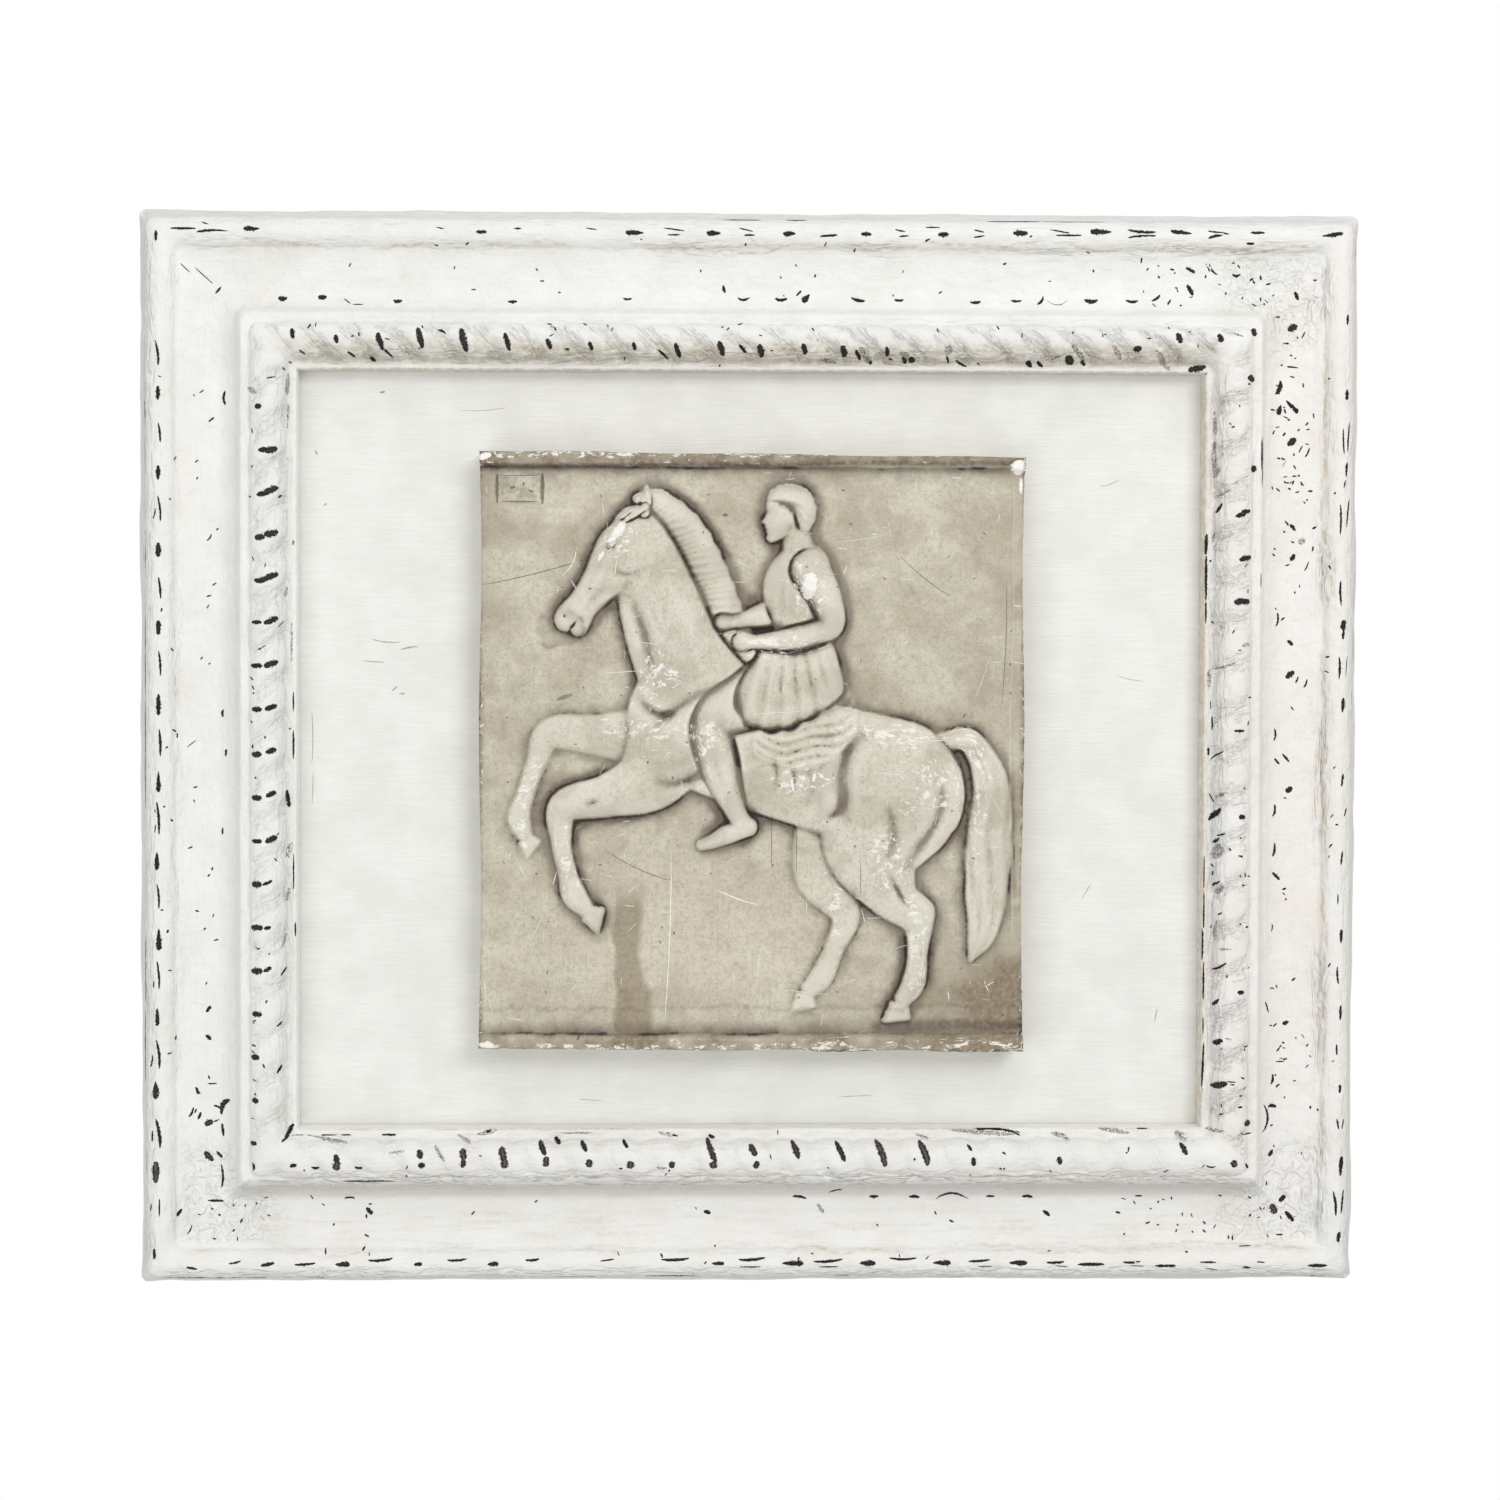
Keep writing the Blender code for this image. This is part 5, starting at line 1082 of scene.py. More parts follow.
def closed_slab(name, front, back_y, layers, unevenness):
    """A front grid of points with its rim carried back in layers to one plane and closed.

    The layers wander in towards the middle by noise of the place along the rim and the depth.
    """
    rows, columns = front.shape[:2]
    index = np.arange(rows * columns).reshape(rows, columns)
    rim = np.concatenate([index[0], index[1:, -1], index[-1, -2::-1], index[-2:0:-1, 0]])
    edge = front.reshape(-1, 3)[rim]
    share = np.linspace(0, 1, layers + 1)[1:, None]
    depth = edge[:, 1] + share * (back_y - edge[:, 1])
    run = np.cumsum(np.hypot(*np.diff(edge[:, [0, 2]], axis=0, prepend=edge[:1, [0, 2]]).T)) / MM
    inward = 1 - unevenness * (1 + layered_noise(run / 8, depth / MM / 3, 95, 3)) * between(share, 0, 0.1)
    middle = edge[:, [0, 2]].mean(0)
    x, z = (middle[i] + (edge[:, 2 * i] - middle[i]) * inward for i in (0, 1))
    points = np.vstack([front.reshape(-1, 3), np.stack([x, depth, z], -1).reshape(-1, 3)])
    rings = np.vstack([rim, rows * columns + np.arange(layers * len(rim)).reshape(layers, -1)])
    after = np.roll(rings, -1, 1)
    walls = np.stack([rings[:-1], rings[1:], after[1:], after[:-1]], -1).reshape(-1, 4)
    faces = grid_quads(rows, columns).tolist() + walls.tolist() + [rings[-1][::-1].tolist()]
    return mesh_object(name, points, faces, flat=1 + len(walls))


def smooth_curve(points, closed=False, per_span=8):
    """Catmull-Rom curve through the points: each span is a cubic of its four nearest points."""
    p = np.array(points, float)
    ends = (p[-1:], p[:2]) if closed else (2 * p[:1] - p[1:2], 2 * p[-1:] - p[-2:-1])
    p = np.vstack([ends[0], p, ends[1]])
    t = np.linspace(0, 1, per_span, endpoint=False)[:, None]
    spans = [
        0.5 * (2 * b + (c - a) * t + (2 * a - 5 * b + 4 * c - d) * t**2 + (3 * b - a - 3 * c + d) * t**3)
        for a, b, c, d in zip(p[:-3], p[1:-2], p[2:-1], p[3:])
    ]
    return np.vstack([*spans, p[-2:-1]])


def near(x, z, curve, margin):
    """Where a point lies in the box round a curve, widened by the margin."""
    low, high = curve[:, :2].min(0) - margin, curve[:, :2].max(0) + margin
    return (x > low[0]) & (x < high[0]) & (z > low[1]) & (z < high[1])


def spread(mask, values, empty):
    """A full field with the values where the mask holds and the empty value elsewhere."""
    full = np.full(mask.shape, empty)
    full[mask] = values
    return full


def limb(x, z, points):
    """Distance to a limb's skin (below 0 inside), its crown, and the shares along and across it.

    A limb is a chain of tapering spans. Its skin is the distance to the middle line less the radius
    there, and its crown is a dome of the share of the radius, raised on a straight edge.
    """
    curve = smooth_curve(points)
    mask = near(x, z, curve, curve[:, 2].max() + REACH)
    gx, gz = x[mask], z[mask]
    skin = np.full(gx.shape, FAR)
    crown, along, across = np.zeros((3, *gx.shape))
    start = 0.0
    for (ax, az, ar, at), (bx, bz, br, bt) in zip(curve[:-1], curve[1:]):
        dx, dz = bx - ax, bz - az
        length = math.hypot(dx, dz)
        t = np.clip(((gx - ax) * dx + (gz - az) * dz) / length**2, 0, 1)
        px, pz = gx - ax - t * dx, gz - az - t * dz
        radius = ar + t * (br - ar)
        distance = np.sqrt(px * px + pz * pz)
        gap = distance - radius
        closest = gap < skin
        skin[closest] = gap[closest]
        along[closest] = (start + t * length)[closest]
        across[closest] = ((px * dz - pz * dx) / (length * radius))[closest]
        dome = np.clip(1 - (distance / radius) ** 2, 0, 1) ** CROWN_POWER
        rise = (at + t * (bt - at)) * (EDGE_SHARE + (1 - EDGE_SHARE) * dome)
        np.maximum(crown, rise * np.clip(1 - gap / REACH, 0, 1), out=crown)
        start += length
    shares = [spread(mask, share, 0.0) for share in (along / start, across)]
    return (spread(mask, skin, FAR), spread(mask, crown, 0.0), *shares)


def outline(x, z, points, top, roundness):
    """Distance to a closed smooth outline and its crown: a rounded edge and a level top."""
    curve = smooth_curve(points, closed=True, per_span=6)
    mask = near(x, z, curve, REACH)
    gx, gz = x[mask], z[mask]
    distance = np.full(gx.shape, FAR)
    inside = np.zeros(gx.shape, bool)
    for (ax, az), (bx, bz) in zip(curve[:-1], curve[1:]):
        dx, dz = bx - ax, bz - az
        t = np.clip(((gx - ax) * dx + (gz - az) * dz) / (dx * dx + dz * dz), 0, 1)
        distance = np.minimum(distance, np.hypot(gx - ax - t * dx, gz - az - t * dz))
        if dz:
            inside ^= ((az > gz) != (bz > gz)) & (gx < ax + (gz - az) * dx / dz)
    skin = np.where(inside, -distance, distance)
    depth = np.clip(-skin / roundness, 0, 1)
    dome = (1 - (1 - depth) ** 2) ** CROWN_POWER
    crown = top * (EDGE_SHARE + (1 - EDGE_SHARE) * dome) * np.clip(1 - skin / REACH, 0, 1)
    return spread(mask, skin, FAR), spread(mask, crown, 0.0)


def placed(points, place):
    """Points drawn in a form's own frame, turned, sized and moved to their place."""
    (across, height), turn, size = place
    c, s = math.cos(math.radians(turn)), math.sin(math.radians(turn))
    return [
        (across + size * (a * c - b * s), height + size * (a * s + b * c), *rest) for a, b, *rest in points
    ]


def own_frame(x, z, place):
    """Points of the slab in a form's own frame: moved back, turned back and divided by its size."""
    (across, height), turn, size = place
    c, s = math.cos(math.radians(turn)), math.sin(math.radians(turn))
    dx, dz = (x - across) / size, (z - height) / size
    return dx * c + dz * s, dz * c - dx * s


def soft_min(a, b, softness):
    """The smaller of two values, blended by a parabola where they differ by less than the softness."""
    share = np.clip(0.5 + 0.5 * (b - a) / softness, 0, 1)
    return b + (a - b) * share - softness * share * (1 - share)


def join(forms, softness):
    """Forms grown together, with a soft hollow where they meet."""
    skin, crown = forms[0][:2]
    for form in forms[1:]:
        skin = soft_min(skin, form[0], softness)
        crown = -soft_min(-crown, -form[1], CROWN_BLEND)
    return skin, crown


def cover(skin, width=CUT_WIDTH):
    """1 inside a form and 0 outside it, across the width of its cut edge."""
    return between(-skin, -width / 2, width / 2)


def lay(ground, form):
    """A form laid over what is there already, with an edge of its own."""
    share = cover(form[0])
    return ground * (1 - share) + form[1] * share


def cuts(x, z, lines):
    """Soft cuts and rolls: a bell across each line that swells from nothing at both of its ends."""
    total = np.zeros(x.shape)
    for points, width, rise in lines:
        curve = smooth_curve(points, per_span=5)
        mask = near(x, z, curve, 2.6 * width)
        gx, gz = x[mask], z[mask]
        distance = np.full(gx.shape, FAR)
        share = np.zeros(gx.shape)
        count = len(curve) - 1
        for i, ((ax, az), (bx, bz)) in enumerate(zip(curve[:-1], curve[1:])):
            dx, dz = bx - ax, bz - az
            t = np.clip(((gx - ax) * dx + (gz - az) * dz) / (dx * dx + dz * dz), 0, 1)
            gap = np.hypot(gx - ax - t * dx, gz - az - t * dz)
            closest = gap < distance
            distance[closest] = gap[closest]
            share[closest] = ((i + t) / count)[closest]
        total += spread(mask, rise * np.sin(np.pi * share) * bell(distance, width), 0.0)
    return total


def swells(x, z, spots):
    """Soft oval rises and hollows: bells over two radii, turned by degrees."""
    total = np.zeros(x.shape)
    for (across, height), radii, turn, rise in spots:
        c, s = math.cos(math.radians(turn)), math.sin(math.radians(turn))
        dx, dz = x - across, z - height
        total += rise * bell(np.hypot((dx * c + dz * s) / radii[0], (dz * c - dx * s) / radii[1]), 1)
    return total


def horse(x, z, ground):
    """The horse: far legs and tail low down, then the body with its near legs, head, mane and ear."""
    for points, place in ((FAR_FORE, FAR_FORE_HOOF_PLACE), (FAR_HIND, FAR_HIND_HOOF_PLACE)):
        hoof = outline(x, z, placed(HOOF, place), 4.0, 0.010)
        skin, crown = join([limb(x, z, points), hoof], HOOF_BLEND)
        ground = lay(ground, (skin, FAR_SHARE * crown))
    skin, crown, along, across = limb(x, z, TAIL)
    strands = 0.38 * np.sin(7.5 * across + 2.2 * np.sin(9 * along))
    strands += 0.22 * np.sin(15 * across + 8 * along + np.sin(21 * along))
    ground = lay(ground, (skin + 0.0012 * np.sin(40 * along), crown + strands))
    forms = [limb(x, z, points) for points in (BARREL, NECK, NEAR_FORE, NEAR_HIND, HOCK)]
    for place in (NEAR_FORE_HOOF_PLACE, NEAR_HIND_HOOF_PLACE):
        forms.append(outline(x, z, placed(HOOF, place), 5.8, 0.010))
    head = outline(x, z, placed(HORSE_HEAD, HORSE_HEAD_PLACE), 7.2, 0.036)
    body = join([join(forms, BODY_BLEND), head], HEAD_BLEND)
    ground = lay(ground, body)
    muscles = cuts(x, z, HORSE_CUTS) + swells(x, z, HORSE_SWELLS)
    ground = ground + MODELLING * cover(body[0]) * muscles
    a, b = own_frame(x, z, HORSE_HEAD_PLACE)
    features = cuts(a, b, HORSE_HEAD_CUTS) + swells(a, b, HORSE_HEAD_SWELLS)
    lid = np.hypot((a - 0.285) / 1.7, (b + 0.085) - 0.4 * (a - 0.285) ** 2) - 0.026
    ground = ground + cover(head[0]) * HEAD_MODELLING * (features - 1.1 * bell(lid, 0.014))
    skin, crown, along, across = limb(x, z, MANE)
    locks = 0.34 * np.sin(210 * along + 4.5 * across + 2.4 * np.sin(29 * along))
    locks += 0.16 * np.sin(390 * along - 3.0 * across + 3.0 * np.sin(47 * along))
    edge = 0.0016 * np.sin(75 * along) * (across > 0)
    ground = lay(ground, (skin + edge, crown + locks * cover(skin, 0.004)))
    ear = outline(x, z, placed(EAR, HORSE_HEAD_PLACE), 8.0, 0.008)
    ground = lay(ground, ear) + cover(ear[0], 0.003) * cuts(a, b, [EAR_CUT])
    for points in FORELOCKS:
        skin, crown, along, across = limb(x, z, placed(points, HORSE_HEAD_PLACE))
        ground = lay(ground, (skin, crown + 0.25 * np.sin(7 * across)))
    return ground


def rider(x, z, ground):
    """The rider: far arm, saddle cloth, trunk and head, leg, pleated skirt and near arm."""
    ground = lay(ground, limb(x, z, FAR_ARM))
    skin = outline(x, z, SADDLE_CLOTH, 1.0, 0.008)[0]
    ring = np.hypot(x - 0.075, 1.15 * (z - 0.640)) + 0.006 * np.sin(60 * x + 2)
    folds = 0.5 * np.sin(340 * ring) * np.clip(-skin / 0.008, 0, 1)
    ground = ground + cover(skin) * (1.0 + folds)
    head = outline(x, z, placed(RIDER_HEAD, RIDER_HEAD_PLACE), 7.8, 0.028)
    figure = join([limb(x, z, TORSO), limb(x, z, THROAT), head], THROAT_BLEND)
    ground = lay(ground, figure) + cover(figure[0]) * cuts(x, z, TUNIC_CUTS)
    a, b = own_frame(x, z, RIDER_HEAD_PLACE)
    ground = ground + cover(head[0]) * (cuts(a, b, FACE_CUTS) + swells(a, b, FACE_SWELLS))
    skin, crown = outline(x, z, placed(HAIR, RIDER_HEAD_PLACE), 8.8, 0.030)
    turn, out = np.arctan2(b - 0.28, a - 0.12), np.hypot(b - 0.28, a - 0.12)
    strands = 0.32 * np.sin(19 * turn + 5 * np.sin(6 * out)) * between(out, 0.05, 0.22)
    strands += 0.14 * np.sin(41 * turn - 9 * out) * between(out, 0.12, 0.3)
    ground = lay(ground, (skin + 0.0010 * np.sin(17 * turn), crown + strands * cover(skin, 0.004)))
    ground = ground + cover(skin, 0.003) * cuts(a, b, [HEAD_BAND, NAPE_ROLL])
    leg = join([limb(x, z, THIGH), limb(x, z, FOOT)], ANKLE_BLEND)
    ground = lay(ground, leg)
    ground = ground + cover(leg[0]) * (cuts(x, z, LEG_CUTS) + swells(x, z, LEG_SWELLS))
    skin, crown = outline(x, z, SKIRT, 11.0, 0.035)
    angle = np.arctan2(x - 0.075, 0.800 - z)
    growth = np.clip((0.690 - z) / 0.050, 0.15, 1)
    pleats = 0.5 * np.sin(46 * angle + 1.5 * np.sin(20 * z)) + 0.18 * np.sin(97 * angle + 2 * np.sin(31 * z))
    ground = lay(ground, (skin + 0.0018 * np.sin(46 * angle), crown + pleats * growth))
    arm = limb(x, z, NEAR_ARM)
    return lay(ground, arm) + cover(arm[0]) * cuts(x, z, ARM_CUTS)


def slab_edges(across):
    """Heights of the slab's uneven upper and lower edges; across runs from -1 to 1 over its width."""
    share = (across + 1) / 2
    waves, start, strength = UPPER_EDGE_WAVE
    upper = SLAB_HEIGHT - TOP_DROP * share + strength * EDGE_WAVE * np.sin(waves * across + start)
    waves, start = LOWER_EDGE_WAVE
    spell = bell(across - LOWER_WAVE_CENTRE, LOWER_WAVE_SPREAD)
    lower = BOTTOM_DROP * (0.5 - share) + EDGE_WAVE * spell * np.sin(waves * across + start)
    return upper, lower


def from_panel(x, z):
    """Distance to the sunk label panel's edge, below 0 inside, on the slab's own places in metres."""
    across = np.abs(x - PANEL_CENTRE[0]) - PANEL_SIZE[0] / 2
    return np.maximum(across, np.abs(z - PANEL_CENTRE[1]) - PANEL_SIZE[1] / 2)


def slab_face(x, z, upper, lower, side, pitch):
    """How far the slab's face stands off its back, in metres, with the figures' height in millimetres.

    The figures, softened by wear, and the bands above and below them stand on a slightly uneven
    ground. The sunk label panel has a raised rim, and the arrises are rounded and chipped by noise.
    """
    group_x, group_z = x / SLAB_HEIGHT, z / SLAB_HEIGHT
    figures = rider(group_x, group_z, horse(group_x, group_z, np.zeros(x.shape)))
    figures = blurred(figures, CARVING_SOFTNESS * MM / pitch)
    mx, mz = x / MM, z / MM
    figures += 0.10 * layered_noise(mx / 9, mz / 9, 71, 3) + 0.05 * value_noise(mx / 1.6, mz / 1.6, 75)
    pits = between(value_noise(mx / 1.3, mz / 1.3, 77) * value_noise(mx / 13, mz / 13, 78), 0.35, 0.6)
    height = figures * MM - PIT_DEPTH * pits
    band = np.minimum(upper - z, z - lower)
    worn_band = band + BAND_WAVER * layered_noise(mx / 14, mz / 5, 81)
    slope = between(BAND_HEIGHT - worn_band, 0, BAND_SLOPE * BAND_HEIGHT)
    height = np.maximum(height, BAND_RISE * slope + GROUND_WAVER * layered_noise(mx / 7, mz / 7, 83))
    height += PANEL_RISE * bell(from_panel(x, z), PANEL_BORDER)
    seam = x - SEAM_PLACE - SEAM_WAVER * layered_noise(mz / 30, mz * 0, 87, 2)
    height += SEAM_RISE * bell(seam, SEAM_WIDTH) * span(z, *SEAM_ENDS)
    chips = 1 + 0.9 * layered_noise(mx / 6, mz / 6, 85)
    edge = np.clip(1 - np.minimum(band, side) / (EDGE_WEAR * np.clip(chips, 0.35, 2)), 0, 1)
    height -= EDGE_LOSS * edge**2 * np.clip(chips, 0.5, 1.6)
    return SLAB_THICKNESS + height, figures


def read_grid(layer, column, row):
    """Values between the points of a grid: the four nearest ones weighed by how near they are."""
    c, r = column.astype(int), row.astype(int)
    u, v = (column - c)[:, None], (row - r)[:, None]
    below = layer[r, c] * (1 - u) + layer[r, c + 1] * u
    above = layer[r + 1, c] * (1 - u) + layer[r + 1, c + 1] * u
    return below * (1 - v) + above * v


def make_plaque():
    """The plaster slab: a fine grid over its uneven outline, raised by slab_face and closed behind.

    Its hollows are the blurred face less the face, narrow and wide; dirt lies in them, and painted shade
    also lies in the wide ones. The shares are read off the grid at every vertex that is left and give
    way to the sides' looks behind the front.
    """
    pitch = 0.00055
    rows, columns = round(SLAB_HEIGHT / pitch) + 1, round(SLAB_WIDTH / pitch) + 1
    share, across = np.meshgrid(np.linspace(0, 1, rows), np.linspace(-1, 1, columns), indexing="ij")
    upper, lower = slab_edges(across)
    waves, start = SIDE_EDGE_WAVE
    x = across * (SLAB_WIDTH / 2 + EDGE_WAVE * np.sin(waves * share + start))
    z = lower + share * (upper - lower)
    side = (1 - np.abs(across)) * SLAB_WIDTH / 2
    face, figures = slab_face(x, z, upper, lower, side, pitch)
    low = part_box("plaster_plaque")[0]
    y = np.maximum(-(REBATE_HEIGHT + face), low.y + BOX_MARGIN)
    front = np.stack([x, y, z - SLAB_HEIGHT / 2 + CENTRE_Z], -1)
    plaque = closed_slab("relief_plaque", front, -REBATE_HEIGHT, 10, SIDE_UNEVENNESS)
    narrow = (blurred(face, NARROW_HOLLOW / pitch) - face) / (0.46 * MM)
    wide = (blurred(face, WIDE_HOLLOW / pitch) - face) / (2.1 * MM)
    raised = between(figures, 0.8, 2.2)
    mx, mz = x / MM, (z - SLAB_HEIGHT / 2) / MM
    flecked = worn_areas(mx, mz, narrow, raised)
    relief = np.stack([0.5 + 0.5 * narrow, 0.5 + 0.5 * wide, raised, flecked], -1)
    triangles = 2 * (rows - 1) * (columns - 1) + 4 * (rows + columns)
    if triangles > MOST_TRIANGLES:
        thin = plaque.modifiers.new("fewer faces", "DECIMATE")
        thin.ratio = MOST_TRIANGLES / triangles
        apply_modifiers(plaque)
    points = vertex_places(plaque.data)
    column = np.clip((points[:, 0] / SLAB_WIDTH + 0.5) * (columns - 1), 0, columns - 1.001)
    row = np.clip(((points[:, 2] - CENTRE_Z) / SLAB_HEIGHT + 0.5) * (rows - 1), 0, rows - 1.001)
    behind = between(points[:, 1] + REBATE_HEIGHT + SLAB_THICKNESS, 0.0008, 0.0030)[:, None]
    for name, layer in (("relief", relief), ("stains", stains(mx, mz))):
        values = read_grid(layer, column, row)
        add_shares(plaque, name, values * (1 - behind) + np.array(SIDE_LOOKS[name]) * behind)
    add_marks(plaque, plaster_marks())
    return plaque


def stains(x, z):
    """Shares of brown stain, grime and painted shadow, pale worn ground and soot, in millimetres from the
    middle.

    Each is a sum of soft-edged areas whose places are shifted by slow noise.
    """
    wx = x + 6 * layered_noise(x / 28, z / 28, 101)
    wz = z + 5 * layered_noise(x / 24, z / 24, 104)
    fine = layered_noise(x / 7, z / 7, 107, 3)
    water = between(x + 1.5 * fine, -77, -75) * between(wx, -54, -60) * between(z, -70, -90)
    brown = 1.15 * oval(wx, wz, (134, -141), (34, 22)) + 0.75 * water + 0.25 * bell(wx - 150, 14)
    ring = np.hypot(wx + 104, (wz - 68) * 1.2) - 13
    brown += 0.75 * bell(ring, 1.4) * between(fine, -0.6, 0.3) + 0.3 * bell(ring + 3, 3)
    brown += 0.30 * between(wx, -130, -152) * between(z, 20, 90)
    brown += between(np.abs(z), 156.2, 157.6) * (0.74 + 0.10 * np.sign(z) + 0.30 * fine)
    clouds = layered_noise(x / 21, z / 17, 113, 3) - 0.4 * between(z, -20, -80)
    brown += 0.22 * between(clouds, 0.05, 0.6)
    on_band = between(z + 149.5 + 1.2 * fine, 1.0, -2.5) * between(z, -157.5, -155.5)
    # grime above the lower band, and a painted shadow line under the upper band's lower edge
    dark = on_band * (0.20 + 0.40 * between(x + 25 * fine, 30, 100)) + 0.75 * bell(z - 157.3, 1.8)
    rim = from_panel(x * MM, z * MM + SLAB_HEIGHT / 2) / MM
    grit = between(layered_noise(x / 2.2, z / 2.2, 121), 0.0, 0.5)
    dark += 0.60 * bell(rim - 0.3, 0.8) * between(fine, -0.9, 0.4) + 0.40 * between(rim, 0, -2) * grit
    dark += 0.35 * between(np.abs(x), 148.5, 151) + 0.30 * bell(z + 143 - 1.5 * fine, 0.8)
    pale = 0.9 * oval(wx, wz, (-30, -105), (95, 48)) + 0.35 * oval(wx, wz, (-20, 120), (60, 30))
    soot = between(layered_noise(x / 24, z / 24, 110, 3), -0.25, 0.65)
    soot += sum(oval(wx, wz, area[:2], area[2:]) for area in SOOTY_AREAS)
    return np.stack([brown, dark, pale, soot], -1)


def worn_areas(x, z, narrow, raised):
    """Where the surface is flecked white: soft areas on the figures, crests and the slab's arrises."""
    worn = sum(oval(x, z, area[:2], area[2:]) for area in WORN_AREAS) * raised
    worn += 0.8 * between(np.abs(x), 147.5, 150.5)
    worn += 0.66 * between(np.abs(z), 160, 164) + 0.5 * between(np.abs(z), 157, 158)
    worn += 0.40 * between(-narrow, 0.10, 0.45) * (0.4 + 0.6 * raised) + 0.10 * raised
    return np.clip(worn, 0, 1)


def plaster_marks():
    """Chips, scratches, drips and specks on the plaster: the listed ones and seeded scattered ones."""
    luck = np.random.default_rng(5)
    marks = list(PLASTER_MARKS)
    for _ in range(FINE_SCRATCHES):
        x, z = luck.uniform(-148, 148), luck.uniform(-150, 156)
        tilt = luck.choice([0, 0, 90, luck.uniform(-180, 180)]) + luck.normal(0, 12)
        length, width, bend = luck.uniform(2, 9), luck.uniform(0.3, 0.7), luck.uniform(-0.2, 0.2)
        marks.append((x, z, length, width, tilt, bend, 0, luck.uniform(0.5, 0.85)))
    for _ in range(FINE_SPECKS):
        x, z = luck.uniform(-148, 148), luck.uniform(-150, 156)
        length, width, tilt = luck.uniform(0.8, 2.0), luck.uniform(0.5, 1.1), luck.uniform(0, 180)
        marks.append((x, z, length, width, tilt, 0, 0, 0.2))
    return marks


def apply_modifiers(piece):
    """The piece's mesh as its modifiers leave it, with the modifiers then taken off."""
    graph = bpy.context.evaluated_depsgraph_get()
    made = bpy.data.meshes.new_from_object(piece.evaluated_get(graph))
    made.name = piece.name
    piece.modifiers.clear()
    piece.data = made


def make_board():
    """The board: a grid with slight waves, its rim carried back and closed behind."""
    opening = RAIL_WIDTH - REBATE_WIDTH + BOARD_EDGE_CLEARANCE
    halves = FRAME_WIDTH / 2 - opening, FRAME_HEIGHT / 2 - opening
    x, z = np.meshgrid(*(np.linspace(-half, half, round(2 * half / BOARD_STEP)) for half in halves))
    low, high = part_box("backing_board")
    sink = BOARD_WAVE * (1 + layered_noise(x / MM / 60, z / MM / 45, 91, 2) * 0.5)
    front = np.stack([x, low.y + sink, z + CENTRE_Z], -1)
    board = closed_slab("painted_board", front, high.y, 2, 0)
    add_marks(board, BOARD_MARKS)
    return board


def node(tree, kind, inputs=(), **settings):
    """A shader node with its settings, and its inputs set or linked by name or number."""
    made = tree.nodes.new(kind)
    for name, value in settings.items():
        setattr(made, name, value)
    for name, value in dict(inputs).items():
        if isinstance(value, bpy.types.NodeSocket):
            tree.links.new(value, made.inputs[name])
        else:
            made.inputs[name].default_value = value
    return made


def calc(tree, operation, a, b=0.0, c=0.0):
    """A Math node's result."""
    return node(tree, "ShaderNodeMath", {0: a, 1: b, 2: c}, operation=operation).outputs[0]


def times(tree, a, b):
    """The product of two values."""
    return calc(tree, "MULTIPLY", a, b)


def off_middle(tree, value):
    """How far a noise value lies above or below its middle."""
    return calc(tree, "SUBTRACT", value, 0.5)


def ease(tree, value, low, high, to_low=0.0, to_high=1.0):
    """The value carried smoothly from one range to another and held at its ends."""
    inputs = {"Value": value, "From Min": low, "From Max": high, "To Min": to_low, "To Max": to_high}
    return node(tree, "ShaderNodeMapRange", inputs, interpolation_type="SMOOTHSTEP").outputs[0]


def noise(tree, vector, scale, detail=2.0, roughness=0.5, distortion=0.0):
    """Noise from 0 to 1; the scale is in waves per unit of the vector."""
    inputs = {"Vector": vector, "Scale": scale, "Detail": detail, "Roughness": roughness}
    return node(tree, "ShaderNodeTexNoise", {**inputs, "Distortion": distortion}).outputs[0]


def blend_colours(tree, share, first, second):
    """The second colour over the first one, as thick as its share."""
    return node(tree, "ShaderNodeMix", {0: share, 6: first, 7: second}, data_type="RGBA").outputs[2]


def coats(tree, colour, layers):
    """Colours laid over one another in turn, each as thick as its share."""
    for share, over in layers:
        colour = blend_colours(tree, share, colour, over)
    return colour


def scaled(tree, vector, size):
    """A vector with each part multiplied by its size."""
    return node(tree, "ShaderNodeMapping", {"Vector": vector, "Scale": size}).outputs[0]


def place_in_millimetres(tree):
    """The place on the object, in millimetres from the origin."""
    return scaled(tree, node(tree, "ShaderNodeTexCoord").outputs["Object"], PER_METRE)


def carried_shares(tree, name):
    """The four shares that the mesh carries under this name."""
    carried = node(tree, "ShaderNodeAttribute", attribute_name=name).outputs
    return *node(tree, "ShaderNodeSeparateColor", {0: carried["Color"]}).outputs[:3], carried["Alpha"]


def new_group(name, inputs, outputs):
    """A node group with named inputs and outputs, numbers all but Place; returns its tree and ends."""
    tree = bpy.data.node_groups.new(name, "ShaderNodeTree")
    for labels, way in ((inputs, "INPUT"), (outputs, "OUTPUT")):
        for label in labels:
            kind = "NodeSocketVector" if label == "Place" else "NodeSocketFloat"
            tree.interface.new_socket(name=label, in_out=way, socket_type=kind)
    return tree, tree.nodes.new("NodeGroupInput").outputs, tree.nodes.new("NodeGroupOutput").inputs


def group_node(tree, group, inputs):
    """A node group's results for these inputs."""
    return node(tree, "ShaderNodeGroup", inputs, node_tree=group).outputs


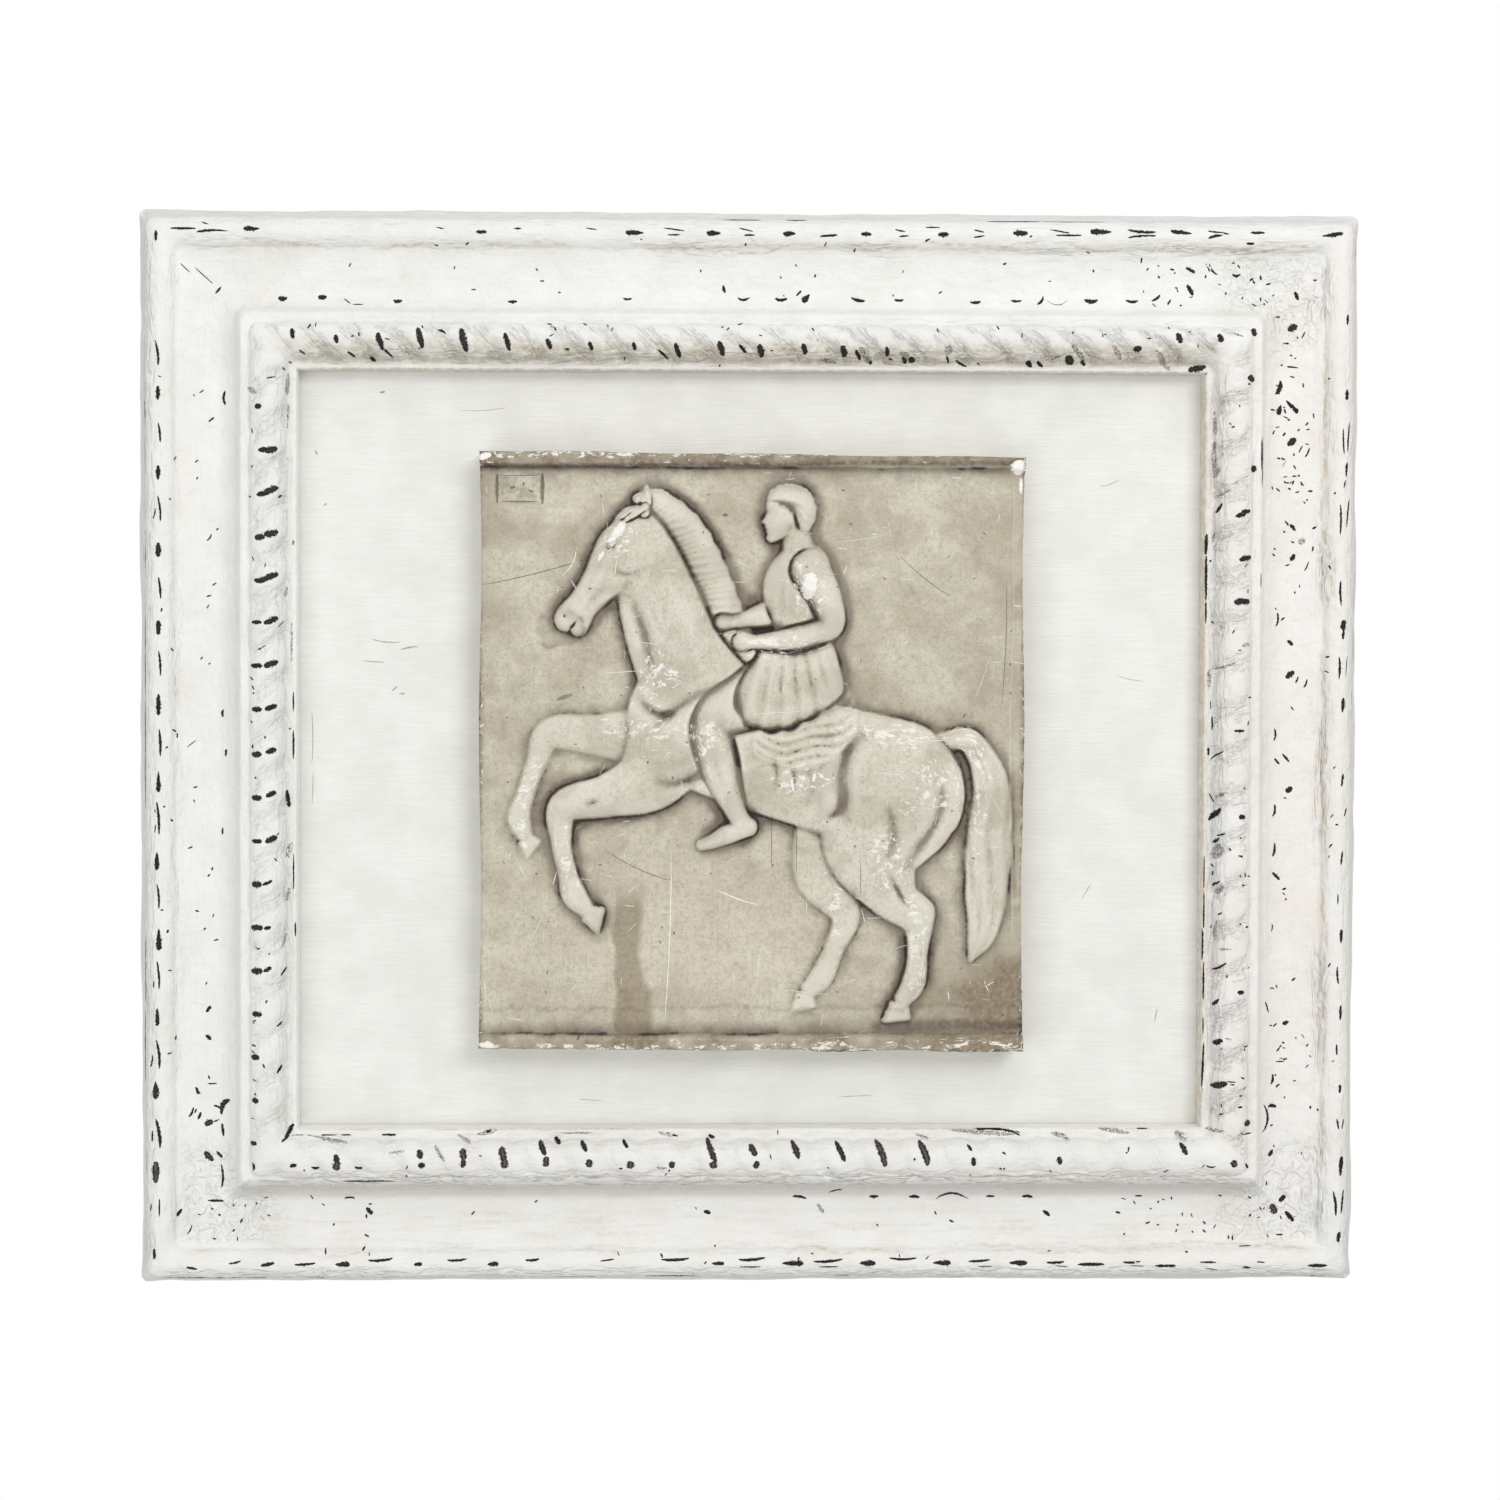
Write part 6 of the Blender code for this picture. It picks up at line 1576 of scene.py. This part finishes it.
def brushed_paint_group():
    """Brush marks in thick paint: long streaks, a soft cloud of uneven cover and fine grit.

    Place is in millimetres with X along the strokes.
    """
    inputs = ("Place", "Stroke length", "Stroke width")
    tree, given, result = new_group("brushed paint", inputs, ("Streaks", "Cloud", "Height"))
    place = given["Place"]
    parts = node(tree, "ShaderNodeSeparateXYZ", {0: place}).outputs
    along = calc(tree, "DIVIDE", parts[0], given["Stroke length"])
    across = calc(tree, "DIVIDE", parts[1], given["Stroke width"])
    stroke = node(tree, "ShaderNodeCombineXYZ", {0: along, 1: across, 2: parts[2]}).outputs[0]
    streaks = noise(tree, stroke, 1.0, 4.0, 0.55, 0.4)
    cloud = noise(tree, place, 0.035, 3.0, 0.55)
    grit = noise(tree, place, 1.1, 3.0, 0.6)
    height = calc(tree, "MULTIPLY_ADD", streaks, 0.75, times(tree, grit, 0.25))
    for name, value in (("Streaks", streaks), ("Cloud", cloud), ("Height", height)):
        tree.links.new(value, result[name])
    return tree


def hollow_dirt_and_shade_group():
    """Dirt and painted shade in hollows: the share grows with the hollow and breaks up by noise.

    Place is in millimetres, Hollow runs from 0 on crests over 0.5 to 1 in the deepest places.
    """
    inputs = ("Place", "Hollow", "Start", "Full", "Break-up", "Grain")
    tree, given, result = new_group("hollow dirt and shade", inputs, ("Mask",))
    patches = noise(tree, given["Place"], given["Grain"], 4.0, 0.62, 0.3)
    swing = times(tree, off_middle(tree, patches), given["Break-up"])
    depth = calc(tree, "ADD", given["Hollow"], swing)
    tree.links.new(ease(tree, depth, given["Start"], given["Full"]), result["Mask"])
    return tree


def dirt_and_shade_mask(tree, dirt_and_shade, place, hollow, start, full, break_up, grain):
    """Where dirt and painted shade lie in hollows, for one material's own hollows and values."""
    inputs = {"Place": place, "Hollow": hollow, "Start": start, "Full": full}
    return group_node(tree, dirt_and_shade, {**inputs, "Break-up": break_up, "Grain": grain})[0]


def new_material(name, specular, strength, distance):
    """A material with one Principled shader and a Bump node that feeds its normal."""
    material = bpy.data.materials.new(name)
    material.use_nodes = True
    tree = material.node_tree
    tree.nodes.clear()
    bump = node(tree, "ShaderNodeBump", {"Strength": strength, "Distance": distance})
    gloss = {"Specular IOR Level": specular, "Normal": bump.outputs[0]}
    shader = node(tree, "ShaderNodeBsdfPrincipled", gloss)
    node(tree, "ShaderNodeOutputMaterial", {0: shader.outputs[0]})
    return material, tree, shader, bump


def finish_material(tree, shader, bump, colour, roughness, height):
    """Colour, roughness and height linked to the shader and its bump."""
    tree.links.new(colour, shader.inputs["Base Color"])
    tree.links.new(roughness, shader.inputs["Roughness"])
    tree.links.new(height, bump.inputs["Height"])


def worn_mark_masks(tree, place, raggedness=2.3, with_core=False):
    """Where a worn mark has lost its surface, the mark's strength, and the core of wide marks if asked.

    About a mark's middle line, bent by its bend, the distance is divided by a half width that
    shrinks to nothing at the ends; the surface is lost where that ratio plus noise is below 1.
    """
    spot = node(tree, "ShaderNodeAttribute", attribute_name="mark place").outputs["Vector"]
    along, across = node(tree, "ShaderNodeSeparateXYZ", {0: spot}).outputs[:2]
    bend, taper, strength, width = carried_shares(tree, "mark form")
    rough = noise(tree, place, 1.05, 3.0, 0.62, 0.5)
    coarse = noise(tree, place, 0.32, 2.0, 0.5)
    a = calc(tree, "MULTIPLY_ADD", off_middle(tree, coarse), 0.30, along)
    square = times(tree, a, a)
    b = calc(tree, "SUBTRACT", across, times(tree, bend, square))
    rounded = calc(tree, "POWER", calc(tree, "MAXIMUM", calc(tree, "SUBTRACT", 1.0, square), 0.0), 0.42)
    half = times(tree, rounded, calc(tree, "MULTIPLY_ADD", taper, a, 1.0))
    ratio = calc(tree, "DIVIDE", calc(tree, "ABSOLUTE", b), calc(tree, "MAXIMUM", half, 0.04))
    ratio = calc(tree, "ADD", ratio, times(tree, off_middle(tree, rough), raggedness))
    within = ease(tree, calc(tree, "ABSOLUTE", a), 1.06, 0.98)
    lost = times(tree, ease(tree, ratio, 1.10, 0.84), within)
    if not with_core:
        return lost, strength
    core = times(tree, ease(tree, ratio, 0.62, 0.25), ease(tree, width, 2.4, 4.6))
    core = times(tree, core, times(tree, within, ease(tree, rough, 0.36, 0.62)))
    return lost, strength, core


def paint_folds(tree, run, place):
    """Raised folds of thick paint, the hollows beside them, and how plainly the brush shows.

    Each fold is the crest of ridged noise, stretched along the leaning strands of the torus, along
    the rail, or not at all near a worn corner, and weighed by the shares that the mesh carries.
    """
    *weights, brushed = carried_shares(tree, "wrinkles")
    leaning = node(tree, "ShaderNodeUVMap", uv_map="across the ribs").outputs[0]
    folds, hollows = 0.0, 0.0
    for vector, (stretch, rise), share in zip((leaning, run, place), FOLDS, weights):
        field = noise(tree, scaled(tree, vector, stretch), 1.0, 3.0, 0.5, 0.6)
        away = calc(tree, "ABSOLUTE", off_middle(tree, field))
        folds = calc(tree, "MULTIPLY_ADD", ease(tree, away, 0.12, 0.0, 0.0, rise), share, folds)
        beside = times(tree, ease(tree, away, 0.07, 0.11), ease(tree, away, 0.17, 0.13))
        hollows = calc(tree, "MULTIPLY_ADD", times(tree, beside, rise), share, hollows)
    return folds, hollows, brushed


def frame_paint(brushwork, dirt_and_shade):
    """Thick white paint brushed along the rails, toned in its hollows, worn through to dark wood."""
    material, tree, shader, bump = new_material("worn white frame paint", 0.35, 1.0, 0.0011)
    run = scaled(tree, node(tree, "ShaderNodeUVMap", uv_map="along the rail").outputs[0], PER_METRE)
    place = place_in_millimetres(tree)
    strokes = group_node(tree, brushwork, {"Place": run, "Stroke length": 16.0, "Stroke width": 1.15})
    hollow, tan, pink, grey_shade = carried_shares(tree, "tone")
    folds, beside, brushed = paint_folds(tree, run, place)
    lost, strength, core = worn_mark_masks(tree, place, with_core=True)
    streaked = times(tree, ease(tree, strokes["Streaks"], 0.56, 0.32, 0.0, 0.16), brushed)
    patchy = ease(tree, noise(tree, place, 0.22, 3.0, 0.6, 0.6), 0.36, 0.60, 0.35, 1.0)
    # dust and painted shade in the paint's hollows and creases, more where the tan lies
    in_hollows = dirt_and_shade_mask(tree, dirt_and_shade, place, hollow, 0.62, 1.05, 0.7, 0.16)
    dust_and_shade = times(tree, in_hollows, calc(tree, "MULTIPLY_ADD", tan, 0.4, 0.12))
    faint = ease(tree, noise(tree, place, 1.3, 3.0, 0.7), 0.44, 0.60)
    lost = times(tree, lost, calc(tree, "MAXIMUM", faint, ease(tree, strength, 0.6, 0.9)))
    shade = blend_colours(tree, ease(tree, strength, 0.5, 1.0), RUBBED_PAINT, DARK_WOOD)
    low = node(tree, "ShaderNodeSeparateXYZ", {0: place}).outputs[2]
    opened = ease(tree, low, -440.0, -490.0, 0.30, 0.95)
    white = blend_colours(tree, ease(tree, strokes["Cloud"], 0.30, 0.70), *PAINT_WHITES)
    layers = [
        (streaked, PAINT_STREAK),
        (times(tree, pink, 0.55), PAINT_PINK),
        # painted shade in grey on faces turned from the lamps
        (times(tree, grey_shade, 0.65), PAINT_GREY_SHADE),
        # tan, much of it painted shade on faces turned from the lamps
        (times(tree, times(tree, tan, patchy), 0.75), PAINT_TAN_AND_SHADE),
        (dust_and_shade, PAINT_DUST_AND_SHADE),
        (times(tree, beside, 0.18), FOLD_SHADE),
        (lost, shade),
        (times(tree, core, opened), BROWN_WOOD),
    ]
    roughness = ease(tree, strokes["Streaks"], 0.3, 0.7, 0.50, 0.66)
    roughness = calc(tree, "MULTIPLY_ADD", lost, 0.2, roughness)
    lumps = times(tree, noise(tree, place, 0.13, 3.0, 0.5, 0.4), 1.4)
    height = calc(tree, "MULTIPLY_ADD", strokes["Height"], times(tree, brushed, 0.30), lumps)
    height = calc(tree, "SUBTRACT", calc(tree, "ADD", folds, height), times(tree, lost, 0.3))
    finish_material(tree, shader, bump, coats(tree, white, layers), roughness, height)
    return material


def board_paint(brushwork):
    """White paint brushed from side to side, a little blue, with a few fine cracks."""
    material, tree, shader, bump = new_material("brushed white board paint", 0.3, 0.8, 0.0004)
    place = place_in_millimetres(tree)
    parts = node(tree, "ShaderNodeSeparateXYZ", {0: place}).outputs
    flat = node(tree, "ShaderNodeCombineXYZ", {0: parts[0], 1: parts[2], 2: 0.0}).outputs[0]
    strokes = group_node(tree, brushwork, {"Place": flat, "Stroke length": 26.0, "Stroke width": 0.9})
    cracked, strength = worn_mark_masks(tree, place)
    white = blend_colours(tree, ease(tree, strokes["Cloud"], 0.3, 0.7), *BOARD_WHITES)
    layers = [
        (ease(tree, strokes["Streaks"], 0.60, 0.36, 0.0, 0.26), BOARD_STREAK),
        (times(tree, cracked, times(tree, strength, 0.75)), BOARD_CRACK),
    ]
    roughness = ease(tree, strokes["Streaks"], 0.3, 0.7, 0.52, 0.66)
    finish_material(tree, shader, bump, coats(tree, white, layers), roughness, strokes["Height"])
    return material


def aged_plaster(dirt_and_shade):
    """Grimy cast plaster: soot and painted shade in hollows, a browner ground, paler crests, white chips."""
    material, tree, shader, bump = new_material("aged cast plaster", 0.3, 0.9, 0.0005)
    place = place_in_millimetres(tree)
    narrow, wide, raised, flecked = carried_shares(tree, "relief")
    brown, dark, pale, sooty = carried_shares(tree, "stains")
    cloud = ease(tree, noise(tree, place, 0.028, 4.0, 0.6), 0.3, 0.7)
    mottle = noise(tree, place, 0.35, 4.0, 0.65, 0.3)
    speckle = noise(tree, place, 1.9, 2.0, 0.7)
    grain = noise(tree, place, 1.25, 4.0, 0.75, 0.2)
    scuffed = noise(tree, scaled(tree, place, (0.05, 1, 1.1)), 1.0, 6.0, 0.76, 0.7)
    drips = noise(tree, scaled(tree, place, (0.55, 1, 0.022)), 1.0, 4.0, 0.6, 0.2)
    flakes = noise(tree, scaled(tree, place, (0.14, 1, 0.30)), 1.0, 6.0, 0.74, 0.4)
    flakes = ease(tree, calc(tree, "MULTIPLY_ADD", flecked, 0.21, flakes), 0.748, 0.766)
    hairs = calc(tree, "ABSOLUTE", off_middle(tree, noise(tree, place, 0.055, 5.0, 0.62, 0.8)))
    hairs = times(tree, ease(tree, hairs, 0.007, 0.002), ease(tree, mottle, 0.48, 0.62, 0.0, 0.55))
    # painted highlight: the figures' broad crests are paled to round them
    crests = times(tree, ease(tree, wide, 0.46, 0.28, 0.0, 0.48), raised)
    # a soot film in the wide hollows, partly real soot and partly painted shade that rounds the figures
    film_and_shade = dirt_and_shade_mask(tree, dirt_and_shade, place, wide, 0.46, 0.86, 0.35, 0.14)
    soot = dirt_and_shade_mask(tree, dirt_and_shade, place, narrow, 0.64, 0.98, 0.8, 0.26)
    chipped, strength = worn_mark_masks(tree, place, 2.4)
    clear = calc(tree, "ABSOLUTE", calc(tree, "SUBTRACT", strength, 0.45))
    chipped = times(tree, chipped, ease(tree, clear, 0.0, 0.50, 0.35, 1.0))
    shade = blend_colours(tree, ease(tree, strength, 0.3, 0.4), DARK_MARK, FRESH_CHIP)
    ground = blend_colours(tree, cloud, *GROUND_TONES)
    ground = blend_colours(tree, times(tree, pale, 0.65), ground, PALE_GROUND)
    figure = blend_colours(tree, cloud, *FIGURE_TONES)
    layers = [
        (raised, figure),
        (ease(tree, scuffed, 0.57, 0.66, 0.0, 0.50), SCUFF),
        (ease(tree, drips, 0.54, 0.74, 0.0, 0.26), DRIP),
        (ease(tree, mottle, 0.54, 0.36, 0.0, 0.34), MOTTLE),
        (ease(tree, grain, 0.56, 0.64, 0.0, 0.50), DARK_GRAIN),
        (ease(tree, grain, 0.44, 0.36, 0.0, 0.35), PALE_GRAIN),
        (hairs, HAIR_CRACK),
        # narrow crests paler: partly rubbed, partly painted highlight along the edges
        (ease(tree, narrow, 0.42, 0.20, 0.0, 0.40), RUBBED_EDGE_AND_HIGHLIGHT),
        # painted highlight on the broad crests
        (crests, CREST_HIGHLIGHT),
        # soot film and painted shade in the wide hollows
        (times(tree, film_and_shade, ease(tree, sooty, 0.0, 1.0, 0.70, 0.98)), SOOT_FILM_AND_SHADE),
        (times(tree, brown, ease(tree, mottle, 0.3, 0.6, 0.60, 0.95)), BROWN_STAIN),
        # grime, with the painted shadow line under the upper band
        (times(tree, dark, ease(tree, mottle, 0.34, 0.56, 0.70, 1.0)), GRIME_AND_SHADOW),
        (times(tree, soot, ease(tree, sooty, 0.05, 0.75, 0.24, 1.0)), THICK_SOOT),
        (ease(tree, speckle, 0.66, 0.78, 0.0, 0.6), SPECKLE),
        (times(tree, flakes, 0.9), WHITE_FLAKE),
        (chipped, shade),
    ]
    height = calc(tree, "MULTIPLY_ADD", mottle, 0.6, times(tree, speckle, 0.4))
    height = calc(tree, "SUBTRACT", height, times(tree, chipped, 0.5))
    roughness = ease(tree, mottle, 0.3, 0.7, 0.62, 0.82)
    finish_material(tree, shader, bump, coats(tree, ground, layers), roughness, height)
    return material


def floor_finish():
    """Plain pale matt floor with a faint cloud."""
    material = bpy.data.materials.new("pale studio floor")
    material.use_nodes = True
    tree = material.node_tree
    tree.nodes.clear()
    cloud = noise(tree, node(tree, "ShaderNodeTexCoord").outputs["Object"], 1.5, 3.0)
    matt = {"Base Color": blend_colours(tree, cloud, *FLOOR_TONES), "Roughness": 0.8}
    shader = node(tree, "ShaderNodeBsdfPrincipled", matt)
    node(tree, "ShaderNodeOutputMaterial", {0: shader.outputs[0]})
    return material


def add_floor():
    """A round pale floor, well below the frame: rings of points about its middle."""
    turns = np.linspace(0, 2 * math.pi, 65)[:-1]
    radius, turn = np.meshgrid(np.linspace(0.05, FLOOR_RADIUS, 9), turns, indexing="ij")
    x, y = radius * np.cos(turn), radius * np.sin(turn) + FLOOR_MIDDLE
    faces = grid_quads(*radius.shape, closed=True)[:, ::-1].tolist()
    faces.append(list(range(radius.shape[1])))
    floor = mesh_object("studio_floor", np.stack([x, y, np.full(turn.shape, FLOOR_HEIGHT)], -1), faces)
    floor.data.materials.append(floor_finish())


def add_light(name, place, size, power, colour):
    """A soft rectangular lamp that shines on the frame's middle."""
    lamp = bpy.data.lights.new(name, "AREA")
    lamp.shape = "RECTANGLE"
    lamp.size, lamp.size_y = size
    lamp.energy = power
    lamp.color = colour
    light = bpy.data.objects.new(name, lamp)
    bpy.context.scene.collection.objects.link(light)
    light.location = place
    towards = Vector((0, 0, CENTRE_Z)) - Vector(place)
    light.rotation_euler = towards.to_track_quat("-Z", "Y").to_euler()


def light_studio():
    """White surroundings for the camera, a dimmer soft light from them, and three wide lamps."""
    world = bpy.data.worlds.new("white studio")
    bpy.context.scene.world = world
    world.use_nodes = True
    tree = world.node_tree
    tree.nodes.clear()
    seen = node(tree, "ShaderNodeLightPath").outputs["Is Camera Ray"]
    brightness = {"Value": seen, "To Min": AMBIENT, "To Max": 1.0}
    strength = node(tree, "ShaderNodeMapRange", brightness).outputs[0]
    glow = node(tree, "ShaderNodeBackground", {"Color": (1, 1, 1, 1), "Strength": strength})
    node(tree, "ShaderNodeOutputWorld", {0: glow.outputs[0]})
    for lamp in LAMPS:
        add_light(*lamp)


def add_camera():
    """The photo's viewpoint: a little to the left of the frame's middle and above it."""
    lens = bpy.data.cameras.new("camera")
    camera = bpy.data.objects.new("camera", lens)
    bpy.context.scene.collection.objects.link(camera)
    camera.location = CAMERA_PLACE
    camera.rotation_euler = [math.radians(angle) for angle in CAMERA_TURN]
    lens.sensor_width = 36
    lens.lens = LENS_LENGTH
    lens.shift_x, lens.shift_y = LENS_SHIFT
    lens.clip_start = 0.05
    bpy.context.scene.camera = camera


def rail_tone(rail, u, v, s, lift):
    """Tones and painted shade of a rail: hollow, tan, pink and grey shares from its members and slow noise.
    """
    seed, side = rail["seed"], rail["side"]
    slow = layered_noise(u / 38, s / 16, seed + 20, 3)
    # painted shade: a thin shadow line under the paint's lip and a soft shade in the quirk at the bead's
    # foot
    lip = 1.3 * bell(v - paint_lip(u, seed), 0.6) * between(slow, -0.8, 0.2)
    tan = rail["tan"] * (0.22 * bell(v - 22.2, 3.0) * between(slow, -0.5, 0.5) + lip)
    tan += 0.10 * between(slow, 0.35, 0.9)
    # painted shade: the outer side faces away from the lamps and is greyed
    grey_shade = 0.05 * between(v, 7.0, 2.0)
    if side == "top":
        # painted shade: the lower half of the upper rail's torus and its sight wall face down, away from the
        # lamps
        tan += 0.80 * span(v, 71.0, 81.0, 87.5, 89.5) + between(v, 90.0, 91.0)
    if side == "right":
        # painted shade: the right rail's sight fillet and its wall face away from the lamps
        tan += 0.35 * between(v, 86.5, 89.5) + 0.9 * between(v, 90.4, 91.2)
    if side == "bottom":
        sight = s - s.max()
        tan += 1.4 * bell(sight + 13, 0.5) * between(slow, -0.9, 0.1) + 0.6 * bell(sight, 0.8)
        streak = between(layered_noise(u / 30, s / 2.2, seed + 21, 3), 0.0, 0.9)
        # painted shade: tan on the lower rail's step and fillet, which face down; the streaks in its cove
        # are the paint's own
        tan += 0.40 * span(v, 54.0, 58.0, 62.5, 65.0) + 0.30 * streak * span(v, 24, 30, 40, 48)
        # painted shade: grey on the lower rail's step and fillet, which face down
        grey_shade += 1.5 * span(v, 48.5, 56.0, 62.5, 65.0)
    pink = rail["pink"] * (0.6 + 0.4 * slow)
    hollows = 0.5 + 0.5 * (blurred(lift, 1.8) - lift) / (0.34 * MM)
    return np.stack([hollows, tan, pink, grey_shade], -1)


def scattered_specks():
    """Small worn specks, seeded, over the bead, the cove and the torus, millimetres from the middle."""
    luck = np.random.default_rng(29)
    specks = []
    everywhere = [(rail["side"], 0, SPECK_REACH[rail["side"]], rail["specks"]) for rail in RAILS.values()]
    for side, middle, reach, count in everywhere + CORNER_SPECKS:
        edge = (FRAME_HEIGHT if side in ("top", "bottom") else FRAME_WIDTH) / 2 / MM
        bands = CORNER_SPECK_BANDS if middle else SPECK_BANDS
        for _ in range(count):
            out = edge - luck.uniform(*bands[luck.integers(len(bands))])
            run = middle + luck.uniform(-reach, reach)
            places = {"top": (run, out), "bottom": (run, -out), "left": (-out, run), "right": (out, run)}
            length, width, tilt = luck.uniform(1.2, 3.0), luck.uniform(0.6, 1.1), luck.uniform(0, 180)
            specks.append((*places[side], length, width, tilt, 0, 0, 1.0))
    return specks


def full_marks(marks, strength):
    """Marks with the values that the list leaves out as 0, and all of one strength."""
    return [(*mark, *(0,) * (7 - len(mark)), strength) for mark in marks]


def build():
    """Makes every piece, gives it its finish and body, and sets up the studio."""
    marks = full_marks(WORN_MARKS, 1.0) + full_marks(FAINT_MARKS, 0.5) + scattered_specks()
    brushwork, dirt_and_shade = brushed_paint_group(), hollow_dirt_and_shade_group()
    paint = frame_paint(brushwork, dirt_and_shade)
    pieces = []
    for node_name, rail in RAILS.items():
        rail_piece = rail_mesh(f"{rail['side']}_rail", rail)
        add_marks(rail_piece, marks, RAIL_WIDTH - REBATE_WIDTH - REBATE_MARGIN)
        pieces.append((rail_piece, node_name, "frame_paint", paint))
    pieces.append((make_board(), "backing_board", "board_paint", board_paint(brushwork)))
    pieces.append((make_plaque(), "plaster_plaque", "plaster", aged_plaster(dirt_and_shade)))
    for piece, node_name, slot, finish in pieces:
        piece.data.materials.clear()
        piece.data.materials.append(finish)
        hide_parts(node_name)
        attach(piece, "root")
    add_floor()
    light_studio()
    add_camera()
    bpy.context.scene.view_settings.view_transform = "Standard"


build()
